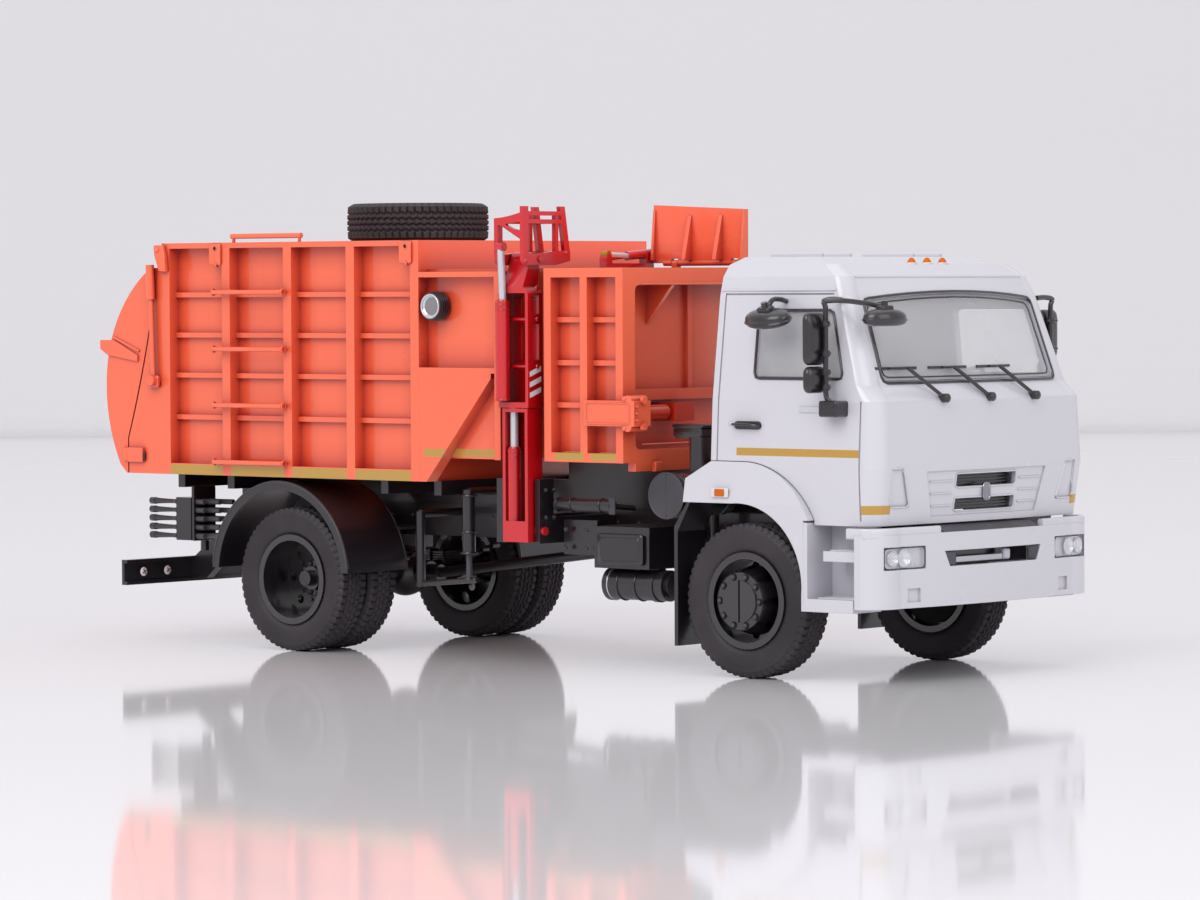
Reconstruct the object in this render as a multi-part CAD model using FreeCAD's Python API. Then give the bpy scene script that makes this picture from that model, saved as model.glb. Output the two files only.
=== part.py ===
import FreeCAD, Part
import math
import os

# Garbage truck with a side arm, a collector's scale model.
# Millimetres. X points forward, Y to the left, Z up.
# Everything is laid out from the front axle on the ground, and place() then
# moves the origin to the middle of the truck.

# Main sizes
BODY_HALF = 29.07
WHEELBASE = 97.67
TYRE_R = 12.21
FRONT_REACH = 28.7
REAR_REACH = 142.8
WALL = 1.0
RUN_FIT = 0.05
SEAM = 0.1
GAP = 0.3
OVER = 2.0

# Tyres
TYRE_WIDTH = 6.48
BEAD_R = 7.2
BEAD_WIDTH = 4.9
SHOULDER_R = 11.5
SHOULDER_WIDTH = 6.0
BULGE_R = 9.7
TREAD_WIDTH = 4.8
FRONT_TYRE_SET = 2.09
REAR_TYRE_SET = 0.49
TWIN_GAP = 0.82

# Rims and hubs
RIM_LIP_RISE = 0.5
RIM_LIP_THICK = 0.45
RIM_WALL = 0.5
DISC_THICK = 0.9
DISC_DISH = 4.0
HUB_R = 4.6
HUB_CAP_R = 3.3
HUB_CAP_RISE = 0.25
HUB_SLOT = 0.35
HUB_SLOT_DEPTH = 0.3
NUT_CIRCLE_R = 3.95
NUT_R = 0.36
NUT_RISE = 0.35
NUT_COUNT = 10
HAND_HOLE_R = 0.75
HAND_HOLE_CIRCLE_R = 5.35
HAND_HOLE_COUNT = 8
REAR_HUB_R = 2.9
REAR_HUB_SET = 5.57
REAR_HUB_STEP_R = 2.0
REAR_HUB_DROP = 0.8
FRONT_HUB_SET = 0.67
SPINDLE_R = 1.3
SPINDLE_SET = 4.07
SPINDLE_FLANGE_R = 2.4
SPINDLE_FLANGE_THICK = 0.8

# Frame rails
RAIL_OUT = 10.1
RAIL_FLANGE = 2.2
RAIL_WEB = 0.8
RAIL_BASE = 19.4
RAIL_TOP = 24.9
RAIL_BACK = 7.7
RAIL_AHEAD = 16.8
CROSS_R = 1.1
CROSS_PLACE_SHARES = (0.0204, 0.375, 0.46, 0.62, 0.83, 0.955)
PLINTH_BOSS_R = 2.2
PLINTH_HOLE_R = 1.1
PLINTH_HOLE_DEEP = 5.5
PLINTH_BOSS_BASE = 17.4
HANGER_LENGTH = 2.0
HANGER_WIDTH = 1.8

# Body bearers on the rails
BEARER_OUT = 9.9
BEARER_WIDTH = 2.0
BEARER_AHEAD = 15.3
BEARER_FRONT = -20.5
OUTRIGGER_COUNT = 6
OUTRIGGER_LENGTH = 1.6
OUTRIGGER_SET = 3.57
OUTRIGGER_DEPTH = 2.4

# Axles and springs
AXLE_BEAM_HEIGHT = 2.8
AXLE_BEAM_LENGTH = 1.9
AXLE_BEAM_DROP = 2.0
AXLE_BEAM_FLAT = 7.0
AXLE_BEAM_SET = 9.87
REAR_TUBE_R = 1.7
REAR_TUBE_SET = 15.47
DIFF_R = 4.2
DIFF_NOSE_R = 2.0
DIFF_NOSE = 6.0
SPRING_WIDTH = 1.7
SPRING_HALF = 13.0
SPRING_RISE = 1.5
SPRING_THICK = 1.1
SPRING_PAD = 1.0
REAR_SPRING_THICK = 1.9

# Engine, gearbox and shaft
ENGINE_BACK = 13.7
ENGINE_REAR = -12.0
ENGINE_HALF = 6.6
ENGINE_BASE = 15.2
ENGINE_TOP = 27.0
SUMP_TAPER = 1.6
GEARBOX_REAR = -29.0
GEARBOX_HALF = 3.9
GEARBOX_BASE = 16.2
GEARBOX_TOP = 24.0
SHAFT_R = 0.9
SHAFT_HEIGHT = 19.6
JOINT_R = 1.5
JOINT_LENGTH = 1.6

# Tanks and boxes between the axles
BATTERY_FRONT = -20.6
BATTERY_REAR = -32.1
BATTERY_SET = 3.07
BATTERY_DEPTH = 7.0
BATTERY_BASE = 16.3
BATTERY_TOP = 23.0
BATTERY_LID = 1.3
BATTERY_LID_LIP = 0.3
BATTERY_RIB = 0.5
BRACKET_THICK = 1.0
PLATE_REAR = -39.2
PLATE_BASE = 18.2
PLATE_TOP = 23.8
PLATE_THICK = 1.0
AIR_TANK_R = 2.5
AIR_TANK_HEIGHT = 13.6
AIR_TANK_SET = 4.67
AIR_TANK_REAR = -31.5
AIR_TANK_FRONT = -18.6
AIR_TANK_DOME = 0.7
AIR_TANK_BAND = 0.2
AIR_TANK_BAND_WIDTH = 0.9
FUEL_FRONT = -20.6
FUEL_REAR = -44.0
FUEL_SET = 2.07
FUEL_IN = 12.6
FUEL_BASE = 11.6
FUEL_TOP = 24.4
FUEL_ROUND = 3.0
FUEL_CAP_R = 1.3
FUEL_CAP_RISE = 0.9
FUEL_STRAP = 0.3
FUEL_STRAP_WIDTH = 1.2
FUEL_STRAP_SHARES = (0.2, 0.8)

# Air cleaner and intake behind the cab
CLEANER_R = 3.75
CLEANER_X = -16.9
CLEANER_Z = 28.2
CLEANER_SET = 3.07
CLEANER_IN = 12.0
CLEANER_RIM = 0.3
CLEANER_RIM_WIDTH = 0.8
INTAKE_HALF = 1.8
INTAKE_LENGTH = 3.4
INTAKE_TOP = 39.5
INTAKE_SET = 8.07

# Rear mudguards
GUARD_R = 16.0
GUARD_THICK = 0.6
GUARD_X = -99.7
GUARD_Z = 12.8
GUARD_WIDTH = 14.77
GUARD_LIP = 0.9
GUARD_STAY_R = 0.5

# Rear bar, lamps and valve levers
BAR_BASE = 9.6
BAR_TOP = 14.0
BAR_THICK = 1.3
BAR_SET = 2.77
BAR_AHEAD = 1.8
BAR_LIP = 0.6
BAR_ARM_Y = 9.0
BAR_ARM_WIDTH = 1.6
LAMP_R = 1.05
LAMP_RISE = 0.4
LAMP_SET = 5.87
LAMP_PITCH = 4.6
VALVE_AHEAD = 17.0
VALVE_SET = 3.07
VALVE_INNER_SET = 8.57
VALVE_BASE = 17.9
VALVE_TOP = 25.3
VALVE_LENGTH = 3.6
LEVER_COUNT = 5
LEVER_R = 0.32
LEVER_LENGTH = 6.7
LEVER_KNOB_R = 0.6

# Cab levels, from the floor line up: height, set in from the body's side,
# rear face, then back from the truck's front the end of the side and of the
# corner, the corner's set in from the side, and the nose back from the front
CAB_FLOOR = (24.5, 1.47, -6.0, 5.9, 3.0, 5.67, 2.3)
CAB_LAMP = (33.3, 1.17, -6.0, 5.0, 1.9, 4.67, 1.3)
CAB_COWL = (43.6, 1.67, -6.0, 5.1, 2.4, 5.07, 1.6)
CAB_BELT = (46.0, 1.97, -6.0, 6.5, 4.8, 5.87, 2.8)
CAB_HEADER = (59.8, 3.67, -6.0, 11.1, 9.6, 6.67, 7.7)
CAB_BROW = (62.8, 4.47, -6.0, 12.5, 11.0, 7.47, 9.5)
CAB_EDGE = (64.7, 5.67, -5.7, 15.3, 13.9, 8.47, 12.4)
CAB_ROOF = (65.9, 8.27, -4.6, 22.5, 21.1, 10.47, 19.5)
CAB_WALL = 1.1
CAB_GLASS_SET = 0.3
CAB_GLASS_THICK = 0.7
CAB_LINE = 0.25
CAB_LINE_DEPTH = 0.25

# Door, windows and stripe line of the cab
DOOR_REAR = -4.9
DOOR_BACK = 5.5
DOOR_TOP = 60.2
WINDOW_REAR = 2.3
WINDOW_BASE = 47.2
WINDOW_TOP = 57.4
WINDOW_BACK_BASE = 9.4
WINDOW_BACK_TOP = 12.1
SCREEN_SET_BASE = 6.77
SCREEN_SET_TOP = 7.47
SCREEN_BASE = 46.6
SCREEN_TOP = 59.0
SCREEN_CROWN = 1.1
ARCH_CUT_REAR_Z = 34.1
ARCH_CUT_FLAT_X = 1.0
ARCH_CUT_MID_X = 9.2
ARCH_CUT_MID_Z = 31.4
ARCH_CUT_FRONT_X = 14.4
SILL_Z = 25.3

# Front grilles
GRILLE_HALF = 7.8
GRILLE_LOW_BASE = 26.3
GRILLE_LOW_TOP = 28.2
GRILLE_HIGH_BASE = 30.0
GRILLE_HIGH_TOP = 32.0
GRILLE_DEPTH = 1.6
GRILLE_BAR = 0.25
GRILLE_BAR_COUNT = 3
GRILLE_PANEL_HALF = 15.6
GRILLE_PANEL_LOW_HALF = 13.6
GRILLE_PANEL_DEPTH = 0.3
GRILLE_PANEL_BASE = 25.6
GRILLE_PANEL_TOP = 32.6
CORNER_PANEL_SET_TOP = 7.77
CORNER_PANEL_SET_BASE = 9.87
CORNER_PANEL_SET = 5.07
CORNER_PANEL_TOP = 33.3
CORNER_PANEL_BASE = 27.3

# Bumper
BUMPER_BASE = 11.8
BUMPER_TOP = 23.2
BUMPER_BACK = 5.5
BUMPER_SIDE_BACK = 4.3
BUMPER_CORNER_BACK = 1.5
BUMPER_CORNER_SET = 6.47
BUMPER_CORNER_MID_BACK = 2.1
BUMPER_CORNER_MID_SET = 2.07
BUMPER_WALL = 1.2
BUMPER_MOUTH_HALF = 12.6
BUMPER_MOUTH_LOW_HALF = 11.4
BUMPER_MOUTH_BASE = 17.9
BUMPER_MOUTH_TOP = 20.3
BUMPER_SHELF_HALF = 12.5
BUMPER_SHELF_DROP = 0.6
HEADLAMP_SET_IN = 12.07
HEADLAMP_SET_OUT = 2.67
HEADLAMP_BASE = 17.8
HEADLAMP_TOP = 21.3
HEADLAMP_SET = 0.25
FOG_SET_IN = 10.87
FOG_SET_OUT = 8.07
FOG_BASE = 12.7
FOG_TOP = 14.8
FOG_DEPTH = 0.4

# Entry steps and front arches
STEP_REAR = 13.3
STEP_BACK = 5.7
STEP_BASE = 11.2
STEP_SET = 7.07
STEP_WALL = 0.8
STEP_TREAD = 1.6
STEP_UPPER_TOP = 20.6
STEP_UPPER_REAR = 16.6
STEP_LOWER_TOP = 13.2
ARCH_REAR = -10.8
ARCH_REAR_TOP = 31.2
ARCH_LIP_Z = 27.5
ARCH_LIP_FLAT_X = -1.0
ARCH_LIP_MID_X = 9.7
ARCH_LIP_MID_Z = 23.3
ARCH_LIP_FRONT_X = 12.9
ARCH_LIP_FRONT_Z = 13.6
ARCH_SET = 9.47
ARCH_CROWN_SET = 1.12
FLAP_FRONT = -13.6
FLAP_THICK = 0.7
FLAP_SET_IN = 8.87
FLAP_SET_OUT = 2.07
FLAP_BASE = 4.6
FLAP_TOP = 23.4
FLAP_HOOK = 1.2

# Small pieces on the cab
ROOF_LAMP_BACK = 13.3
ROOF_LAMP_R = 0.75
ROOF_LAMP_PITCH = 4.02
ROOF_LAMP_SINK = 0.8
ROOF_LAMP_RISE = 0.7
SIDE_MARKER_REAR = -4.9
SIDE_MARKER_FRONT = -1.5
SIDE_MARKER_BASE = 28.4
SIDE_MARKER_TOP = 29.9
SIDE_MARKER_RISE = 0.35
HANDLE_REAR = -1.5
HANDLE_FRONT = 4.1
HANDLE_Z = 39.6
HANDLE_HEIGHT = 0.8
HANDLE_STAND = 0.5
HANDLE_THICK = 0.6
WIPER_Y = (12.5, 0.6, -11.3)
WIPER_PIVOT_Z = 43.9
WIPER_PIVOT_BACK = 1.3
WIPER_ARM_R = 0.35
WIPER_REACH_Y = 7.6
WIPER_BLADE_Z = 48.6
WIPER_BLADE_BACK = 3.1
WIPER_BLADE_HALF = 4.4
WIPER_HUB_R = 0.65

# Mirrors
MIRROR_TUBE_R = 0.45
MIRROR_TUBE_BACK = 10.5
MIRROR_TUBE_PROUD = 1.53
MIRROR_TUBE_TOP = 58.6
MIRROR_TUBE_BASE = 42.6
MIRROR_ROOT_SET = 3.87
MIRROR_BASE_HALF = 1.8
MIRROR_BASE_HEIGHT = 2.4
MAIN_MIRROR_WIDTH = 4.6
MAIN_MIRROR_TOP = 57.2
MAIN_MIRROR_BASE = 49.3
WIDE_MIRROR_TOP = 48.9
WIDE_MIRROR_BASE = 44.9
MIRROR_DEPTH = 1.5
MIRROR_ROUND = 0.6
FRONT_MIRROR_BACK = 2.9
FRONT_MIRROR_SET = 4.87
FRONT_MIRROR_Z = 56.4
FRONT_MIRROR_LONG = 3.1
FRONT_MIRROR_WIDE = 1.7
FRONT_MIRROR_TALL = 1.6
KERB_MIRROR_X = 7.4
KERB_MIRROR_PROUD = 1.13
KERB_MIRROR_Z = 56.6
KERB_ARM_Z = 59.0

# Load body
BODY_BASE = 29.45
BODY_TOP = 69.2
RIB_DEPTH = 2.36
RIB_WIDTH = 1.9
RIB_AHEAD = 15.2
RIB_COUNT = 5
SLAT_HEIGHT = 0.87
SLAT_Z = (60.3, 53.4, 46.5, 39.3)
SLAT_DEPTH = 0.9
BODY_FRONT = -67.2
BODY_SEAM_TOP_AHEAD = 14.5
BODY_SEAM_TOP_Z = 66.0
BODY_SEAM_MID_AHEAD = 11.9
BODY_SEAM_MID_Z = 52.9
BODY_SEAM_LOW_AHEAD = 6.8
BODY_SEAM_LOW_Z = 35.5
RAIL_BAR_AHEAD = 31.9
RAIL_BAR_LENGTH = 16.5
RAIL_BAR_TOP = 70.7
RAIL_BAR_R = 0.45
RUNG_AHEAD = 28.8
RUNG_LENGTH = 16.4
RUNG_Z = (60.75, 51.07, 41.5, 31.8)
RUNG_R = 0.4
RUNG_LEG_R = 0.3
RUNG_STAND = 1.2

# Front bay of the body, behind the arm
BAY_FRONT = -49.2
BAY_POST = 1.3
BAY_BASE = 33.3
BAY_TOP = 64.4
BAY_BAR_Z = (63.5, 47.8)
BAY_BAR_HEIGHT = 0.9
CHUTE_FRONT = -51.3
CHUTE_TOP = 46.5
CHUTE_REAR = -65.6
ARM_BAY_SET = 6.07

# Hopper
HOPPER_REAR = -39.75
HOPPER_FRONT = -23.05
HOPPER_BASE = 33.3
HOPPER_TOP = 64.4
HOPPER_RIB_X = (-39.75, -32.07, -24.55)
HOPPER_RIB_WIDTH = 1.5
HOPPER_SLAT_Z = (56.1, 49.2, 42.4)
MOUTH_REAR = -38.5
MOUTH_FRONT = -29.9
MOUTH_NEAR = 0.9
MOUTH_FAR = 9.1
PORTAL_RIM = 3.07
PORTAL_TOP = 61.6
PORTAL_BASE = 35.4
PORTAL_WALL_X = -28.6
PORTAL_FOOT = 31.9
PORTAL_ROUND = 0.9
GUSSET_Y = 16.1
GUSSET_LOW = 55.2
GUSSET_THICK = 0.8
PORTAL_BEAM_LOW = 43.1
PORTAL_BEAM_HIGH = 44.9
PORTAL_BEAM_DEPTH = 1.6
PORTAL_POST_Y = 6.0
PORTAL_POST_WIDTH = 1.2
PORTAL_POST_DEPTH = 0.8
FLOOR_RAM_Z = 41.2
FLOOR_RAM_R = 1.2
FLOOR_RAM_X = -25.4
FLOOR_RAM_SET = 2.87
FLOOR_RAM_IN = 16.0
FLOOR_BLOCK_OUT = 15.2
FLOOR_BLOCK_IN = 10.3
FLOOR_BLOCK_HALF = 1.5
COVER_REAR = -30.5
COVER_BASE = 39.2
COVER_TOP = 43.3
COVER_RISE = 1.0
COVER_FRONT = -19.9
COVER_TAB_R = 0.85
COVER_TAB_X = -21.3
COVER_PIN_R = 0.6

# Hopper lid, standing open
LID_REAR = -40.7
LID_LENGTH = 19.5
LID_HEIGHT = 9.6
LID_FRONT_HEIGHT = 8.7
LID_THICK = 0.7
LID_HINGE_Z = 65.2
LID_HINGE_R = 0.5
LID_PIN_R = 0.25
LID_EAR = 1.2
LID_EAR_SHARES = (0.2, 0.85)
LID_Y = 0.0
LID_FIN_DEEP = 2.3
LID_FIN_THIN = 0.5
LID_FIN_SHORT = 0.9
LID_FIN_THICK = 0.8
LID_FIN_SHARES = (0.38, 0.715)
LID_FLANGE = 1.3
LID_RAM_R = 0.75
LID_RAM_ROD_R = 0.42
LID_RAM_RISE = 0.9
LID_RAM_OUT = 11.3
LID_RAM_MID = 6.1

# Work lamp
WORK_LAMP_X = -64.3
WORK_LAMP_Z = 58.3
WORK_LAMP_R = 2.3
WORK_LAMP_DEEP = 2.4
WORK_LAMP_LENS = 0.4

# Spare wheel on the roof
SPARE_AHEAD = 48.6
SPARE_Y = 0.0
SPARE_BASE_R = 5.4
SPARE_BASE_HEIGHT = 1.2

# Tailgate
GATE_HINGE_AHEAD = 13.4
GATE_HINGE_Z = 68.3
GATE_PIN_R = 0.4
GATE_LUG_THICK = 0.7
GATE_NECK_AHEAD = 12.5
GATE_NECK_Z = 65.0
GATE_UPPER_AHEAD = 4.8
GATE_UPPER_Z = 57.3
GATE_BULGE_AHEAD = 1.3
GATE_BULGE_Z = 46.0
GATE_LOWER_AHEAD = 1.9
GATE_LOWER_Z = 38.4
GATE_FOOT_AHEAD = 4.6
GATE_FOOT_Z = 31.0
GATE_TOE_AHEAD = 6.2
GATE_WALL = 1.1
GATE_BEAM_Z = 51.0
GATE_BEAM_TOP = 52.5
GATE_BEAM_AHEAD = 9.3
GATE_ARM_SHARES = (0.843, 0.282, -0.282, -0.843)
GATE_ARM_WIDTH = 1.6
GATE_ARM_R = 0.8
RAM_TOP_AHEAD = 13.2
RAM_TOP_Z = 65.5
RAM_LOW_AHEAD = 13.9
RAM_LOW_Z = 45.6
RAM_BARREL_R = 0.75
RAM_ROD_R = 0.45
RAM_BARREL_SHARE = 0.3
RAM_EYE_R = 0.9
LATCH_AHEAD = 6.9
LATCH_LENGTH = 3.8
LATCH_BASE = 31.4
LATCH_TOP = 33.9
LATCH_RISE = 0.6

# Arm column, upper arm and gripper
ARM_X = -45.1
ARM_PROUD = 1.43
ARM_DEPTH = 3.6
ARM_SKIN = 0.6
ARM_WIDTH = 6.4
COLUMN_X = -44.8
COLUMN_WIDTH = 5.4
COLUMN_BASE = 20.2
COLUMN_FOOT_TOP = 23.6
ARM_PART_Z = 41.9
ARM_CAP = 0.9
ARM_SHOULDER_Z = 60.4
ARM_SHOULDER_RISE = 1.0
ARM_HEAD_WIDTH = 4.2
ARM_HEAD_R = 1.15
ARM_PIN_Z = 22.0
ARM_PIN_R = 0.7
ARM_PIN_SET = 0.87
ARM_PIN_HEAD = 0.5
SLOT_BASE = 24.5
SLOT_TOP = 29.2
SLOT_REAR = -44.5
SLOT_FRONT = -42.9
ARM_WINDOW_REAR = -45.9
ARM_WINDOW_FRONT = -43.6
ARM_WINDOW_NARROW = 0.7
ARM_WINDOW_LOW = (49.6, 55.4)
ARM_WINDOW_HIGH = (57.0, 60.0)
ARM_WINDOW_IN = 0.9
CROSS_PIN_Z = (48.6, 56.2)
CROSS_PIN_R = 0.3
GUIDE_THICK = 1.0
GUIDE_TOP = 30.4
GUIDE_BASE = 20.0
GUIDE_DEPTH = 3.4
GUIDE_ARM_TOP = 24.2
GUIDE_REAR_WIDTH = 2.3
GUIDE_LIP = 0.5
GRIP_PIN_SET = 1.67
GRIP_PIN_Z = 65.9
GRIP_PIN_R = 0.55
GRIP_PLATE = 0.8
GRIP_PROUD = 2.33
GRIP_SET = 9.07
GRIP_DRAW = 1.3
GRIP_BASE = 64.9
GRIP_SILL_TOP = 67.2
GRIP_TOP = 74.4
GRIP_LEVER_TOP = 72.5
GRIP_POST = 1.2
GRIP_BAR = 0.7
GRIP_BAR_Z = (72.9, 71.6)
GRIP_THIN_SET = 5.47
GRIP_BRACE = 1.4
ROD_R = 0.65
LIFT_RAM_X = -46.0
LIFT_RAM_PROUD = 0.23
LIFT_BARREL_R = 1.1
LIFT_BARREL_TOP = 35.3
TILT_RAM_X = -46.9
TILT_RAM_PROUD = 1.93
TILT_BARREL_R = 1.15
TILT_BARREL_BASE = 43.0
TILT_BARREL_TOP = 59.1
TILT_EYE_Z = 67.9
TILT_ROD_R = 0.5

# Places that follow from the truck's half width and its two ends
FRONT_TYRE_OUT = BODY_HALF - FRONT_TYRE_SET
REAR_TYRE_OUT = BODY_HALF - REAR_TYRE_SET
REAR_HUB_OUT = BODY_HALF - REAR_HUB_SET
FRONT_HUB_OUT = BODY_HALF - FRONT_HUB_SET
SPINDLE_END = BODY_HALF - SPINDLE_SET
OUTRIGGER_OUT = BODY_HALF - OUTRIGGER_SET
AXLE_BEAM_OUT = BODY_HALF - AXLE_BEAM_SET
REAR_TUBE_OUT = BODY_HALF - REAR_TUBE_SET
BATTERY_OUT = BODY_HALF - BATTERY_SET
AIR_TANK_OUT = BODY_HALF - AIR_TANK_SET
FUEL_OUT = BODY_HALF - FUEL_SET
CLEANER_OUT = BODY_HALF - CLEANER_SET
GUARD_IN = BODY_HALF - GUARD_WIDTH
BAR_OUT = BODY_HALF - BAR_SET
LAMP_OUT = BODY_HALF - LAMP_SET
VALVE_OUT = BODY_HALF - VALVE_SET
VALVE_IN = BODY_HALF - VALVE_INNER_SET
SCREEN_HALF_BASE = BODY_HALF - SCREEN_SET_BASE
SCREEN_HALF_TOP = BODY_HALF - SCREEN_SET_TOP
CORNER_PANEL_IN_TOP = BODY_HALF - CORNER_PANEL_SET_TOP
CORNER_PANEL_IN_BASE = BODY_HALF - CORNER_PANEL_SET_BASE
CORNER_PANEL_OUT = BODY_HALF - CORNER_PANEL_SET
BUMPER_CORNER_Y = BODY_HALF - BUMPER_CORNER_SET
BUMPER_CORNER_MID_Y = BODY_HALF - BUMPER_CORNER_MID_SET
HEADLAMP_IN = BODY_HALF - HEADLAMP_SET_IN
HEADLAMP_OUT = BODY_HALF - HEADLAMP_SET_OUT
FOG_IN = BODY_HALF - FOG_SET_IN
FOG_OUT = BODY_HALF - FOG_SET_OUT
STEP_IN = BODY_HALF - STEP_SET
ARCH_IN = BODY_HALF - ARCH_SET
ARCH_CROWN_HALF = BODY_HALF - ARCH_CROWN_SET
FLAP_IN = BODY_HALF - FLAP_SET_IN
FLAP_OUT = BODY_HALF - FLAP_SET_OUT
MIRROR_ROOT_IN = BODY_HALF - MIRROR_ROOT_SET
FRONT_MIRROR_Y = BODY_HALF - FRONT_MIRROR_SET
ARM_BAY_IN = BODY_HALF - ARM_BAY_SET
PORTAL_HALF = BODY_HALF - PORTAL_RIM
FLOOR_RAM_OUT = BODY_HALF - FLOOR_RAM_SET
ARM_PIN_Y = BODY_HALF - ARM_PIN_SET
GRIP_PIN_Y = BODY_HALF - GRIP_PIN_SET
GRIP_IN = BODY_HALF - GRIP_SET
GRIP_THIN_Y = BODY_HALF - GRIP_THIN_SET
MIRROR_TUBE_OUT = BODY_HALF + MIRROR_TUBE_PROUD
KERB_MIRROR_Y = BODY_HALF + KERB_MIRROR_PROUD
ARM_OUT = BODY_HALF + ARM_PROUD
GRIP_OUT = BODY_HALF + GRIP_PROUD
LIFT_RAM_Y = BODY_HALF + LIFT_RAM_PROUD
TILT_RAM_Y = BODY_HALF + TILT_RAM_PROUD
RAIL_FRONT = FRONT_REACH - RAIL_BACK
ENGINE_FRONT = FRONT_REACH - ENGINE_BACK
DOOR_FRONT = FRONT_REACH - DOOR_BACK
WINDOW_FRONT_BASE = FRONT_REACH - WINDOW_BACK_BASE
WINDOW_FRONT_TOP = FRONT_REACH - WINDOW_BACK_TOP
BUMPER_REAR = FRONT_REACH - BUMPER_BACK
BUMPER_SIDE_END = FRONT_REACH - BUMPER_SIDE_BACK
BUMPER_CORNER_X = FRONT_REACH - BUMPER_CORNER_BACK
BUMPER_CORNER_MID_X = FRONT_REACH - BUMPER_CORNER_MID_BACK
STEP_FRONT = FRONT_REACH - STEP_BACK
ROOF_LAMP_X = FRONT_REACH - ROOF_LAMP_BACK
WIPER_PIVOT_X = FRONT_REACH - WIPER_PIVOT_BACK
WIPER_BLADE_X = FRONT_REACH - WIPER_BLADE_BACK
MIRROR_TUBE_X = FRONT_REACH - MIRROR_TUBE_BACK
FRONT_MIRROR_X = FRONT_REACH - FRONT_MIRROR_BACK
RAIL_REAR = RAIL_AHEAD - REAR_REACH
BEARER_REAR = BEARER_AHEAD - REAR_REACH
BAR_REAR = BAR_AHEAD - REAR_REACH
VALVE_X = VALVE_AHEAD - REAR_REACH
RIB_REAR = RIB_AHEAD - REAR_REACH
BODY_SEAM_TOP_X = BODY_SEAM_TOP_AHEAD - REAR_REACH
BODY_SEAM_MID_X = BODY_SEAM_MID_AHEAD - REAR_REACH
BODY_SEAM_LOW_X = BODY_SEAM_LOW_AHEAD - REAR_REACH
RAIL_BAR_REAR = RAIL_BAR_AHEAD - REAR_REACH
RUNG_REAR = RUNG_AHEAD - REAR_REACH
SPARE_X = SPARE_AHEAD - REAR_REACH
GATE_HINGE_X = GATE_HINGE_AHEAD - REAR_REACH
GATE_NECK_X = GATE_NECK_AHEAD - REAR_REACH
GATE_UPPER_X = GATE_UPPER_AHEAD - REAR_REACH
GATE_BULGE_X = GATE_BULGE_AHEAD - REAR_REACH
GATE_LOWER_X = GATE_LOWER_AHEAD - REAR_REACH
GATE_FOOT_X = GATE_FOOT_AHEAD - REAR_REACH
GATE_TOE_X = GATE_TOE_AHEAD - REAR_REACH
GATE_BEAM_FRONT = GATE_BEAM_AHEAD - REAR_REACH
RAM_TOP_X = RAM_TOP_AHEAD - REAR_REACH
RAM_LOW_X = RAM_LOW_AHEAD - REAR_REACH
LATCH_REAR = LATCH_AHEAD - REAR_REACH
INTAKE_Y = INTAKE_SET - BODY_HALF
BAY_IN = BODY_HALF - RIB_DEPTH
RAIL_BAR_FRONT = RAIL_BAR_REAR + RAIL_BAR_LENGTH
RUNG_FRONT = RUNG_REAR + RUNG_LENGTH
LATCH_FRONT = LATCH_REAR + LATCH_LENGTH
GATE_ARM_PLACES = tuple(share * BODY_HALF for share in GATE_ARM_SHARES)
SHIFT_X = (REAR_REACH - FRONT_REACH) / 2
REAR_AXLE_X = -WHEELBASE
RIB_PITCH = (BODY_FRONT - RIB_WIDTH - RIB_REAR) / (RIB_COUNT - 1)


def cab_level(row):
    """The plan of the cab at one level: height, half width, rear, side end, corner and nose."""
    height, side_set, rear, end_back, corner_back, corner_set, nose_back = row
    return (height, BODY_HALF - side_set, rear, FRONT_REACH - end_back, FRONT_REACH - corner_back,
            BODY_HALF - corner_set, FRONT_REACH - nose_back)


CAB_FLOOR_LEVEL = cab_level(CAB_FLOOR)
CAB_LAMP_LEVEL = cab_level(CAB_LAMP)
CAB_COWL_LEVEL = cab_level(CAB_COWL)
CAB_BELT_LEVEL = cab_level(CAB_BELT)
CAB_HEADER_LEVEL = cab_level(CAB_HEADER)
CAB_BROW_LEVEL = cab_level(CAB_BROW)
CAB_EDGE_LEVEL = cab_level(CAB_EDGE)
CAB_ROOF_LEVEL = cab_level(CAB_ROOF)
CAB_LEVELS = (CAB_FLOOR_LEVEL, CAB_LAMP_LEVEL, CAB_COWL_LEVEL, CAB_BELT_LEVEL,
              CAB_HEADER_LEVEL, CAB_BROW_LEVEL, CAB_EDGE_LEVEL, CAB_ROOF_LEVEL)
ROOF_LAMP_BASE = CAB_EDGE_LEVEL[0] - ROOF_LAMP_SINK
ROOF_LAMP_TOP = CAB_EDGE_LEVEL[0] + ROOF_LAMP_RISE


def vec(x, y, z):
    return FreeCAD.Vector(x, y, z)


def place(node, *solids):
    """Moves the node's solids to the truck's own origin and writes them."""
    moved = []
    for solid in solids:
        copy = solid.copy()
        copy.translate(vec(SHIFT_X, 0, 0))
        moved.append(copy)
    shape = moved[0] if len(moved) == 1 else Part.makeCompound(moved)
    shape.exportStep("parts/" + node + ".step")


def block(x0, x1, y0, y1, z0, z1):
    return Part.makeBox(abs(x1 - x0), abs(y1 - y0), abs(z1 - z0),
                        vec(min(x0, x1), min(y0, y1), min(z0, z1)))


def rod_x(x0, x1, y, z, radius):
    return Part.makeCylinder(radius, abs(x1 - x0), vec(min(x0, x1), y, z), vec(1, 0, 0))


def rod_y(x, y0, y1, z, radius):
    return Part.makeCylinder(radius, abs(y1 - y0), vec(x, min(y0, y1), z), vec(0, 1, 0))


def rod_z(x, y, z0, z1, radius):
    return Part.makeCylinder(radius, abs(z1 - z0), vec(x, y, min(z0, z1)), vec(0, 0, 1))


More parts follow.
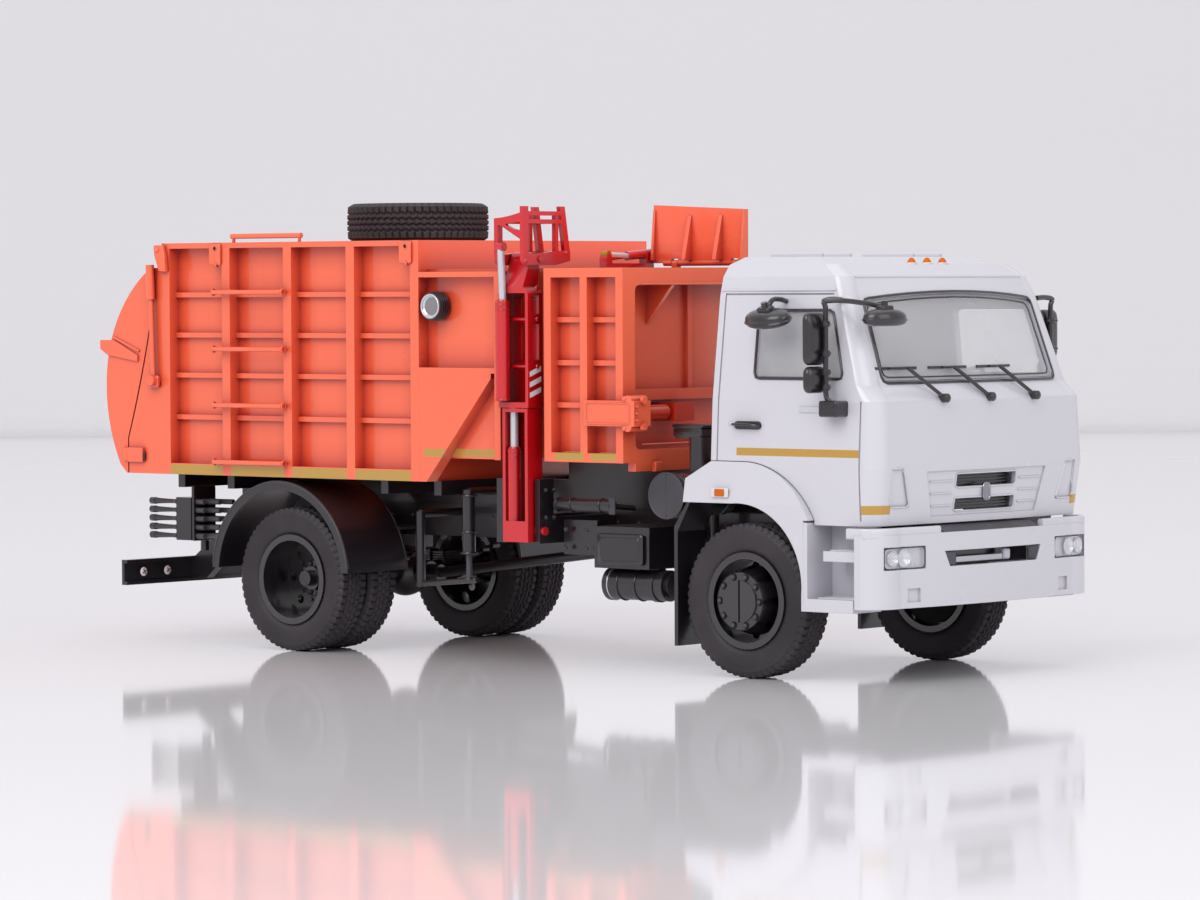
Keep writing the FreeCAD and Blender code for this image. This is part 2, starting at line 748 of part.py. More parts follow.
def strut(start, end, radius):
    """A round bar from one point to another."""
    run = end.sub(start)
    return Part.makeCylinder(radius, run.Length, start, run)


def outline(to_point, start, steps):
    """A closed face from a start and its steps.

    A step is a corner, or a pair of points for an arc through the first to
    the second.
    """
    edges = []
    here = start
    for step in steps:
        if isinstance(step[0], tuple):
            middle, there = step
            arc = Part.Arc(to_point(*here), to_point(*middle), to_point(*there))
            edges.append(arc.toShape())
        else:
            there = step
            edges.append(Part.makeLine(to_point(*here), to_point(*there)))
        here = there
    if here != start:
        edges.append(Part.makeLine(to_point(*here), to_point(*start)))
    return Part.Face(Part.Wire(edges))


def side_slab(y0, y1, start, *steps):
    """An outline seen from the side, carried across from y0 to y1."""
    face = outline(lambda x, z: vec(x, y0, z), start, steps)
    return face.extrude(vec(0, y1 - y0, 0))


def front_slab(x0, x1, start, *steps):
    """An outline seen from the front, carried along from x0 to x1."""
    face = outline(lambda y, z: vec(x0, y, z), start, steps)
    return face.extrude(vec(x1 - x0, 0, 0))


def plan_slab(z0, z1, start, *steps):
    """An outline seen from above, carried up from z0 to z1."""
    face = outline(lambda x, y: vec(x, y, z0), start, steps)
    return face.extrude(vec(0, 0, z1 - z0))


def turned(x, z, start, *steps):
    """A section in radius and Y, turned about a cross axis at x and z."""
    face = outline(lambda r, y: vec(x, y, z + r), start, steps)
    return face.revolve(vec(x, 0, z), vec(0, 1, 0), 360)


def mirrored(solid):
    return solid.mirror(vec(0, 0, 0), vec(0, 1, 0))


def joined(*solids):
    """One solid from pieces that overlap or share faces."""
    whole = solids[0]
    for solid in solids[1:]:
        whole = whole.fuse(solid)
    return whole.removeSplitter()


def ring_of(count, radius, x, z, angle_share=0.0):
    """Places on a circle seen from the side, as x and z."""
    places = []
    for index in range(count):
        angle = 2 * math.pi * (index + angle_share) / count
        places.append((x + radius * math.cos(angle), z + radius * math.sin(angle)))
    return places


# Wheels, made on the left side and mirrored for the right
def tyre(x, outer_y, z):
    """One tyre: a flat bead, round flanks, a short shoulder and a flat tread."""
    mid = outer_y - TYRE_WIDTH / 2
    half = TYRE_WIDTH / 2
    bead = BEAD_WIDTH / 2
    shoulder = SHOULDER_WIDTH / 2
    tread = TREAD_WIDTH / 2
    flank_r = BEAD_R + RIM_LIP_RISE
    return turned(
        x, z,
        (BEAD_R, mid - bead),
        (flank_r, mid - bead),
        ((BULGE_R, mid - half), (SHOULDER_R, mid - shoulder)),
        (TYRE_R, mid - tread),
        (TYRE_R, mid + tread),
        (SHOULDER_R, mid + shoulder),
        ((BULGE_R, mid + half), (flank_r, mid + bead)),
        (BEAD_R, mid + bead),
    )


def barrel(x, outer_y, z):
    """The rolled rim that carries one tyre."""
    mid = outer_y - TYRE_WIDTH / 2
    bead = BEAD_WIDTH / 2
    seat = BEAD_R - SEAM
    lip = seat + RIM_LIP_RISE
    bore = seat - RIM_WALL
    edge = mid + bead + SEAM
    back = mid - bead - SEAM
    return turned(
        x, z,
        (bore, back - RIM_LIP_THICK),
        (lip, back - RIM_LIP_THICK),
        (lip, back),
        (seat, back),
        (seat, edge),
        (lip, edge),
        (lip, edge + RIM_LIP_THICK),
        (bore, edge + RIM_LIP_THICK),
    )


def front_rim():
    z = TYRE_R
    mid = FRONT_TYRE_OUT - TYRE_WIDTH / 2
    bore = BEAD_R - SEAM - RIM_WALL
    back = mid - BEAD_WIDTH / 2
    hub_back = back
    face = FRONT_HUB_OUT - HUB_CAP_RISE
    disc = turned(
        0, z,
        (0, face - DISC_THICK),
        (HUB_R - DISC_THICK, face - DISC_THICK),
        (HUB_R + DISC_THICK, face - DISC_DISH - DISC_THICK),
        (bore + RIM_WALL / 2, face - DISC_DISH - DISC_THICK),
        (bore + RIM_WALL / 2, face - DISC_DISH),
        (HUB_R + DISC_THICK, face - DISC_DISH),
        (HUB_R, face),
        (0, face),
    )
    cap = rod_y(0, face - DISC_THICK, FRONT_HUB_OUT, z, HUB_CAP_R)
    slot = block(-HUB_SLOT / 2, HUB_SLOT / 2, FRONT_HUB_OUT - HUB_SLOT_DEPTH, FRONT_HUB_OUT + OVER,
                 z - HUB_CAP_R, z + HUB_CAP_R)
    boss = rod_y(0, hub_back, face, z, REAR_HUB_R)
    rim = joined(barrel(0, FRONT_TYRE_OUT, z), disc, cap, boss).cut(slot)
    for nut_x, nut_z in ring_of(NUT_COUNT, NUT_CIRCLE_R, 0, z):
        rim = rim.fuse(rod_y(nut_x, face - DISC_THICK, face + NUT_RISE, nut_z, NUT_R))
    for hole_x, hole_z in ring_of(HAND_HOLE_COUNT, HAND_HOLE_CIRCLE_R, 0, z):
        rim = rim.cut(rod_y(hole_x, hub_back, face, hole_z, HAND_HOLE_R))
    hole = rod_y(0, 0, SPINDLE_END + GAP, z, SPINDLE_R + RUN_FIT)
    return rim.cut(hole).removeSplitter()


def rear_rims():
    x = REAR_AXLE_X
    z = TYRE_R
    inner_out = REAR_TYRE_OUT - TYRE_WIDTH - TWIN_GAP
    bore = BEAD_R - SEAM - RIM_WALL
    middle = inner_out + TWIN_GAP / 2
    outer = barrel(x, REAR_TYRE_OUT, z)
    inner = barrel(x, inner_out, z)
    disc = turned(
        x, z,
        (0, middle - DISC_THICK / 2),
        (bore + RIM_WALL, middle - DISC_THICK / 2),
        (bore + RIM_WALL, middle + DISC_THICK / 2),
        (0, middle + DISC_THICK / 2),
    )
    tie = turned(
        x, z,
        (bore, inner_out - TYRE_WIDTH / 2),
        (bore + RIM_WALL, inner_out - TYRE_WIDTH / 2),
        (bore + RIM_WALL, REAR_TYRE_OUT - TYRE_WIDTH / 2),
        (bore, REAR_TYRE_OUT - TYRE_WIDTH / 2),
    )
    hub_back = inner_out - TYRE_WIDTH + (TYRE_WIDTH - BEAD_WIDTH) / 2
    hub = rod_y(x, hub_back, REAR_HUB_OUT - REAR_HUB_DROP, z, REAR_HUB_R)
    cap = rod_y(x, hub_back, REAR_HUB_OUT, z, REAR_HUB_STEP_R)
    rim = joined(outer, inner, disc, tie, hub, cap)
    for nut_x, nut_z in ring_of(NUT_COUNT, NUT_CIRCLE_R, x, z):
        rim = rim.fuse(rod_y(nut_x, middle, middle + DISC_THICK / 2 + NUT_RISE, nut_z, NUT_R))
    for hole_x, hole_z in ring_of(HAND_HOLE_COUNT, HAND_HOLE_CIRCLE_R, x, z):
        rim = rim.cut(rod_y(hole_x, middle - DISC_THICK, middle + DISC_THICK, hole_z, HAND_HOLE_R))
    hole = rod_y(x, 0, SPINDLE_END + GAP, z, SPINDLE_R + RUN_FIT)
    return rim.cut(hole).removeSplitter()


def wheels():
    front_tyre = tyre(0, FRONT_TYRE_OUT, TYRE_R)
    front = front_rim()
    inner_out = REAR_TYRE_OUT - TYRE_WIDTH - TWIN_GAP
    outer_tyre = tyre(REAR_AXLE_X, REAR_TYRE_OUT, TYRE_R)
    inner_tyre = tyre(REAR_AXLE_X, inner_out, TYRE_R)
    rear = rear_rims()
    place("tyre_front_left", front_tyre)
    place("tyre_front_right", mirrored(front_tyre))
    place("rim_front_left", front)
    place("rim_front_right", mirrored(front))
    place("tyres_rear_left", outer_tyre, inner_tyre)
    place("tyres_rear_right", mirrored(outer_tyre), mirrored(inner_tyre))
    place("rims_rear_left", rear)
    place("rims_rear_right", mirrored(rear))


# Chassis
def rail():
    """One C rail on the left, open towards the middle."""
    whole = block(RAIL_REAR, RAIL_FRONT, RAIL_OUT - RAIL_FLANGE, RAIL_OUT, RAIL_BASE, RAIL_TOP)
    hollow = block(RAIL_REAR - OVER, RAIL_FRONT + OVER, RAIL_OUT - RAIL_FLANGE - OVER, RAIL_OUT - RAIL_WEB,
                   RAIL_BASE + RAIL_WEB, RAIL_TOP - RAIL_WEB)
    return whole.cut(hollow)


def spring_line(axle_x):
    """The two spring eye places of one axle, along the truck."""
    return (axle_x - SPRING_HALF, axle_x + SPRING_HALF)


def eye_height(axle_top, thick):
    return axle_top + SPRING_PAD + thick / 2 + SPRING_RISE


def hangers(axle_x, axle_top, thick):
    """Brackets from one rail down to the eyes of its spring."""
    made = []
    eye_z = eye_height(axle_top, thick)
    y = RAIL_OUT - RAIL_FLANGE / 2
    for x in spring_line(axle_x):
        ear = block(x - HANGER_LENGTH / 2, x + HANGER_LENGTH / 2, y - HANGER_WIDTH / 2,
                    y + HANGER_WIDTH / 2,
                    eye_z, RAIL_BASE + RAIL_WEB / 2)
        made.append(ear)
    return made


def frame():
    """Two rails with their spring hangers, and the cross members that stand between their webs."""
    left = rail()
    front_top = TYRE_R + AXLE_BEAM_HEIGHT / 2
    rear_top = TYRE_R + REAR_TUBE_R
    ears = hangers(0, front_top, SPRING_THICK) + hangers(REAR_AXLE_X, rear_top, REAR_SPRING_THICK)
    left = joined(left, *ears)
    place("frame_rails", left, mirrored(left))
    middle_z = (RAIL_BASE + RAIL_TOP) / 2
    reach = RAIL_OUT - RAIL_WEB
    members = []
    for index, share in enumerate(CROSS_PLACE_SHARES):
        x = RAIL_FRONT + share * (RAIL_REAR - RAIL_FRONT)
        member = rod_y(x, -reach, reach, middle_z, CROSS_R)
        if index in (0, len(CROSS_PLACE_SHARES) - 1):
            member = member.fuse(rod_z(x, 0, PLINTH_BOSS_BASE, middle_z + CROSS_R, PLINTH_BOSS_R))
            hole_top = PLINTH_BOSS_BASE + PLINTH_HOLE_DEEP
            member = member.cut(rod_z(x, 0, PLINTH_BOSS_BASE - OVER, hole_top, PLINTH_HOLE_R))
        members.append(member)
    place("cross_members", *members)


def leaf(axle_x, axle_top, thick):
    """A bowed leaf pack on its axle pad, on the left rail's line."""
    y = RAIL_OUT - RAIL_FLANGE / 2
    low = axle_top + SPRING_PAD
    eye_z = eye_height(axle_top, thick) - GAP
    rear_x, front_x = spring_line(axle_x)
    pack = side_slab(
        y - SPRING_WIDTH / 2, y + SPRING_WIDTH / 2,
        (rear_x, eye_z),
        (rear_x, eye_z - thick / 2),
        ((axle_x, low), (front_x, eye_z - thick / 2)),
        (front_x, eye_z),
        ((axle_x, low + thick), (rear_x, eye_z)),
    )
    pad = block(axle_x - SPRING_PAD, axle_x + SPRING_PAD, y - SPRING_WIDTH / 2, y + SPRING_WIDTH / 2,
                axle_top, low + thick / 2)
    return joined(pack, pad)


def axles():
    beam_half = AXLE_BEAM_LENGTH / 2
    low = TYRE_R - AXLE_BEAM_HEIGHT / 2
    high = TYRE_R + AXLE_BEAM_HEIGHT / 2
    knee = AXLE_BEAM_FLAT + AXLE_BEAM_DROP
    beam = front_slab(
        -beam_half, beam_half,
        (-AXLE_BEAM_OUT, low), (-knee - AXLE_BEAM_DROP, low), (-knee, low - AXLE_BEAM_DROP / 2),
        (knee, low - AXLE_BEAM_DROP / 2), (knee + AXLE_BEAM_DROP, low), (AXLE_BEAM_OUT, low),
        (AXLE_BEAM_OUT, high), (knee - AXLE_BEAM_DROP, high),
        (AXLE_BEAM_FLAT - AXLE_BEAM_DROP, high - AXLE_BEAM_DROP / 2),
        (AXLE_BEAM_DROP - AXLE_BEAM_FLAT, high - AXLE_BEAM_DROP / 2), (AXLE_BEAM_DROP - knee, high),
        (-AXLE_BEAM_OUT, high),
    )
    spindle = rod_y(0, -SPINDLE_END, SPINDLE_END, TYRE_R, SPINDLE_R)
    hub_back = FRONT_TYRE_OUT - TYRE_WIDTH / 2 - BEAD_WIDTH / 2
    flange = rod_y(0, AXLE_BEAM_OUT - SPINDLE_FLANGE_THICK, hub_back - GAP, TYRE_R, SPINDLE_FLANGE_R)
    place("front_axle", joined(beam, spindle, flange, mirrored(flange)))
    tube = rod_y(REAR_AXLE_X, -REAR_TUBE_OUT, REAR_TUBE_OUT, TYRE_R, REAR_TUBE_R)
    pin = rod_y(REAR_AXLE_X, -SPINDLE_END, SPINDLE_END, TYRE_R, SPINDLE_R)
    ball = Part.makeSphere(DIFF_R, vec(REAR_AXLE_X, 0, TYRE_R))
    nose = rod_x(REAR_AXLE_X, REAR_AXLE_X + DIFF_NOSE, 0, TYRE_R, DIFF_NOSE_R)
    place("rear_axle", joined(tube, pin, ball, nose))
    front_spring = leaf(0, high, SPRING_THICK)
    rear_spring = leaf(REAR_AXLE_X, TYRE_R + REAR_TUBE_R, REAR_SPRING_THICK)
    place("leaf_springs", front_spring, mirrored(front_spring), rear_spring, mirrored(rear_spring))


def bearers():
    """Two long bearers and the outriggers that carry the body's sides."""
    beam = block(BEARER_REAR, BEARER_FRONT, BEARER_OUT - BEARER_WIDTH, BEARER_OUT, RAIL_TOP, BODY_BASE)
    riser_front = HOPPER_FRONT - PORTAL_BEAM_DEPTH
    riser = block(CHUTE_FRONT, riser_front, BEARER_OUT - BEARER_WIDTH, BEARER_OUT, BODY_BASE, HOPPER_BASE)
    pieces = [beam, mirrored(beam), riser, mirrored(riser)]
    span = BODY_FRONT - BEARER_REAR
    for index in range(OUTRIGGER_COUNT):
        x = BEARER_REAR + span * index / (OUTRIGGER_COUNT - 1)
        reach = BEARER_OUT if abs(x - REAR_AXLE_X) < GUARD_R else OUTRIGGER_OUT
        pieces.append(block(x, x + OUTRIGGER_LENGTH, -reach, reach, BODY_BASE - OUTRIGGER_DEPTH, BODY_BASE))
    place("bearers", joined(*pieces))


def driveline():
    engine = front_slab(
        ENGINE_REAR, ENGINE_FRONT,
        (-ENGINE_HALF, ENGINE_TOP), (-ENGINE_HALF, RAIL_BASE), (-ENGINE_HALF + SUMP_TAPER, ENGINE_BASE),
        (ENGINE_HALF - SUMP_TAPER, ENGINE_BASE), (ENGINE_HALF, RAIL_BASE), (ENGINE_HALF, ENGINE_TOP),
    )
    gearbox = block(GEARBOX_REAR, ENGINE_REAR, -GEARBOX_HALF, GEARBOX_HALF, GEARBOX_BASE, GEARBOX_TOP)
    flange = rod_x(GEARBOX_REAR - JOINT_LENGTH, GEARBOX_REAR, 0, SHAFT_HEIGHT, JOINT_R)
    place("engine", joined(engine, gearbox, flange))
    start = vec(GEARBOX_REAR - JOINT_LENGTH * 1.5, 0, SHAFT_HEIGHT)
    end = vec(REAR_AXLE_X + DIFF_NOSE + JOINT_LENGTH, 0, TYRE_R)
    shaft = strut(start, end, SHAFT_R)
    rear_joint = rod_x(end.x - JOINT_LENGTH, end.x + JOINT_LENGTH / 2, 0, TYRE_R, JOINT_R)
    front_joint = rod_x(start.x - JOINT_LENGTH / 2, start.x + JOINT_LENGTH / 2, 0, SHAFT_HEIGHT, JOINT_R)
    place("prop_shaft", joined(shaft, rear_joint, front_joint))


def rounded_along(x0, x1, swell):
    """A length of the fuel tank's rounded section, swollen by an amount for its straps."""
    bar = block(x0, x1, FUEL_IN - swell, FUEL_OUT + swell, FUEL_BASE - swell, FUEL_TOP + swell)
    along = [edge for edge in bar.Edges if abs(edge.tangentAt(edge.FirstParameter).x) > 1 - SEAM]
    return bar.makeFillet(FUEL_ROUND + swell, along)


def side_boxes():
    box_in = BATTERY_OUT - BATTERY_DEPTH
    case = block(BATTERY_REAR, BATTERY_FRONT, -BATTERY_OUT + BATTERY_LID_LIP, -box_in, BATTERY_BASE,
                 BATTERY_TOP - BATTERY_LID)
    lid = block(BATTERY_REAR - BATTERY_LID_LIP, BATTERY_FRONT + BATTERY_LID_LIP, -BATTERY_OUT, -box_in,
                BATTERY_TOP - BATTERY_LID, BATTERY_TOP)
    bracket = block(BATTERY_REAR + BRACKET_THICK, BATTERY_FRONT - BRACKET_THICK, -box_in, -RAIL_OUT,
                    BATTERY_TOP - BATTERY_LID - BRACKET_THICK, BATTERY_TOP)
    plate = block(PLATE_REAR, BATTERY_REAR, -BATTERY_OUT + PLATE_THICK, -BATTERY_OUT + 2 * PLATE_THICK,
                  PLATE_BASE, PLATE_TOP)
    place("battery_box", joined(case, lid, bracket, plate))
    tank_y = -AIR_TANK_OUT + AIR_TANK_R
    tank = rod_x(AIR_TANK_REAR + AIR_TANK_DOME, AIR_TANK_FRONT - AIR_TANK_DOME, tank_y, AIR_TANK_HEIGHT,
                 AIR_TANK_R)
    ends = rod_x(AIR_TANK_REAR, AIR_TANK_FRONT, tank_y, AIR_TANK_HEIGHT, AIR_TANK_R - AIR_TANK_DOME)
    hanger = block(BATTERY_REAR + BATTERY_RIB, BATTERY_REAR + BATTERY_RIB + AIR_TANK_BAND_WIDTH,
                   tank_y - AIR_TANK_BAND_WIDTH, tank_y + AIR_TANK_BAND_WIDTH, AIR_TANK_HEIGHT,
                   BATTERY_BASE)
    front_hanger = block(BATTERY_FRONT - BATTERY_RIB - AIR_TANK_BAND_WIDTH, BATTERY_FRONT - BATTERY_RIB,
                         tank_y - AIR_TANK_BAND_WIDTH, tank_y + AIR_TANK_BAND_WIDTH, AIR_TANK_HEIGHT,
                         BATTERY_BASE)
    bands = []
    for x in (BATTERY_REAR + BATTERY_RIB, BATTERY_FRONT - BATTERY_RIB - AIR_TANK_BAND_WIDTH):
        bands.append(rod_x(x, x + AIR_TANK_BAND_WIDTH, tank_y, AIR_TANK_HEIGHT, AIR_TANK_R + AIR_TANK_BAND))
    place("air_tank", joined(tank, ends, hanger, front_hanger, *bands))
    fuel = rounded_along(FUEL_REAR, FUEL_FRONT, 0)
    strap_run = FUEL_FRONT - FUEL_REAR - FUEL_STRAP_WIDTH
    for share in FUEL_STRAP_SHARES:
        x = FUEL_REAR + share * strap_run
        fuel = fuel.fuse(rounded_along(x, x + FUEL_STRAP_WIDTH, FUEL_STRAP))
    cap = rod_z(FUEL_FRONT - FUEL_ROUND, FUEL_OUT - FUEL_ROUND * 2, FUEL_TOP - FUEL_CAP_RISE,
                FUEL_TOP + FUEL_CAP_RISE, FUEL_CAP_R)
    arm = block(FUEL_REAR + FUEL_ROUND, FUEL_FRONT - FUEL_ROUND, RAIL_OUT, FUEL_IN + FUEL_ROUND,
                RAIL_BASE + RAIL_WEB, RAIL_BASE + RAIL_WEB + BRACKET_THICK)
    place("fuel_tank", joined(fuel, cap, arm))


def cleaner():
    drum = rod_y(CLEANER_X, -CLEANER_OUT + CLEANER_RIM_WIDTH, -CLEANER_IN, CLEANER_Z,
                 CLEANER_R - CLEANER_RIM)
    rim = rod_y(CLEANER_X, -CLEANER_OUT, -CLEANER_OUT + CLEANER_RIM_WIDTH, CLEANER_Z, CLEANER_R)
    duct = block(CLEANER_X - INTAKE_LENGTH / 2, CLEANER_X + INTAKE_LENGTH / 2, INTAKE_Y - INTAKE_HALF,
                 INTAKE_Y + INTAKE_HALF, CLEANER_Z, INTAKE_TOP)
    foot = block(CLEANER_X - BRACKET_THICK, CLEANER_X + BRACKET_THICK, -CLEANER_IN - BRACKET_THICK,
                 -RAIL_OUT,
                 RAIL_BASE + RAIL_WEB, CLEANER_Z)
    place("air_cleaner", joined(drum, rim, duct, foot))


def mudguards():
    outer = rod_y(GUARD_X, GUARD_IN, BODY_HALF, GUARD_Z, GUARD_R)
    inner = rod_y(GUARD_X, GUARD_IN - OVER, BODY_HALF + OVER, GUARD_Z, GUARD_R - GUARD_THICK)
    lower = block(GUARD_X - GUARD_R - OVER, GUARD_X + GUARD_R + OVER, GUARD_IN - OVER, BODY_HALF + OVER,
                  GUARD_Z - GUARD_R - OVER, GUARD_Z + GUARD_LIP)
    band = outer.cut(inner).cut(lower)
    lip = rod_y(GUARD_X, BODY_HALF - GUARD_THICK, BODY_HALF, GUARD_Z, GUARD_R - GUARD_THICK / 2)
    lip_hole = rod_y(GUARD_X, BODY_HALF - OVER, BODY_HALF + OVER, GUARD_Z,
                     GUARD_R - GUARD_LIP - GUARD_THICK)
    lip = lip.cut(lip_hole).cut(lower)
    stay_z = GUARD_Z + GUARD_R / 2
    stay_x = math.sqrt(GUARD_R ** 2 - (GUARD_R / 2) ** 2) - GUARD_THICK / 2
    pieces = [band, lip]
    for sign in (-1, 1):
        pieces.append(rod_y(GUARD_X + sign * stay_x, RAIL_OUT, GUARD_IN + GUARD_STAY_R, stay_z,
                            GUARD_STAY_R))
    guard = joined(*pieces)
    place("rear_mudguards", guard, mirrored(guard))


def rear_bar():
    face = block(BAR_REAR, BAR_REAR + BAR_LIP, -BAR_OUT, BAR_OUT, BAR_BASE, BAR_TOP)
    top = block(BAR_REAR, BAR_REAR + BAR_THICK, -BAR_OUT, BAR_OUT, BAR_TOP - BAR_LIP, BAR_TOP)
    low = block(BAR_REAR, BAR_REAR + BAR_THICK, -BAR_OUT, BAR_OUT, BAR_BASE, BAR_BASE + BAR_LIP)
    arm = side_slab(
        BAR_ARM_Y - BAR_ARM_WIDTH / 2, BAR_ARM_Y + BAR_ARM_WIDTH / 2,
        (BAR_REAR + BAR_LIP, BAR_TOP - BAR_LIP), (BAR_REAR + BAR_LIP, BAR_BASE + BAR_LIP),
        (BAR_REAR + BAR_TOP - BAR_BASE, BAR_BASE + BAR_LIP), (RAIL_REAR, RAIL_BASE),
        (RAIL_REAR, RAIL_TOP - RAIL_WEB),
    )
    place("rear_bar", joined(face, top, low, arm, mirrored(arm)))
    lamps = []
    middle_z = (BAR_BASE + BAR_TOP) / 2
    for index in range(2):
        lamp = rod_x(BAR_REAR - LAMP_RISE, BAR_REAR, LAMP_OUT - index * LAMP_PITCH, middle_z, LAMP_R)
        lamps.append(lamp)
        lamps.append(mirrored(lamp))
    place("rear_lamps", *lamps)
    case = block(VALVE_X - VALVE_LENGTH / 2, VALVE_X + VALVE_LENGTH / 2, -VALVE_OUT, -VALVE_IN, VALVE_BASE,
                 VALVE_TOP)
    post = block(VALVE_X - BRACKET_THICK / 2, VALVE_X + BRACKET_THICK / 2, -VALVE_IN - BRACKET_THICK,
                 -VALVE_IN,
                 VALVE_TOP, BODY_BASE - OUTRIGGER_DEPTH)
    pieces = [case, post]
    pitch = (VALVE_TOP - VALVE_BASE) / LEVER_COUNT
    for index in range(LEVER_COUNT):
        z = VALVE_BASE + pitch * (index + 0.5)
        tip_x = VALVE_X - VALVE_LENGTH / 2 - LEVER_LENGTH
        y = -VALVE_OUT + LEVER_KNOB_R
        pieces.append(rod_x(tip_x, VALVE_X, y, z, LEVER_R))
        pieces.append(rod_x(tip_x, tip_x + 2 * LEVER_KNOB_R, y, z, LEVER_KNOB_R))
    place("valve_levers", joined(*pieces))


# Cab
def cab_wire(level, inset):
    """The plan of the cab at one level, drawn in by an inset."""
    z, half, rear, side_end, corner_x, corner_y, nose = level
    half = half - inset
    rear = rear + inset
    corner_x = corner_x - inset
    corner_y = corner_y - inset / 2
    nose = nose - inset
    mid_x = side_end + (corner_x - side_end) * math.sin(math.pi / 4)
    mid_y = corner_y + (half - corner_y) * math.sin(math.pi / 4)
    points = [
        (rear, -half), (side_end, -half), (mid_x, -mid_y), (corner_x, -corner_y),
        (nose, 0), (corner_x, corner_y), (mid_x, mid_y), (side_end, half), (rear, half),
    ]
    p = [vec(x, y, z) for x, y in points]
    edges = [
        Part.makeLine(p[0], p[1]),
        Part.Arc(p[1], p[2], p[3]).toShape(),
        Part.Arc(p[3], p[4], p[5]).toShape(),
        Part.Arc(p[5], p[6], p[7]).toShape(),
        Part.makeLine(p[7], p[8]),
        Part.makeLine(p[8], p[0]),
    ]
    return Part.Wire(edges)


def cab_form(inset):
    """The cab's closed form, drawn in by an inset on every side but the floor."""
    wires = []
    for level in CAB_LEVELS:
        lowered = (level[0] - (inset if level is not CAB_FLOOR_LEVEL else 0),) + level[1:]
        wires.append(cab_wire(lowered, inset))
    return Part.makeLoft(wires, True, True)


def screen_prism(inset):
    half_low = SCREEN_HALF_BASE - inset
    half_high = SCREEN_HALF_TOP - inset
    low = SCREEN_BASE + inset
    high = SCREEN_TOP - inset
    return front_slab(
        CAB_BROW_LEVEL[3], FRONT_REACH,
        (-half_low, low), (half_low, low), (half_high, high),
        ((0, high + SCREEN_CROWN), (-half_high, high)),
    )


def window_prism(inset):
    return side_slab(
        -BODY_HALF, BODY_HALF,
        (WINDOW_REAR + inset, WINDOW_BASE + inset), (WINDOW_FRONT_BASE - inset, WINDOW_BASE + inset),
        (WINDOW_FRONT_TOP - inset, WINDOW_TOP - inset), (WINDOW_REAR + inset, WINDOW_TOP - inset),
    )


def arch_void():
    """The part of the cab's sides that the front arches take up."""
    return side_slab(
        -BODY_HALF, BODY_HALF,
        (CAB_FLOOR_LEVEL[2] - OVER, CAB_FLOOR_LEVEL[0] - OVER),
        (CAB_FLOOR_LEVEL[2] - OVER, ARCH_CUT_REAR_Z),
        (ARCH_CUT_FLAT_X, ARCH_CUT_REAR_Z),
        ((ARCH_CUT_MID_X, ARCH_CUT_MID_Z), (ARCH_CUT_FRONT_X, SILL_Z)),
        (ARCH_CUT_FRONT_X, CAB_FLOOR_LEVEL[0] - OVER),
    )


def groove_side(x0, x1, z0, z1):
    """A shut line cut into both flanks of the cab, following their slope."""
    strip = block(x0, x1, -BODY_HALF, BODY_HALF, z0, z1)
    return strip.cut(cab_form(CAB_LINE_DEPTH))


def cab_shell():
    shell = cab_form(0).cut(cab_form(CAB_WALL))
    floor_cut = block(-BODY_HALF, STEP_REAR, -BODY_HALF, BODY_HALF, CAB_FLOOR_LEVEL[0] - OVER,
                      CAB_FLOOR_LEVEL[0])
    shell = shell.cut(screen_prism(0)).cut(window_prism(0)).cut(arch_void()).cut(floor_cut)
    for line in (
        groove_side(DOOR_REAR, DOOR_REAR + CAB_LINE, SILL_Z, DOOR_TOP),
        groove_side(DOOR_REAR, WINDOW_FRONT_TOP, DOOR_TOP - CAB_LINE, DOOR_TOP),
        groove_side(DOOR_FRONT, DOOR_FRONT + CAB_LINE, SILL_Z, CAB_COWL_LEVEL[0]),
    ):
        shell = shell.cut(line)
    for low, high in ((GRILLE_LOW_BASE, GRILLE_LOW_TOP), (GRILLE_HIGH_BASE, GRILLE_HIGH_TOP)):
        shell = shell.cut(block(CAB_FLOOR_LEVEL[3], FRONT_REACH, -GRILLE_HALF, GRILLE_HALF, low, high))
    skin = cab_form(GRILLE_PANEL_DEPTH)
    nose_panel = front_slab(
        CAB_FLOOR_LEVEL[3], FRONT_REACH,
        (-GRILLE_PANEL_LOW_HALF, GRILLE_PANEL_BASE), (GRILLE_PANEL_LOW_HALF, GRILLE_PANEL_BASE),
        (GRILLE_PANEL_HALF, GRILLE_PANEL_TOP), (-GRILLE_PANEL_HALF, GRILLE_PANEL_TOP),
    )
    shell = shell.cut(nose_panel.cut(skin))
    for sign in (-1, 1):
        panel = front_slab(
            CAB_FLOOR_LEVEL[3], FRONT_REACH,
            (sign * CORNER_PANEL_IN_BASE, CORNER_PANEL_BASE), (sign * CORNER_PANEL_OUT, CORNER_PANEL_BASE),
            (sign * CORNER_PANEL_OUT, CORNER_PANEL_TOP), (sign * CORNER_PANEL_IN_TOP, CORNER_PANEL_TOP),
        )
        shell = shell.cut(panel.cut(skin))
    place("cab_shell", shell)


def cab_glass():
    pane = cab_form(CAB_GLASS_SET).cut(cab_form(CAB_GLASS_SET + CAB_GLASS_THICK))
    screen = pane.common(screen_prism(SEAM))
    sides = pane.common(window_prism(SEAM))
    place("cab_glass", *(screen.Solids + sides.Solids))


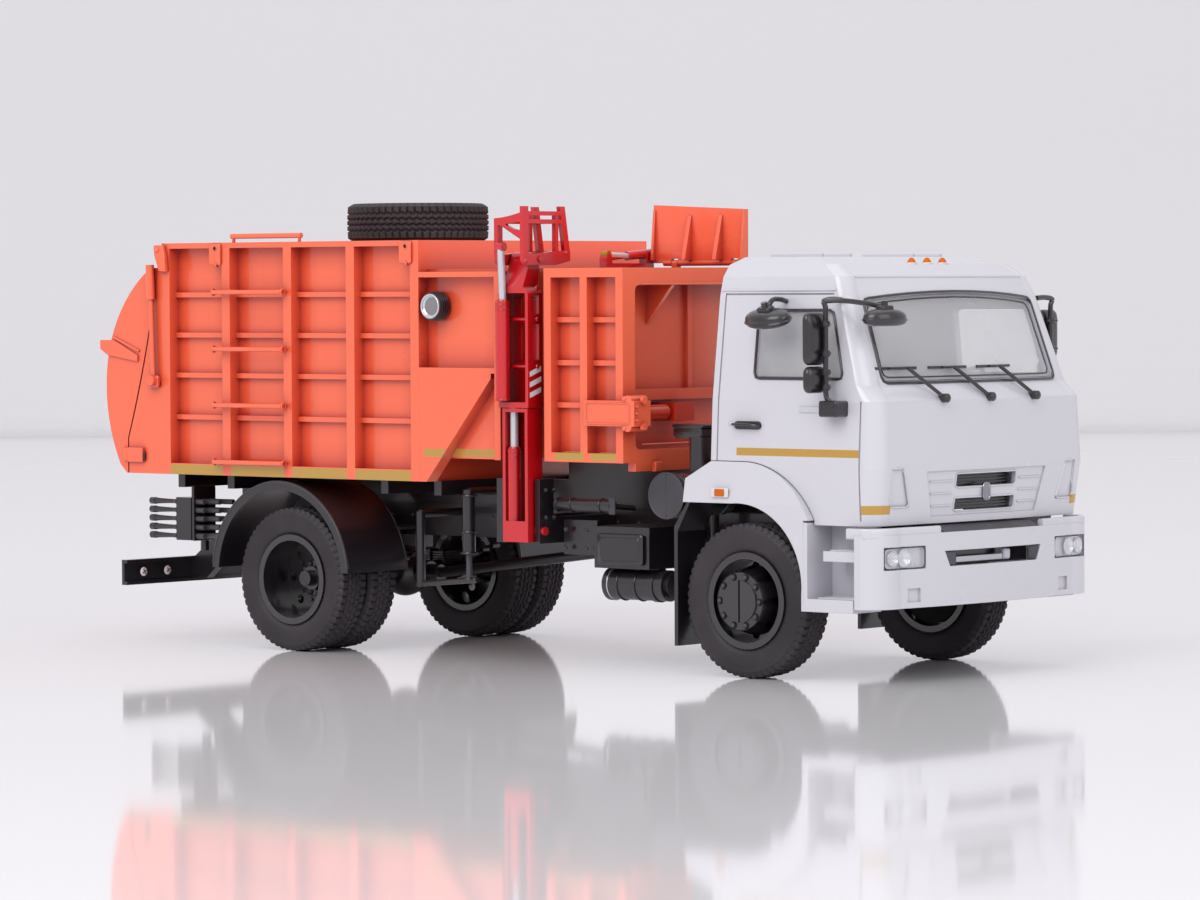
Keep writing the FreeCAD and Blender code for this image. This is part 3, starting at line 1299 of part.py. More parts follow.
def cab_inside():
    """Floor, seats, dash and steering wheel, moulded together."""
    floor_z = ENGINE_TOP + GAP
    half = CAB_FLOOR_LEVEL[1] - CAB_WALL - GAP
    rear = CAB_FLOOR_LEVEL[2] + CAB_WALL + GAP
    tub = block(rear, CAB_FLOOR_LEVEL[3] - OVER, -ARCH_IN + GAP, ARCH_IN - GAP, floor_z, floor_z + CAB_WALL)
    pieces = [tub]
    seat_width = half / 3
    cushion_z = (floor_z + WINDOW_BASE) / 2
    for sign in (-1, 1):
        y = sign * half / 2
        cushion = block(rear + OVER, rear + seat_width, y - seat_width / 2, y + seat_width / 2,
                        floor_z + CAB_WALL, cushion_z)
        back = block(rear + CAB_WALL, rear + OVER, y - seat_width / 2, y + seat_width / 2,
                     floor_z + CAB_WALL, WINDOW_BASE + OVER)
        pieces.extend((cushion, back))
    dash = side_slab(
        -half + seat_width / 2, half - seat_width / 2,
        (CAB_HEADER_LEVEL[3], WINDOW_BASE - OVER),
        (CAB_FLOOR_LEVEL[3] - CAB_WALL, CAB_COWL_LEVEL[0] - CAB_WALL),
        (CAB_FLOOR_LEVEL[3] - CAB_WALL, CAB_LAMP_LEVEL[0]), (CAB_HEADER_LEVEL[3], cushion_z),
    )
    leg = block(CAB_HEADER_LEVEL[3] + CAB_WALL, CAB_FLOOR_LEVEL[3] - OVER, -seat_width, seat_width, floor_z,
                CAB_LAMP_LEVEL[0] + OVER)
    column = strut(vec(CAB_HEADER_LEVEL[3] + CAB_WALL, half / 2, cushion_z + OVER),
                   vec(DOOR_FRONT / 2, half / 2, WINDOW_BASE - CAB_WALL), CAB_GLASS_THICK)
    rim = Part.makeTorus(seat_width / 2, CAB_GLASS_THICK / 2,
                         vec(DOOR_FRONT / 2, half / 2, WINDOW_BASE - CAB_WALL),
                         vec(1, 0, -2))
    spoke = strut(vec(DOOR_FRONT / 2, half / 2 - seat_width / 2, WINDOW_BASE - CAB_WALL),
                  vec(DOOR_FRONT / 2, half / 2 + seat_width / 2, WINDOW_BASE - CAB_WALL),
                  CAB_GLASS_THICK / 2)
    place("cab_inside", joined(*pieces, dash, leg, column, rim, spoke))


def bumper_form(inset, z0, z1):
    """The bumper's plan between two heights, drawn in by an inset."""
    half = BODY_HALF - inset
    corner_y = BUMPER_CORNER_Y - inset / 2
    return plan_slab(
        z0, z1,
        (BUMPER_REAR - (OVER if inset else 0), -half), (BUMPER_SIDE_END, -half),
        ((BUMPER_CORNER_MID_X - inset, -BUMPER_CORNER_MID_Y + inset), (BUMPER_CORNER_X - inset, -corner_y)),
        ((FRONT_REACH - inset, 0), (BUMPER_CORNER_X - inset, corner_y)),
        ((BUMPER_CORNER_MID_X - inset, BUMPER_CORNER_MID_Y - inset), (BUMPER_SIDE_END, half)),
        (BUMPER_REAR - (OVER if inset else 0), half),
    )


def lamp_prism(sign, inset):
    return block(BUMPER_REAR, FRONT_REACH, sign * (HEADLAMP_IN + inset), sign * (HEADLAMP_OUT - inset),
                 HEADLAMP_BASE + inset, HEADLAMP_TOP - inset)


def bumper():
    form = bumper_form(0, BUMPER_BASE, BUMPER_TOP)
    hollow = bumper_form(BUMPER_WALL, BUMPER_BASE - OVER, BUMPER_TOP - BUMPER_WALL)
    mouth = front_slab(
        BUMPER_REAR - OVER, FRONT_REACH + OVER,
        (-BUMPER_MOUTH_LOW_HALF, BUMPER_MOUTH_BASE), (BUMPER_MOUTH_LOW_HALF, BUMPER_MOUTH_BASE),
        (BUMPER_MOUTH_HALF, BUMPER_MOUTH_TOP), (-BUMPER_MOUTH_HALF, BUMPER_MOUTH_TOP),
    )
    shell = form.cut(hollow).cut(mouth)
    pocket_skin = bumper_form(BUMPER_WALL / 2, BUMPER_BASE - OVER, BUMPER_TOP + OVER)
    lenses = []
    for sign in (-1, 1):
        shell = shell.cut(lamp_prism(sign, 0).cut(pocket_skin))
        fog = block(BUMPER_REAR, FRONT_REACH, sign * FOG_IN, sign * FOG_OUT, FOG_BASE, FOG_TOP)
        shell = shell.cut(fog.cut(bumper_form(FOG_DEPTH, BUMPER_BASE - OVER, BUMPER_TOP + OVER)))
        lens = lamp_prism(sign, SEAM).common(bumper_form(HEADLAMP_SET / 2, BUMPER_BASE, BUMPER_TOP))
        lenses.append(lens.cut(pocket_skin))
    bracket = block(RAIL_FRONT, FRONT_REACH - BUMPER_WALL, RAIL_OUT - RAIL_FLANGE, RAIL_OUT,
                    RAIL_BASE + RAIL_WEB, BUMPER_TOP - BUMPER_WALL / 2)
    bracket = bracket.common(bumper_form(BUMPER_WALL / 2, BUMPER_BASE, BUMPER_TOP))
    bracket = bracket.fuse(block(RAIL_FRONT, BUMPER_REAR + OVER, RAIL_OUT - RAIL_FLANGE, RAIL_OUT,
                                 BUMPER_MOUTH_TOP + SEAM, BUMPER_TOP - BUMPER_WALL / 2))
    place("bumper", joined(shell, bracket, mirrored(bracket)))
    place("headlamps", *lenses)


def grilles():
    """Dark inserts behind the openings of the cab's nose and of the bumper."""
    made = []
    for low, high in ((GRILLE_LOW_BASE, GRILLE_LOW_TOP), (GRILLE_HIGH_BASE, GRILLE_HIGH_TOP)):
        back_x = CAB_FLOOR_LEVEL[6] - GRILLE_DEPTH
        half = GRILLE_HALF - SEAM
        insert = block(back_x, back_x + GRILLE_BAR, -half, half, low + SEAM, high - SEAM)
        pitch = (high - low) / (GRILLE_BAR_COUNT + 1)
        for index in range(GRILLE_BAR_COUNT):
            z = low + pitch * (index + 1)
            insert = insert.fuse(block(back_x, back_x + GRILLE_DEPTH / 2, -half, half, z - GRILLE_BAR / 2,
                                       z + GRILLE_BAR / 2))
        rim_x = CAB_FLOOR_LEVEL[6] - CAB_WALL
        insert = insert.fuse(block(back_x, rim_x, -half, -half + GRILLE_BAR, low + SEAM, high - SEAM))
        insert = insert.fuse(block(back_x, rim_x, half - GRILLE_BAR, half, low + SEAM, high - SEAM))
        made.append(insert.removeSplitter())
    mesh = block(BUMPER_REAR + OVER, BUMPER_REAR + OVER + GRILLE_BAR, -BUMPER_MOUTH_HALF, BUMPER_MOUTH_HALF,
                 BUMPER_MOUTH_BASE - SEAM, RAIL_BASE + RAIL_WEB)
    made.append(mesh)
    place("grilles", *made)
    shelf = side_slab(
        -BUMPER_SHELF_HALF, BUMPER_SHELF_HALF,
        (BUMPER_REAR, CAB_FLOOR_LEVEL[0] - GAP), (CAB_FLOOR_LEVEL[6] - GAP, CAB_FLOOR_LEVEL[0] - GAP),
        (FRONT_REACH - BUMPER_SHELF_DROP, BUMPER_TOP), (BUMPER_REAR, BUMPER_TOP),
    )
    place("nose_shelf", shelf)


def steps_and_arches():
    arches = []
    wells = []
    for sign in (-1, 1):
        out = sign * BODY_HALF
        into = sign * ARCH_IN
        arch = side_slab(
            into, out,
            (ARCH_REAR, ARCH_LIP_Z), (ARCH_LIP_FLAT_X, ARCH_LIP_Z),
            ((ARCH_LIP_MID_X, ARCH_LIP_MID_Z), (ARCH_LIP_FRONT_X, ARCH_LIP_FRONT_Z)),
            (ARCH_LIP_FRONT_X, STEP_BASE), (STEP_REAR, STEP_BASE), (STEP_REAR, SILL_Z - SEAM),
            (ARCH_CUT_FRONT_X - SEAM, SILL_Z - SEAM),
            ((ARCH_CUT_MID_X - SEAM, ARCH_CUT_MID_Z - SEAM), (ARCH_CUT_FLAT_X, ARCH_CUT_REAR_Z - SEAM)),
            (CAB_FLOOR_LEVEL[2] + SEAM, ARCH_CUT_REAR_Z - SEAM), (ARCH_REAR, ARCH_REAR_TOP),
        )
        flare = front_slab(
            ARCH_REAR - OVER, STEP_FRONT,
            (into, STEP_BASE), (out, STEP_BASE), (out, ARCH_LIP_Z),
            (sign * ARCH_CROWN_HALF, ARCH_CUT_REAR_Z),
            (into, ARCH_CUT_REAR_Z),
        )
        arches.append(arch.common(flare))
        well = block(STEP_REAR, STEP_FRONT, sign * STEP_IN, out, STEP_BASE, SILL_Z - SEAM - GAP)
        pocket = block(STEP_REAR + STEP_WALL, STEP_FRONT + OVER, sign * (STEP_IN + STEP_WALL),
                       out + sign * OVER,
                       STEP_LOWER_TOP, SILL_Z)
        tread = block(STEP_UPPER_REAR, STEP_FRONT, sign * STEP_IN, out - sign * STEP_WALL,
                      STEP_UPPER_TOP - STEP_TREAD, STEP_UPPER_TOP)
        wells.append(joined(well.cut(pocket), tread))
    place("front_arches", *arches)
    place("entry_steps", *wells)
    flap = side_slab(
        FLAP_IN, FLAP_OUT,
        (FLAP_FRONT, FLAP_BASE), (FLAP_FRONT, FLAP_TOP - FLAP_THICK), (ARCH_REAR, ARCH_LIP_Z + GAP),
        (ARCH_REAR, ARCH_LIP_Z + FLAP_HOOK), (FLAP_FRONT - FLAP_THICK, FLAP_TOP),
        (FLAP_FRONT - FLAP_THICK, FLAP_BASE),
    )
    place("mudflaps", flap, mirrored(flap))


def small_cab_pieces():
    lamps = []
    for step in (-1, 0, 1):
        lamps.append(rod_z(ROOF_LAMP_X, step * ROOF_LAMP_PITCH, ROOF_LAMP_BASE, ROOF_LAMP_TOP, ROOF_LAMP_R)
                     .cut(cab_form(0)))
    for sign in (-1, 1):
        lamps.append(block(SIDE_MARKER_REAR, SIDE_MARKER_FRONT, sign * BODY_HALF,
                           sign * (BODY_HALF + SIDE_MARKER_RISE), SIDE_MARKER_BASE, SIDE_MARKER_TOP))
    place("marker_lamps", *lamps)
    handles = []
    skin = CAB_COWL_LEVEL[1] + (CAB_LAMP_LEVEL[1] - CAB_COWL_LEVEL[1]) * (
        (CAB_COWL_LEVEL[0] - HANDLE_Z) / (CAB_COWL_LEVEL[0] - CAB_LAMP_LEVEL[0]))
    for sign in (-1, 1):
        grip = block(HANDLE_REAR, HANDLE_FRONT, sign * (skin + HANDLE_STAND),
                     sign * (skin + HANDLE_STAND + HANDLE_THICK), HANDLE_Z, HANDLE_Z + HANDLE_HEIGHT)
        root = block(HANDLE_REAR, HANDLE_REAR + 2 * HANDLE_THICK, sign * (skin - HANDLE_STAND),
                     sign * (skin + HANDLE_STAND), HANDLE_Z, HANDLE_Z + HANDLE_HEIGHT)
        handles.append(joined(grip, root).cut(cab_form(0)))
    place("door_handles", *handles)
    wipers = []
    for y in WIPER_Y:
        pivot = vec(WIPER_PIVOT_X, y, WIPER_PIVOT_Z)
        tip = vec(WIPER_BLADE_X, y - WIPER_REACH_Y, WIPER_BLADE_Z)
        arm = strut(pivot, tip, WIPER_ARM_R)
        hub = Part.makeCylinder(WIPER_HUB_R, 2 * WIPER_HUB_R,
                                vec(WIPER_PIVOT_X - WIPER_HUB_R, y, WIPER_PIVOT_Z),
                                vec(1, 0, 0))
        blade = rod_y(WIPER_BLADE_X, tip.y - WIPER_BLADE_HALF, tip.y + WIPER_BLADE_HALF, WIPER_BLADE_Z,
                      WIPER_ARM_R)
        wipers.append(joined(arm, hub, blade).cut(cab_form(0)))
    place("wipers", *wipers)


def mirrors():
    made = []
    for sign in (-1, 1):
        out = sign * MIRROR_TUBE_OUT
        root = vec(MIRROR_TUBE_X, sign * MIRROR_ROOT_IN, MIRROR_TUBE_TOP)
        top = vec(MIRROR_TUBE_X, out, MIRROR_TUBE_TOP)
        low = vec(MIRROR_TUBE_X, out, MIRROR_TUBE_BASE)
        pieces = [strut(root, top, MIRROR_TUBE_R), strut(top, low, MIRROR_TUBE_R),
                  Part.makeSphere(MIRROR_TUBE_R, top)]
        pieces.append(block(MIRROR_TUBE_X - MIRROR_BASE_HALF / 2, MIRROR_TUBE_X + MIRROR_BASE_HALF,
                            sign * (CAB_BELT_LEVEL[1] - SEAM), out + sign * MIRROR_TUBE_R,
                            MIRROR_TUBE_BASE - MIRROR_BASE_HEIGHT / 2,
                            MIRROR_TUBE_BASE + MIRROR_BASE_HEIGHT / 2))
        for base, height in ((MAIN_MIRROR_BASE, MAIN_MIRROR_TOP), (WIDE_MIRROR_BASE, WIDE_MIRROR_TOP)):
            housing = block(MIRROR_TUBE_X - MIRROR_DEPTH, MIRROR_TUBE_X, out - MAIN_MIRROR_WIDTH / 2,
                            out + MAIN_MIRROR_WIDTH / 2, base, height)
            pieces.append(housing.makeFillet(MIRROR_ROUND, housing.Edges))
        made.append(joined(*pieces).cut(cab_form(0)))
    front_centre = vec(FRONT_MIRROR_X, -FRONT_MIRROR_Y, FRONT_MIRROR_Z)
    front = Part.makeSphere(1.0)
    matrix = FreeCAD.Matrix()
    matrix.scale(FRONT_MIRROR_WIDE, FRONT_MIRROR_LONG, FRONT_MIRROR_TALL)
    bowl = front.transformGeometry(matrix)
    bowl.translate(front_centre)
    arm = strut(vec(MIRROR_TUBE_X, -MIRROR_TUBE_OUT, MIRROR_TUBE_TOP),
                front_centre.add(vec(0, 0, FRONT_MIRROR_TALL / 2)),
                MIRROR_TUBE_R)
    made[0] = joined(made[0], arm, bowl)
    matrix = FreeCAD.Matrix()
    matrix.scale(FRONT_MIRROR_LONG, FRONT_MIRROR_WIDE, FRONT_MIRROR_TALL)
    kerb = front.transformGeometry(matrix)
    kerb.translate(vec(KERB_MIRROR_X, -KERB_MIRROR_Y, KERB_MIRROR_Z))
    kerb_arm = strut(vec(KERB_MIRROR_X, -KERB_MIRROR_Y, KERB_MIRROR_Z),
                     vec(KERB_MIRROR_X, -MIRROR_ROOT_IN, KERB_ARM_Z),
                     MIRROR_TUBE_R)
    made.append(joined(kerb, kerb_arm).cut(cab_form(0)))
    place("mirrors", *made)


# Load body, hopper and lid
def body_side_form(y0, y1, inset):
    """The load body's side outline, carried from y0 to y1."""
    return side_slab(
        y0, y1,
        (BODY_FRONT - inset, BODY_BASE + inset),
        (BODY_FRONT - inset, BODY_TOP - inset),
        (BODY_SEAM_TOP_X, BODY_TOP - inset),
        (BODY_SEAM_TOP_X, BODY_SEAM_TOP_Z),
        ((BODY_SEAM_MID_X, BODY_SEAM_MID_Z), (BODY_SEAM_LOW_X, BODY_SEAM_LOW_Z)),
        (BODY_SEAM_LOW_X, BODY_BASE + inset),
    )


def load_body():
    skin = BODY_HALF - RIB_DEPTH
    whole = body_side_form(-skin, skin, 0)
    inner = side_slab(
        -skin + WALL, skin - WALL,
        (BODY_FRONT - WALL, BODY_BASE + WALL), (BODY_FRONT - WALL, BODY_TOP - WALL),
        (BODY_SEAM_LOW_X - OVER, BODY_TOP - WALL), (BODY_SEAM_LOW_X - OVER, BODY_BASE + WALL),
    )
    shell = whole.cut(inner)
    pieces = [shell]
    for sign in (-1, 1):
        y0 = sign * (skin - SEAM)
        y1 = sign * BODY_HALF
        for index in range(RIB_COUNT):
            x = RIB_REAR + index * RIB_PITCH
            pieces.append(block(x, x + RIB_WIDTH, y0, y1, BODY_BASE, BODY_TOP))
        pieces.append(block(RIB_REAR, BODY_FRONT, y0, y1, BODY_TOP - RIB_WIDTH / 2, BODY_TOP))
        pieces.append(block(RIB_REAR, BODY_FRONT, y0, y1, BODY_BASE, BODY_BASE + RIB_WIDTH))
        for z in SLAT_Z:
            pieces.append(block(RIB_REAR, BODY_FRONT, y0, sign * (skin + SLAT_DEPTH), z - SLAT_HEIGHT / 2,
                                z + SLAT_HEIGHT / 2))
        cheek = side_slab(
            sign * (skin - WALL), y1,
            (RIB_REAR + RIB_WIDTH / 2, BODY_BASE), (RIB_REAR + RIB_WIDTH / 2, BODY_SEAM_TOP_Z),
            (BODY_SEAM_TOP_X, BODY_SEAM_TOP_Z),
            ((BODY_SEAM_MID_X, BODY_SEAM_MID_Z), (BODY_SEAM_LOW_X, BODY_SEAM_LOW_Z)),
            (BODY_SEAM_LOW_X, BODY_BASE),
        )
        pieces.append(cheek)
        pieces.append(block(LATCH_REAR, LATCH_FRONT, y0, y1 + sign * LATCH_RISE, LATCH_BASE, LATCH_TOP))
    front_hole = block(BODY_FRONT - OVER, BODY_FRONT + OVER, -ARM_BAY_IN + WALL, ARM_BAY_IN - WALL,
                       BAY_BASE + WALL, BAY_TOP - WALL)
    body = joined(*pieces).cut(front_hole)
    for y in GATE_ARM_PLACES:
        reach = GATE_ARM_WIDTH / 2 + SEAM
        for sign in (-1, 1):
            lug = side_slab(
                y + sign * reach, y + sign * (reach + GATE_LUG_THICK),
                (BODY_SEAM_TOP_X + SEAM, GATE_HINGE_Z + GATE_ARM_R),
                (GATE_HINGE_X, GATE_HINGE_Z + GATE_ARM_R),
                ((GATE_HINGE_X - GATE_ARM_R, GATE_HINGE_Z), (GATE_HINGE_X, GATE_HINGE_Z - GATE_ARM_R)),
                (BODY_SEAM_TOP_X + SEAM, GATE_HINGE_Z - GATE_ARM_R),
            )
            body = body.fuse(lug)
        pin = rod_y(GATE_HINGE_X, y - reach - GATE_LUG_THICK, y + reach + GATE_LUG_THICK, GATE_HINGE_Z,
                    GATE_PIN_R)
        body = body.fuse(pin)
    place("load_body", body.removeSplitter())


def front_bay():
    """The stepped bay between the load body and the hopper, with the arm's recess."""
    pieces = []
    inner = side_slab(
        -BAY_IN + WALL, BAY_IN - WALL,
        (BODY_FRONT, BAY_BASE + WALL), (BODY_FRONT, BAY_TOP - WALL), (ARM_X + ARM_WIDTH, BAY_TOP - WALL),
        (ARM_X + ARM_WIDTH, BAY_BASE + WALL),
    )
    outer = block(BODY_FRONT, BAY_FRONT, -BAY_IN, BAY_IN, BAY_BASE, BAY_TOP)
    shell = outer.cut(inner)
    pieces.append(shell)
    tunnel = block(BAY_FRONT, HOPPER_REAR, -ARM_BAY_IN, ARM_BAY_IN, BAY_BASE, BAY_TOP)
    tunnel = tunnel.cut(block(BAY_FRONT - OVER, HOPPER_REAR + OVER, -ARM_BAY_IN + WALL, ARM_BAY_IN - WALL,
                              BAY_BASE + WALL, BAY_TOP - WALL))
    pieces.append(tunnel)
    bulkhead = block(BAY_FRONT - WALL, BAY_FRONT, -BAY_IN, BAY_IN, BAY_BASE, BAY_TOP)
    bulkhead = bulkhead.cut(block(BAY_FRONT - OVER, BAY_FRONT + OVER, -ARM_BAY_IN + WALL, ARM_BAY_IN - WALL,
                                  BAY_BASE + WALL, BAY_TOP - WALL))
    pieces.append(bulkhead)
    for sign in (-1, 1):
        y0 = sign * (BAY_IN - SEAM)
        y1 = sign * BODY_HALF
        for z in BAY_BAR_Z:
            pieces.append(block(BODY_FRONT, BAY_FRONT, y0, y1, z - BAY_BAR_HEIGHT / 2,
                                z + BAY_BAR_HEIGHT / 2))
        pieces.append(block(BAY_FRONT - BAY_POST, BAY_FRONT, y0, y1, BAY_BASE,
                            BAY_BAR_Z[0] + BAY_BAR_HEIGHT / 2))
        chute = side_slab(
            y0, y1,
            (BODY_FRONT, BODY_BASE), (CHUTE_REAR, BODY_BASE), (CHUTE_FRONT, CHUTE_TOP),
            (CHUTE_FRONT, BAY_BAR_Z[1]),
            (BODY_FRONT, BAY_BAR_Z[1]),
        )
        pieces.append(chute)
    front_wall = block(BODY_FRONT, BODY_FRONT + WALL, -BAY_IN, BAY_IN, BODY_BASE, BAY_BASE + WALL)
    pieces.append(front_wall)
    place("front_bay", joined(*pieces))


def portal_front(sign):
    """One gusset under the portal's head, between the recessed wall and its rim."""
    y = sign * GUSSET_Y
    return side_slab(
        y, y + sign * GUSSET_THICK,
        (PORTAL_WALL_X, PORTAL_TOP), (PORTAL_WALL_X, GUSSET_LOW), (HOPPER_FRONT, PORTAL_TOP),
    )


def hopper():
    """A ribbed box with an open roof and rear and a recessed wall inside its front portal."""
    skin = BODY_HALF - RIB_DEPTH
    whole = block(HOPPER_REAR, HOPPER_FRONT, -skin, skin, HOPPER_BASE, HOPPER_TOP)
    inner = block(HOPPER_REAR + WALL, PORTAL_WALL_X - WALL, -skin + WALL, skin - WALL, HOPPER_BASE + WALL,
                  HOPPER_TOP - WALL)
    recess = front_slab(
        PORTAL_WALL_X, HOPPER_FRONT + OVER,
        (-PORTAL_HALF, PORTAL_BASE), (PORTAL_HALF, PORTAL_BASE), (PORTAL_HALF, PORTAL_TOP),
        (-PORTAL_HALF, PORTAL_TOP),
    )
    corners = [edge for edge in recess.Edges if abs(edge.tangentAt(edge.FirstParameter).x) > 1 - SEAM]
    recess = recess.makeFillet(PORTAL_ROUND, corners)
    whole = whole.fuse(block(HOPPER_FRONT - WALL, HOPPER_FRONT, -BODY_HALF, BODY_HALF, HOPPER_BASE,
                             HOPPER_TOP))
    pieces = [whole.cut(inner)]
    for sign in (-1, 1):
        y0 = sign * (skin - SEAM)
        y1 = sign * BODY_HALF
        for x in HOPPER_RIB_X:
            pieces.append(block(x, x + HOPPER_RIB_WIDTH, y0, y1, HOPPER_BASE, HOPPER_TOP))
        pieces.append(block(HOPPER_REAR, HOPPER_FRONT, y0, y1, HOPPER_TOP - HOPPER_RIB_WIDTH, HOPPER_TOP))
        pieces.append(block(HOPPER_REAR, HOPPER_FRONT, y0, y1, HOPPER_BASE, HOPPER_BASE + HOPPER_RIB_WIDTH))
        for z in HOPPER_SLAT_Z:
            pieces.append(block(HOPPER_REAR, HOPPER_FRONT, y0, sign * (skin + SLAT_DEPTH),
                                z - SLAT_HEIGHT / 2,
                                z + SLAT_HEIGHT / 2))
    foot = block(HOPPER_FRONT - PORTAL_BEAM_DEPTH, HOPPER_FRONT, -PORTAL_HALF, PORTAL_HALF, PORTAL_FOOT,
                 HOPPER_BASE)
    body = joined(*pieces, foot).cut(recess)
    for sign in (-1, 1):
        post = block(PORTAL_WALL_X, PORTAL_WALL_X + PORTAL_POST_DEPTH, sign * PORTAL_POST_Y,
                     sign * (PORTAL_POST_Y + PORTAL_POST_WIDTH), PORTAL_BEAM_HIGH, PORTAL_TOP)
        body = body.fuse(portal_front(sign)).fuse(post)
    body = body.fuse(block(PORTAL_WALL_X, PORTAL_WALL_X + PORTAL_BEAM_DEPTH, -PORTAL_HALF, PORTAL_HALF,
                           PORTAL_BEAM_LOW, PORTAL_BEAM_HIGH))
    body = body.cut(block(MOUTH_REAR, MOUTH_FRONT, MOUTH_NEAR, MOUTH_FAR, HOPPER_TOP - OVER,
                          HOPPER_TOP + OVER))
    back_hole = block(HOPPER_REAR - OVER, HOPPER_REAR + OVER, -ARM_BAY_IN + WALL, ARM_BAY_IN - WALL,
                      HOPPER_BASE + WALL, HOPPER_TOP - WALL)
    place("hopper", body.cut(back_hole).removeSplitter())


def side_cover():
    """The box over the ram's end on the hopper's right side, with its two round tabs."""
    face = -BODY_HALF - COVER_RISE
    box = block(COVER_REAR, COVER_FRONT, -BODY_HALF, face, COVER_BASE, COVER_TOP)
    cheek = block(HOPPER_FRONT, COVER_FRONT, -PORTAL_HALF, -BODY_HALF, COVER_BASE, COVER_TOP)
    pieces = [box, cheek]
    for z in (COVER_BASE, COVER_TOP):
        pieces.append(rod_y(COVER_TAB_X, face, -PORTAL_HALF, z, COVER_TAB_R))
        pieces.append(rod_x(COVER_FRONT, COVER_FRONT + COVER_PIN_R, (face - PORTAL_HALF) / 2, z,
                            COVER_PIN_R))
    place("side_cover", joined(*pieces))
    ram = rod_y(FLOOR_RAM_X, -FLOOR_RAM_OUT + GAP, -FLOOR_RAM_IN, FLOOR_RAM_Z, FLOOR_RAM_R)
    rod = rod_y(FLOOR_RAM_X, -FLOOR_RAM_OUT + GAP, -FLOOR_BLOCK_IN, FLOOR_RAM_Z, FLOOR_RAM_R / 2)
    mount = block(PORTAL_WALL_X, FLOOR_RAM_X + FLOOR_BLOCK_HALF, -FLOOR_BLOCK_OUT, -FLOOR_BLOCK_IN,
                  FLOOR_RAM_Z - FLOOR_BLOCK_HALF, FLOOR_RAM_Z + FLOOR_BLOCK_HALF)
    rib = block(PORTAL_WALL_X, FLOOR_RAM_X, -FLOOR_RAM_OUT + OVER, -FLOOR_RAM_OUT + OVER + WALL,
                FLOOR_RAM_Z - FLOOR_BLOCK_HALF, FLOOR_RAM_Z + FLOOR_BLOCK_HALF)
    place("hopper_ram", joined(ram, rod, mount, rib))


def lid():
    """The roof lid on its hinge line, standing open, with tapered fins on its outer face."""
    base = LID_HINGE_Z
    rear = LID_REAR
    front = LID_REAR + LID_LENGTH
    plate_face = outline(lambda x, z: vec(x, LID_Y - LID_THICK / 2, z), (rear, base), (
        (front, base), (front, base + LID_FRONT_HEIGHT), (rear, base + LID_HEIGHT)))
    plate = plate_face.extrude(vec(0, LID_THICK, 0))
    knuckle = rod_x(rear + OVER, front - OVER, LID_Y, LID_HINGE_Z, LID_HINGE_R)
    pieces = [plate, knuckle]
    low = base + LID_HINGE_R
    high = base + LID_FRONT_HEIGHT - LID_FIN_SHORT
    for share in LID_FIN_SHARES:
        x = rear + share * LID_LENGTH
        fin_face = outline(lambda y, z: vec(x, y, z), (LID_Y, low), (
            (LID_Y - LID_FIN_DEEP, low), (LID_Y - LID_FIN_THIN, high), (LID_Y, high)))
        pieces.append(fin_face.extrude(vec(LID_FIN_THICK, 0, 0)))
    for x in (rear, front - LID_FIN_THIN):
        edge_face = outline(lambda y, z: vec(x, y, z), (LID_Y, low), (
            (LID_Y - LID_FLANGE, low), (LID_Y - LID_FIN_THIN, base + LID_FRONT_HEIGHT),
            (LID_Y, base + LID_FRONT_HEIGHT)))
        pieces.append(edge_face.extrude(vec(LID_FIN_THIN, 0, 0)))
    leaf = joined(*pieces)
    ears = []
    for share in LID_EAR_SHARES:
        x = rear + share * LID_LENGTH
        room = LID_HINGE_R + 2 * SEAM
        leaf = leaf.cut(block(x - SEAM, x + LID_EAR + SEAM, LID_Y - room, LID_Y + room, HOPPER_TOP,
                              LID_HINGE_Z + room))
        ear = front_slab(
            x, x + LID_EAR,
            (LID_Y - LID_HINGE_R, HOPPER_TOP), (LID_Y + LID_HINGE_R, HOPPER_TOP),
            (LID_Y + LID_HINGE_R, LID_HINGE_Z),
            ((LID_Y, LID_HINGE_Z + LID_HINGE_R), (LID_Y - LID_HINGE_R, LID_HINGE_Z)),
        )
        ears.append(ear.cut(rod_x(x - OVER, x + LID_EAR + OVER, LID_Y, LID_HINGE_Z, LID_PIN_R + RUN_FIT)))
    pin = rod_x(rear + OVER, front - OVER, LID_Y, LID_HINGE_Z, LID_PIN_R)
    place("hopper_lid", joined(leaf, pin))
    place("lid_hinges", *ears)


def lid_ram():
    """The small ram that works the lid, lying across the roof behind it."""
    x = LID_REAR - LID_RAM_R - GAP
    slope_up = LID_RAM_RISE
    start = vec(x, -LID_RAM_OUT, LID_HINGE_Z + LID_RAM_R)
    middle = vec(x, -LID_RAM_MID, LID_HINGE_Z + LID_RAM_R + slope_up / 2)
    end = vec(x, LID_Y, LID_HINGE_Z + LID_RAM_R + slope_up)
    barrel_piece = strut(middle, end, LID_RAM_R)
    rod_piece = strut(start, middle, LID_RAM_ROD_R)
    eye = rod_x(x - LID_RAM_R, x + LID_RAM_R, start.y, start.z, LID_RAM_R)
    pad = block(x - LID_RAM_R, x + LID_RAM_R, start.y - LID_RAM_R, LID_Y, HOPPER_TOP, LID_HINGE_Z)
    post = block(x - LID_RAM_R, x + LID_RAM_R, start.y - LID_RAM_R, start.y + LID_RAM_R, LID_HINGE_Z,
                 start.z)
    far_post = block(x - LID_RAM_R, x + LID_RAM_R, LID_Y - OVER, LID_Y, LID_HINGE_Z, end.z)
    place("lid_ram", joined(barrel_piece, rod_piece, eye, pad, post, far_post))


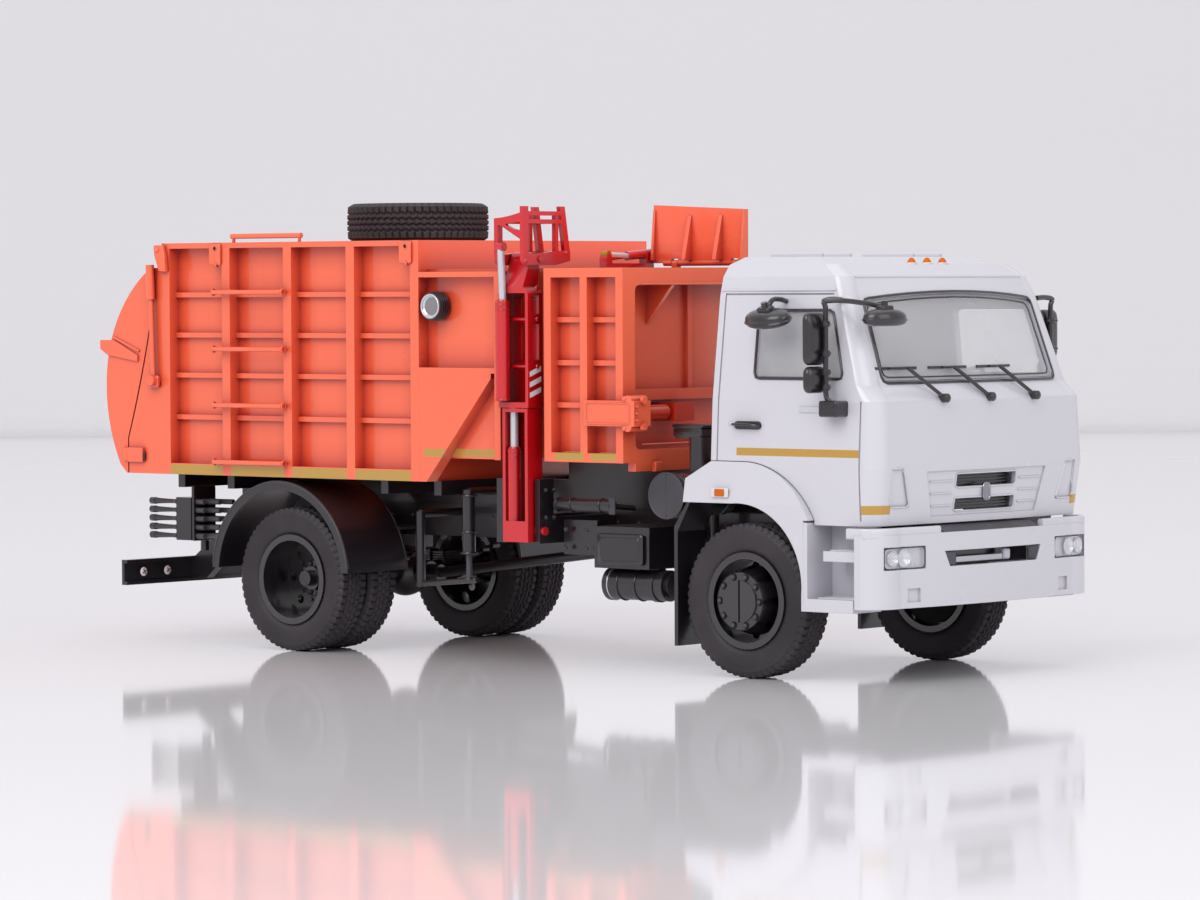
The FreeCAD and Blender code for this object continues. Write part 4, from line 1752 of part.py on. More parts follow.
def lamp_and_spare():
    face_y = -BODY_HALF
    case = Part.makeCone(WORK_LAMP_R, WORK_LAMP_R / 2, WORK_LAMP_DEEP,
                         vec(WORK_LAMP_X, face_y, WORK_LAMP_Z),
                         vec(0, 1, 0))
    stem = rod_y(WORK_LAMP_X, face_y + WORK_LAMP_DEEP / 2, -BAY_IN, WORK_LAMP_Z, WORK_LAMP_R / 2)
    place("work_lamp", joined(case, stem).cut(block(BODY_FRONT, BAY_FRONT, -BAY_IN, BAY_IN, BAY_BASE,
                                                    BAY_TOP)))
    lens = rod_y(WORK_LAMP_X, face_y - WORK_LAMP_LENS, face_y, WORK_LAMP_Z, WORK_LAMP_R - WORK_LAMP_LENS)
    place("work_lamp_lens", lens)
    turn = FreeCAD.Placement(vec(0, 0, 0), FreeCAD.Rotation(vec(1, 0, 0), 90))
    flat_tyre = tyre(0, TYRE_WIDTH / 2, 0)
    flat_tyre.Placement = turn
    centre = vec(SPARE_X, SPARE_Y, BODY_TOP + SEAM + TYRE_WIDTH / 2)
    flat_tyre.translate(centre)
    place("spare_tyre", flat_tyre)
    disc_z = BODY_TOP
    post = rod_z(SPARE_X, SPARE_Y, disc_z, disc_z + SPARE_BASE_HEIGHT, SPARE_BASE_R)
    rim = rod_z(SPARE_X, SPARE_Y, disc_z + SPARE_BASE_HEIGHT, disc_z + TYRE_WIDTH, BEAD_R - SEAM)
    rim = rim.cut(rod_z(SPARE_X, SPARE_Y, disc_z + TYRE_WIDTH / 2, disc_z + TYRE_WIDTH + OVER,
                        BEAD_R - SEAM - RIM_WALL))
    place("spare_rim", joined(post, rim))


def rungs():
    """Step bars on the body's right side and the handrail on its roof edge."""
    made = []
    y = -BODY_HALF - RUNG_STAND
    for z in RUNG_Z:
        bar = rod_x(RUNG_REAR, RUNG_FRONT, y, z, RUNG_R)
        legs = []
        for x in (RUNG_REAR + RUNG_R, RUNG_FRONT - RUNG_R):
            legs.append(rod_y(x, y, -BODY_HALF, z, RUNG_LEG_R))
        made.append(joined(bar, *legs))
    rail_y = -BODY_HALF + RAIL_BAR_R
    top = RAIL_BAR_TOP - RAIL_BAR_R
    bar = rod_x(RAIL_BAR_REAR, RAIL_BAR_FRONT, rail_y, top, RAIL_BAR_R)
    legs = []
    for x in (RAIL_BAR_REAR + RAIL_BAR_R, RAIL_BAR_FRONT - RAIL_BAR_R):
        legs.append(rod_z(x, rail_y, BODY_TOP, top, RUNG_LEG_R))
    made.append(joined(bar, *legs))
    place("step_bars", *made)


def gate_form(y0, y1, inset):
    return side_slab(
        y0, y1,
        (BODY_SEAM_TOP_X - GAP, GATE_NECK_Z - inset),
        (GATE_NECK_X, GATE_NECK_Z - inset),
        ((GATE_UPPER_X + inset, GATE_UPPER_Z - inset), (GATE_BULGE_X + inset, GATE_BULGE_Z)),
        ((GATE_LOWER_X + inset, GATE_LOWER_Z), (GATE_FOOT_X + inset, GATE_FOOT_Z + inset)),
        (GATE_TOE_X, BODY_BASE + inset),
        (BODY_SEAM_LOW_X - GAP, BODY_BASE + inset),
        (BODY_SEAM_LOW_X - GAP, BODY_SEAM_LOW_Z),
        ((BODY_SEAM_MID_X - GAP, BODY_SEAM_MID_Z), (BODY_SEAM_TOP_X - GAP, GATE_NECK_Z - inset)),
    )


def tailgate():
    outer = gate_form(-BODY_HALF, BODY_HALF, 0)
    inner_cut = side_slab(
        -BODY_HALF + GATE_WALL, BODY_HALF - GATE_WALL,
        (RIB_REAR, GATE_NECK_Z - GATE_WALL),
        (GATE_NECK_X, GATE_NECK_Z - GATE_WALL),
        ((GATE_UPPER_X + GATE_WALL, GATE_UPPER_Z - GATE_WALL / 2),
         (GATE_BULGE_X + GATE_WALL, GATE_BULGE_Z)),
        ((GATE_LOWER_X + GATE_WALL, GATE_LOWER_Z), (GATE_FOOT_X + GATE_WALL, GATE_FOOT_Z + GATE_WALL)),
        (RIB_REAR, GATE_FOOT_Z + GATE_WALL),
    )
    shell = outer.cut(inner_cut)
    pieces = [shell]
    beam = side_slab(
        -BODY_HALF - GAP, BODY_HALF + GAP,
        (-REAR_REACH, GATE_BEAM_TOP), (-REAR_REACH, GATE_BEAM_Z),
        (GATE_BULGE_X + GATE_WALL / 2, GATE_BEAM_Z - GATE_WALL),
        (GATE_BEAM_FRONT, GATE_BEAM_Z - GATE_WALL * 2), (GATE_BEAM_FRONT, GATE_BEAM_Z - GATE_WALL),
        (GATE_BULGE_X + GATE_WALL * 2, GATE_BEAM_TOP),
    )
    pieces.append(beam.cut(inner_cut))
    for y in GATE_ARM_PLACES:
        arm = side_slab(
            y - GATE_ARM_WIDTH / 2, y + GATE_ARM_WIDTH / 2,
            (GATE_HINGE_X - GATE_ARM_R, GATE_HINGE_Z),
            ((GATE_HINGE_X, GATE_HINGE_Z + GATE_ARM_R), (GATE_HINGE_X + GATE_ARM_R, GATE_HINGE_Z)),
            (BODY_SEAM_TOP_X - GAP, GATE_NECK_Z - GATE_WALL / 2), (GATE_NECK_X, GATE_NECK_Z - GATE_WALL),
        )
        pieces.append(arm)
    gate = joined(*pieces)
    for y in GATE_ARM_PLACES:
        gate = gate.cut(rod_y(GATE_HINGE_X, y - GATE_ARM_WIDTH, y + GATE_ARM_WIDTH, GATE_HINGE_Z,
                              GATE_PIN_R + RUN_FIT))
    place("tailgate", gate)
    rams = []
    for sign in (-1, 1):
        y = sign * (BODY_HALF + RAM_EYE_R)
        top = vec(RAM_TOP_X, y, RAM_TOP_Z)
        low = vec(RAM_LOW_X, y, RAM_LOW_Z)
        run = low.sub(top)
        split = top.add(run.multiply(RAM_BARREL_SHARE))
        barrel_piece = strut(top, split, RAM_BARREL_R)
        rod_piece = strut(top, low, RAM_ROD_R)
        eye = rod_y(RAM_LOW_X, sign * BODY_HALF, sign * (BODY_HALF + RAM_EYE_R * 2), RAM_LOW_Z, RAM_EYE_R)
        rams.append(joined(barrel_piece, rod_piece, eye))
    place("tailgate_rams", *rams)


# Arm
def arm_column():
    """The lower column: a channel open to the outside, with its lift ram inside and its foot on a pin."""
    x0 = COLUMN_X - COLUMN_WIDTH / 2
    x1 = COLUMN_X + COLUMN_WIDTH / 2
    y0 = -ARM_OUT
    y1 = -ARM_OUT + ARM_DEPTH
    column = block(x0, x1, y0, y1, COLUMN_BASE, ARM_PART_Z - SEAM)
    hollow = block(x0 + ARM_SKIN, x1 - ARM_SKIN, y0 - OVER, y1 - ARM_SKIN, COLUMN_FOOT_TOP,
                   ARM_PART_Z - SEAM - ARM_SKIN)
    slot = block(SLOT_REAR, SLOT_FRONT, y0 - OVER, y1 + OVER, SLOT_BASE, SLOT_TOP)
    barrel_piece = rod_z(LIFT_RAM_X, -LIFT_RAM_Y, COLUMN_FOOT_TOP - ARM_SKIN, LIFT_BARREL_TOP,
                         LIFT_BARREL_R)
    saddle = block(LIFT_RAM_X - ROD_R, LIFT_RAM_X + ROD_R, -LIFT_RAM_Y, y1 - ARM_SKIN / 2, COLUMN_FOOT_TOP,
                   LIFT_BARREL_TOP - ROD_R)
    head = GUIDE_THICK + GAP + ARM_PIN_HEAD
    pin = rod_x(x0 - head, x1 + head, -ARM_PIN_Y, ARM_PIN_Z, ARM_PIN_R)
    place("arm_column", joined(column.cut(hollow).cut(slot), barrel_piece, saddle, pin))


def arm_window(low, high, outline_y0, outline_y1):
    """A tapered window through the arm's web, narrower at its foot."""
    face = outline(lambda x, z: vec(x, outline_y0, z), (ARM_WINDOW_REAR, high), (
        (ARM_WINDOW_FRONT, high), (ARM_WINDOW_FRONT - ARM_WINDOW_NARROW, low), (ARM_WINDOW_REAR, low)))
    return face.extrude(vec(0, outline_y1 - outline_y0, 0))


def upper_arm():
    """The upper arm: an open channel with windows, cross pins and a head for the gripper's pin."""
    x0 = ARM_X - ARM_WIDTH / 2
    x1 = ARM_X + ARM_WIDTH / 2
    y0 = -ARM_OUT
    y1 = -ARM_OUT + ARM_DEPTH
    reach = ARM_HEAD_WIDTH / 2
    face = outline(lambda x, z: vec(x, y0, z), (x0, ARM_PART_Z), (
        (x1, ARM_PART_Z), (x1, ARM_SHOULDER_Z), (ARM_X + reach, ARM_SHOULDER_Z + ARM_SHOULDER_RISE),
        (ARM_X - reach, ARM_SHOULDER_Z + ARM_SHOULDER_RISE), (x0, ARM_SHOULDER_Z)))
    arm = face.extrude(vec(0, ARM_DEPTH, 0))
    arm = arm.cut(block(x0 + ARM_SKIN, x1 - ARM_SKIN, y0 - OVER, y1 - ARM_SKIN, ARM_PART_Z + ARM_CAP,
                        ARM_SHOULDER_Z))
    for low, high in (ARM_WINDOW_LOW, ARM_WINDOW_HIGH):
        arm = arm.cut(arm_window(low, high, y0 - OVER, y1 + OVER))
        arm = arm.cut(block(x1 - ARM_SKIN - SEAM, x1 + OVER, y0 + ARM_WINDOW_IN, y1 - ARM_WINDOW_IN, low,
                            high))
    head = front_slab(
        ARM_X - reach, ARM_X + reach,
        (y0, ARM_SHOULDER_Z), (y0, ARM_SHOULDER_Z + ARM_SHOULDER_RISE),
        (-GRIP_PIN_Y - ARM_HEAD_R, GRIP_PIN_Z),
        ((-GRIP_PIN_Y, GRIP_PIN_Z + ARM_HEAD_R), (-GRIP_PIN_Y + ARM_HEAD_R, GRIP_PIN_Z)),
        (y1, ARM_SHOULDER_Z + ARM_SHOULDER_RISE), (y1, ARM_SHOULDER_Z),
    )
    pieces = [arm, head]
    for z in CROSS_PIN_Z:
        pieces.append(rod_x(x0, x1, y0 + ARM_WINDOW_IN, z, CROSS_PIN_R))
    tube = rod_z(TILT_RAM_X, -TILT_RAM_Y, TILT_BARREL_BASE, TILT_BARREL_TOP, TILT_BARREL_R)
    pieces.append(tube)
    bore = rod_x(x0 - OVER, x1 + OVER, -GRIP_PIN_Y, GRIP_PIN_Z, GRIP_PIN_R + RUN_FIT)
    place("upper_arm", joined(*pieces).cut(bore))


def arm_rods():
    """The bright rods of the lift ram and the tilt ram."""
    lift = rod_z(LIFT_RAM_X, -LIFT_RAM_Y, LIFT_BARREL_TOP, ARM_PART_Z - SEAM - ARM_SKIN, ROD_R)
    tilt = rod_z(TILT_RAM_X, -TILT_RAM_Y, TILT_BARREL_TOP, TILT_EYE_Z, TILT_ROD_R)
    eye = rod_x(TILT_RAM_X - TILT_ROD_R, TILT_RAM_X + TILT_ROD_R, -TILT_RAM_Y, TILT_EYE_Z,
                TILT_ROD_R + ARM_SKIN / 2)
    place("arm_rods", lift, joined(tilt, eye))


def arm_guides():
    """Two upright brackets beside the column's foot, on arms from the frame rail."""
    made = []
    for sign, width in ((-1, GUIDE_REAR_WIDTH), (1, GUIDE_THICK)):
        near = COLUMN_X + sign * (COLUMN_WIDTH / 2 + GAP)
        far = near + sign * width
        plate_far = near + sign * GUIDE_THICK
        plate = block(near, plate_far, -BODY_HALF, -BODY_HALF + GUIDE_DEPTH, GUIDE_BASE, GUIDE_TOP)
        lip = block(near, far, -BODY_HALF, -BODY_HALF + GUIDE_LIP, GUIDE_BASE, GUIDE_TOP)
        arm = block(near, plate_far, -BODY_HALF + GUIDE_DEPTH, -RAIL_OUT, GUIDE_BASE, GUIDE_ARM_TOP)
        bore = rod_x(min(near, far) - OVER, max(near, far) + OVER, -ARM_PIN_Y, ARM_PIN_Z,
                     ARM_PIN_R + RUN_FIT)
        made.append(joined(plate, lip, arm).cut(bore))
    place("arm_guides", *made)


def gripper():
    """A tilting frame on the arm's head: side plates, posts, bars and a diagonal brace."""
    x0 = ARM_X - ARM_WIDTH / 2
    x1 = ARM_X + ARM_WIDTH / 2
    pieces = []
    for near, far, outer_top in ((x0, x0 + GRIP_PLATE, GRIP_LEVER_TOP), (x1 - GRIP_PLATE, x1, GRIP_TOP)):
        pieces.append(front_slab(
            near, far,
            (-GRIP_OUT, GRIP_BASE + GRIP_BAR), (-GRIP_OUT + GRIP_BAR, GRIP_BASE), (-GRIP_THIN_Y, GRIP_BASE),
            (-GRIP_IN, GRIP_BASE + GRIP_BAR), (-GRIP_IN, GRIP_SILL_TOP), (-GRIP_THIN_Y, GRIP_SILL_TOP),
            (-GRIP_OUT, GRIP_SILL_TOP - GRIP_BAR),
        ))
        pieces.append(block(near, far, -GRIP_OUT, -GRIP_OUT + GRIP_POST, GRIP_BASE + GRIP_BAR, outer_top))
        pieces.append(front_slab(
            near, far,
            (-GRIP_IN - GRIP_POST, GRIP_SILL_TOP - GRIP_BAR), (-GRIP_IN, GRIP_SILL_TOP - GRIP_BAR),
            (-GRIP_IN - GRIP_DRAW, GRIP_TOP), (-GRIP_IN - GRIP_DRAW - GRIP_POST, GRIP_TOP),
        ))
        pieces.append(block(near, far, -GRIP_THIN_Y, -GRIP_THIN_Y + GRIP_BAR, GRIP_SILL_TOP - GRIP_BAR,
                            GRIP_BAR_Z[0] + GRIP_BAR / 2))
    for z in GRIP_BAR_Z:
        pieces.append(block(x1 - GRIP_PLATE, x1, -GRIP_OUT, -GRIP_IN - GRIP_DRAW, z, z + GRIP_BAR))
    pieces.append(block(x0, x0 + GRIP_PLATE, -GRIP_OUT, -GRIP_IN - GRIP_DRAW, GRIP_BAR_Z[1],
                        GRIP_BAR_Z[1] + GRIP_BAR))
    rim_z = GRIP_LEVER_TOP - GRIP_POST
    foot_z = GRIP_PIN_Z + ARM_OUT - GRIP_PIN_Y + SEAM
    hoop = side_slab(
        -GRIP_OUT, -GRIP_OUT + GRIP_BAR,
        (x0, GRIP_LEVER_TOP), (x0, rim_z),
        ((ARM_X, rim_z + GRIP_BAR / 2), (x1, GRIP_BAR_Z[1] + GRIP_BAR)), (x1, GRIP_BAR_Z[0] + GRIP_BAR),
        ((ARM_X, GRIP_LEVER_TOP + GRIP_BAR / 2), (x0, GRIP_LEVER_TOP)),
    )
    brace = side_slab(
        -GRIP_OUT, -GRIP_OUT + GRIP_BAR,
        (x0 + GRIP_PLATE, rim_z + GRIP_BAR / 2), (x1 - GRIP_PLATE, foot_z),
        (x1 - GRIP_PLATE, foot_z + GRIP_BRACE),
        ((ARM_X + GRIP_BAR, foot_z + GRIP_BRACE + GRIP_BAR / 2),
         (x0 + GRIP_PLATE + GRIP_BRACE, rim_z + GRIP_BAR / 2)),
    )
    cross_in = block(x0, x1, -GRIP_IN - GRIP_POST, -GRIP_IN, GRIP_BASE + GRIP_BAR, GRIP_SILL_TOP)
    top_in = block(x0, x1, -GRIP_IN - GRIP_DRAW - GRIP_POST, -GRIP_IN - GRIP_DRAW, GRIP_BAR_Z[1],
                   GRIP_BAR_Z[1] + GRIP_BAR)
    pin = rod_x(x0 - GAP, x1 + GAP, -GRIP_PIN_Y, GRIP_PIN_Z, GRIP_PIN_R)
    place("gripper", joined(*pieces, hoop, brace, cross_in, top_in, pin))


def main():
    os.makedirs("parts", exist_ok=True)
    wheels()
    frame()
    axles()
    bearers()
    driveline()
    side_boxes()
    cleaner()
    mudguards()
    rear_bar()
    cab_shell()
    cab_glass()
    cab_inside()
    bumper()
    grilles()
    steps_and_arches()
    small_cab_pieces()
    mirrors()
    load_body()
    front_bay()
    hopper()
    side_cover()
    lid()
    lid_ram()
    lamp_and_spare()
    rungs()
    tailgate()
    arm_column()
    upper_arm()
    arm_rods()
    arm_guides()
    gripper()


main()
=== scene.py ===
import logging
import math
from dataclasses import dataclass, field
from enum import Enum
from typing import Iterable, Sequence

import bmesh
import bpy
import numpy as np
from mathutils import Matrix, Vector


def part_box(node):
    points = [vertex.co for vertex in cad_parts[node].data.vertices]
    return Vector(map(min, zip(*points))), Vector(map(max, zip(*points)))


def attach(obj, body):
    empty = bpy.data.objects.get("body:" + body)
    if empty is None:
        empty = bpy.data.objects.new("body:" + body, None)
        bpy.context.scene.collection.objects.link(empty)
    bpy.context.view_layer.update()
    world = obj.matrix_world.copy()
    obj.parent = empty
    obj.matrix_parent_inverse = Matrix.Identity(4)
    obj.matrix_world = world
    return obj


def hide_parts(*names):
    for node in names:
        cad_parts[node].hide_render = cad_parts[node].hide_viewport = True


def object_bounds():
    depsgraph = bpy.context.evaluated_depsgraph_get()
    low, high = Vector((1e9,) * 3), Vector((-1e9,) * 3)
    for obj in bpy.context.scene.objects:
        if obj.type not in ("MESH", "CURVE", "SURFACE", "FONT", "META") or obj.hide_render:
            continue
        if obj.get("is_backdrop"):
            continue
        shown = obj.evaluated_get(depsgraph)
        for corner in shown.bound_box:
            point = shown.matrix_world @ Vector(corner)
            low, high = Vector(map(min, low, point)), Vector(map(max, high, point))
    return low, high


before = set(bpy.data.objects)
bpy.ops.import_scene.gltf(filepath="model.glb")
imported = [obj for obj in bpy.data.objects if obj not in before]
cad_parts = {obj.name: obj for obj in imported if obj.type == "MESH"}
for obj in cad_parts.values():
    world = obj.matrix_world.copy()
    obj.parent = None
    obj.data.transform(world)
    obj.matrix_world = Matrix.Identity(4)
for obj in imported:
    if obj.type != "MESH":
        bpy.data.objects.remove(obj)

# Looks of a 1:43 garbage truck model with a side arm.
# Sizes are millimetres, measured from the middle of the front axle on the ground
# and turned into the frame's metres where a mesh is made.

MM = 0.001
FRONT_AXLE_X = 57.05
REAR_AXLE = -97.67
Triple = tuple[float, float, float]
log = logging.getLogger("truck")


def linear(red: int, green: int, blue: int) -> Triple:
    """Turns a display colour of 0 to 255 into linear light, c = (s / 255) to the power 2.2."""
    return tuple(round((part / 255) ** 2.2, 4) for part in (red, green, blue))


class Side(Enum):
    """The two sides of the truck, as the sign of Y."""

    LEFT = 1
    RIGHT = -1


class Tint(Enum):
    """Colours of the model's paints and mouldings, in linear light."""

    ORANGE = linear(250, 108, 72)
    # The *_SHADE_MOTTLE colours are painted shade: the paint skin mixes them into corners and recesses, and a
    # little into its random mottle.
    ORANGE_SHADE_MOTTLE = linear(164, 14, 2)
    # ORANGE_SHADE is painted shade: the orange as it looks in shade.
    ORANGE_SHADE = linear(214, 62, 34)
    WHITE = linear(206, 205, 212)
    WHITE_SHADE_MOTTLE = linear(166, 163, 174)
    RED = linear(206, 18, 30)
    RED_SHADE_MOTTLE = linear(130, 6, 14)
    GOLD = linear(186, 144, 60)
    RUBBER = linear(66, 61, 66)
    BLACK = linear(38, 34, 39)
    # DARK is also painted shadow in the matte black finish and the painted shade colour of the black enamel,
    # beside the random tone of mouldings.
    DARK = linear(22, 19, 23)
    GREY = linear(92, 92, 98)
    STEEL = linear(196, 198, 204)
    AMBER = linear(236, 120, 30)
    LAMP_RED = linear(214, 44, 22)
    SILVER = linear(226, 227, 232)
    BRASS = linear(196, 150, 70)
    MARK = linear(240, 228, 228)
    CLEAR = linear(246, 247, 250)
    SEAT = linear(196, 194, 200)


# Node trees

class Tree:
    """A shader node tree with short ways to add nodes and links."""

    def __init__(self, tree: bpy.types.NodeTree) -> None:
        """Keeps the tree that the nodes go into."""
        self.tree = tree

    def node(self, kind: str, **values) -> bpy.types.Node:
        """Adds a node.

        Args:
            kind: the node's type name without its ShaderNode prefix.
            values: attributes of the node, or inputs by name with spaces as underscores.

        Returns:
            The new node.
        """
        made = self.tree.nodes.new("ShaderNode" + kind)
        for name, value in values.items():
            plain = name.replace("_", " ")
            if hasattr(made, name) and name not in made.inputs:
                setattr(made, name, value)
            elif isinstance(value, bpy.types.NodeSocket):
                self.tree.links.new(value, made.inputs[plain])
            else:
                made.inputs[plain].default_value = value
        return made

    def math(self, operation: str, first, second=0.0, third=0.0) -> bpy.types.NodeSocket:
        """Adds a Math node on sockets or numbers.

        Args:
            operation: the node's operation, such as MULTIPLY.
            first: a socket or a number.
            second: a socket or a number.
            third: a socket or a number, for MULTIPLY_ADD.

        Returns:
            The node's result.
        """
        made = self.tree.nodes.new("ShaderNodeMath")
        made.operation = operation
        for index, value in enumerate((first, second, third)):
            if isinstance(value, bpy.types.NodeSocket):
                self.tree.links.new(value, made.inputs[index])
            else:
                made.inputs[index].default_value = value
        return made.outputs[0]

    def mix(self, factor, low, high) -> bpy.types.NodeSocket:
        """Mixes two colours.

        Args:
            factor: a socket or number, 0 for low and 1 for high.
            low: a socket or a colour of four numbers.
            high: a socket or a colour of four numbers.

        Returns:
            The mixed colour.
        """
        made = self.tree.nodes.new("ShaderNodeMix")
        made.data_type = "RGBA"
        for index, value in ((0, factor), (6, low), (7, high)):
            if isinstance(value, bpy.types.NodeSocket):
                self.tree.links.new(value, made.inputs[index])
            else:
                made.inputs[index].default_value = value
        return made.outputs[2]

    def link(self, source: bpy.types.NodeSocket, target: bpy.types.NodeSocket) -> None:
        """Joins two sockets."""
        self.tree.links.new(source, target)


class Effects:
    """The node groups that several finishes share."""

    def __init__(self) -> None:
        """Builds every group once."""
        self.skin = self._skin()
        self.grain = self._grain()
        self.band = self._band()
        self.dust = self._dust()

    @staticmethod
    def _start(name: str, inputs: Sequence[tuple[str, str, object]],
               outputs: Sequence[tuple[str, str]]) -> tuple[Tree, bpy.types.Node, bpy.types.Node]:
        """Starts a group with its sockets.

        Args:
            name: the group's name.
            inputs: name, socket kind and value of each input.
            outputs: name and socket kind of each output.

        Returns:
            The group's tree, its input node and its output node.
        """
        tree = bpy.data.node_groups.new(name, "ShaderNodeTree")
        for label, kind, value in inputs:
            socket = tree.interface.new_socket(label, in_out="INPUT", socket_type="NodeSocket" + kind)
            socket.default_value = value
        for label, kind in outputs:
            tree.interface.new_socket(label, in_out="OUTPUT", socket_type="NodeSocket" + kind)
        build = Tree(tree)
        return build, tree.nodes.new("NodeGroupInput"), tree.nodes.new("NodeGroupOutput")

    def _skin(self) -> bpy.types.NodeTree:
        """Sprayed paint: rounded edges, a faint ripple, a faint random mottle, and painted shade that darkens
        the colour in corners and recesses.

        Returns:
            The group, with Color, Roughness and Normal outputs.
        """
        build, given, out = self._start(
            "paint_skin_corner_shade",
            (("Color", "Color", (1, 1, 1, 1)), ("Deep Color", "Color", (0, 0, 0, 1)),
             ("Ripple Scale", "Float", 900.0), ("Ripple", "Float", 0.05), ("Edge", "Float", 0.0002),
             ("Roughness", "Float", 0.3), ("Corner", "Float", 0.5)),
            (("Color", "Color"), ("Roughness", "Float"), ("Normal", "Vector")))
        place = build.node("TexCoord").outputs["Object"]
        ripple = build.node("TexNoise", Vector=place, Scale=given.outputs["Ripple Scale"], Detail=2.0)
        cloud = build.node("TexNoise", Vector=place, Scale=38.0, Detail=3.0)
        edge = build.node("Bevel", samples=4, Radius=given.outputs["Edge"])
        bump = build.node("Bump", Height=ripple.outputs["Fac"], Normal=edge.outputs["Normal"],
                          Strength=given.outputs["Ripple"], Distance=0.0001)
        # Painted shade: one minus ambient occlusion, times Corner, pulls the colour to the shade colour in
        # corners and recesses.
        near = build.node("AmbientOcclusion", samples=6, Distance=0.0045)
        shade = build.math("SUBTRACT", 1.0, near.outputs["AO"])
        corner = build.math("MULTIPLY", shade, given.outputs["Corner"])
        # A faint random mottle from the cloud noise pulls a little towards the same colour.
        lift = build.math("MULTIPLY_ADD", cloud.outputs["Fac"], 0.16, -0.08)
        factor = build.math("ADD", corner, lift)
        limit = build.node("Clamp", Value=factor)
        build.link(build.mix(limit.outputs[0], given.outputs["Color"], given.outputs["Deep Color"]),
                   out.inputs["Color"])
        rough = build.math("MULTIPLY_ADD", cloud.outputs["Fac"], 0.08, -0.04)
        build.link(build.math("ADD", rough, given.outputs["Roughness"]), out.inputs["Roughness"])
        build.link(bump.outputs["Normal"], out.inputs["Normal"])
        return build.tree

    def _grain(self) -> bpy.types.NodeTree:
        """The fine grain of moulded plastic and rubber.

        Returns:
            The group, with Mask, Roughness and Normal outputs.
        """
        build, given, out = self._start(
            "moulded_grain",
            (("Scale", "Float", 2500.0), ("Depth", "Float", 0.15), ("Edge", "Float", 0.00012),
             ("Roughness", "Float", 0.5)),
            (("Mask", "Float"), ("Roughness", "Float"), ("Normal", "Vector")))
        place = build.node("TexCoord").outputs["Object"]
        fine = build.node("TexNoise", Vector=place, Scale=given.outputs["Scale"], Detail=3.0)
        broad = build.node("TexNoise", Vector=place, Scale=90.0, Detail=2.0)
        edge = build.node("Bevel", samples=4, Radius=given.outputs["Edge"])
        bump = build.node("Bump", Height=fine.outputs["Fac"], Normal=edge.outputs["Normal"],
                          Strength=given.outputs["Depth"], Distance=0.00008)
        build.link(broad.outputs["Fac"], out.inputs["Mask"])
        rough = build.math("MULTIPLY_ADD", broad.outputs["Fac"], 0.16, -0.08)
        build.link(build.math("ADD", rough, given.outputs["Roughness"]), out.inputs["Roughness"])
        build.link(bump.outputs["Normal"], out.inputs["Normal"])
        return build.tree

    def _band(self) -> bpy.types.NodeTree:
        """A stripe between two heights and two ends, with breaks at a steady pitch.

        Returns:
            The group, with a Mask output that is 1 on the stripe.
        """
        build, given, out = self._start(
            "stripe_band",
            (("Low", "Float", 0.0), ("High", "Float", 0.0), ("Rear", "Float", -1.0), ("Front", "Float", 1.0),
             ("Pitch", "Float", 1.0), ("Break", "Float", 0.0), ("Facing", "Float", 0.6),
             ("Across", "Float", 0.0)),
            (("Mask", "Float"),))
        spot = build.node("SeparateXYZ", Vector=build.node("TexCoord").outputs["Object"])
        turn = build.node("SeparateXYZ", Vector=build.node("NewGeometry").outputs["True Normal"])
        x = spot.outputs["X"]
        z = spot.outputs["Z"]
        inside = build.math("MULTIPLY", build.math("GREATER_THAN", z, given.outputs["Low"]),
                            build.math("LESS_THAN", z, given.outputs["High"]))
        along = build.math("MULTIPLY", build.math("GREATER_THAN", x, given.outputs["Rear"]),
                           build.math("LESS_THAN", x, given.outputs["Front"]))
        run = build.math("SUBTRACT", x, given.outputs["Rear"])
        phase = build.math("FLOORED_MODULO", run, given.outputs["Pitch"])
        open_run = build.math("GREATER_THAN", phase, given.outputs["Break"])
        upright = build.math("LESS_THAN", build.math("ABSOLUTE", turn.outputs["Z"]), given.outputs["Facing"])
        outer = build.math("GREATER_THAN", build.math("ABSOLUTE", spot.outputs["Y"]), given.outputs["Across"])
        mask = build.math("MULTIPLY", build.math("MULTIPLY", inside, along),
                          build.math("MULTIPLY", build.math("MULTIPLY", open_run, upright), outer))
        build.link(mask, out.inputs["Mask"])
        return build.tree

    def _dust(self) -> bpy.types.NodeTree:
        """A thin bloom of dust on surfaces that face up.

        Returns:
            The group, with a Color output.
        """
        build, given, out = self._start(
            "dust_bloom",
            (("Color", "Color", (0, 0, 0, 1)), ("Dust Color", "Color", (0.3, 0.29, 0.28, 1)),
             ("Amount", "Float", 0.1)),
            (("Color", "Color"),))
        turn = build.node("SeparateXYZ", Vector=build.node("NewGeometry").outputs["Normal"])
        speck = build.node("TexNoise", Vector=build.node("TexCoord").outputs["Object"], Scale=420.0, Detail=4.0)
        up = build.node("Clamp", Value=turn.outputs["Z"])
        amount = build.math("MULTIPLY", build.math("MULTIPLY", up.outputs[0], speck.outputs["Fac"]),
                            given.outputs["Amount"])
        build.link(build.mix(amount, given.outputs["Color"], given.outputs["Dust Color"]), out.inputs["Color"])
        return build.tree


# Finishes

def opaque(colour: Triple) -> tuple[float, float, float, float]:
    """Adds full opacity to a colour."""
    return (*colour, 1.0)


def group_node(build: Tree, group: bpy.types.NodeTree, **values) -> bpy.types.Node:
    """Places a node group in a material.

    Args:
        build: the material's tree.
        group: the node group.
        values: inputs by name, with spaces as underscores.

    Returns:
        The group node.
    """
    made = build.tree.nodes.new("ShaderNodeGroup")
    made.node_tree = group
    for name, value in values.items():
        socket = made.inputs[name.replace("_", " ")]
        if isinstance(value, bpy.types.NodeSocket):
            build.link(value, socket)
        else:
            socket.default_value = value
    return made


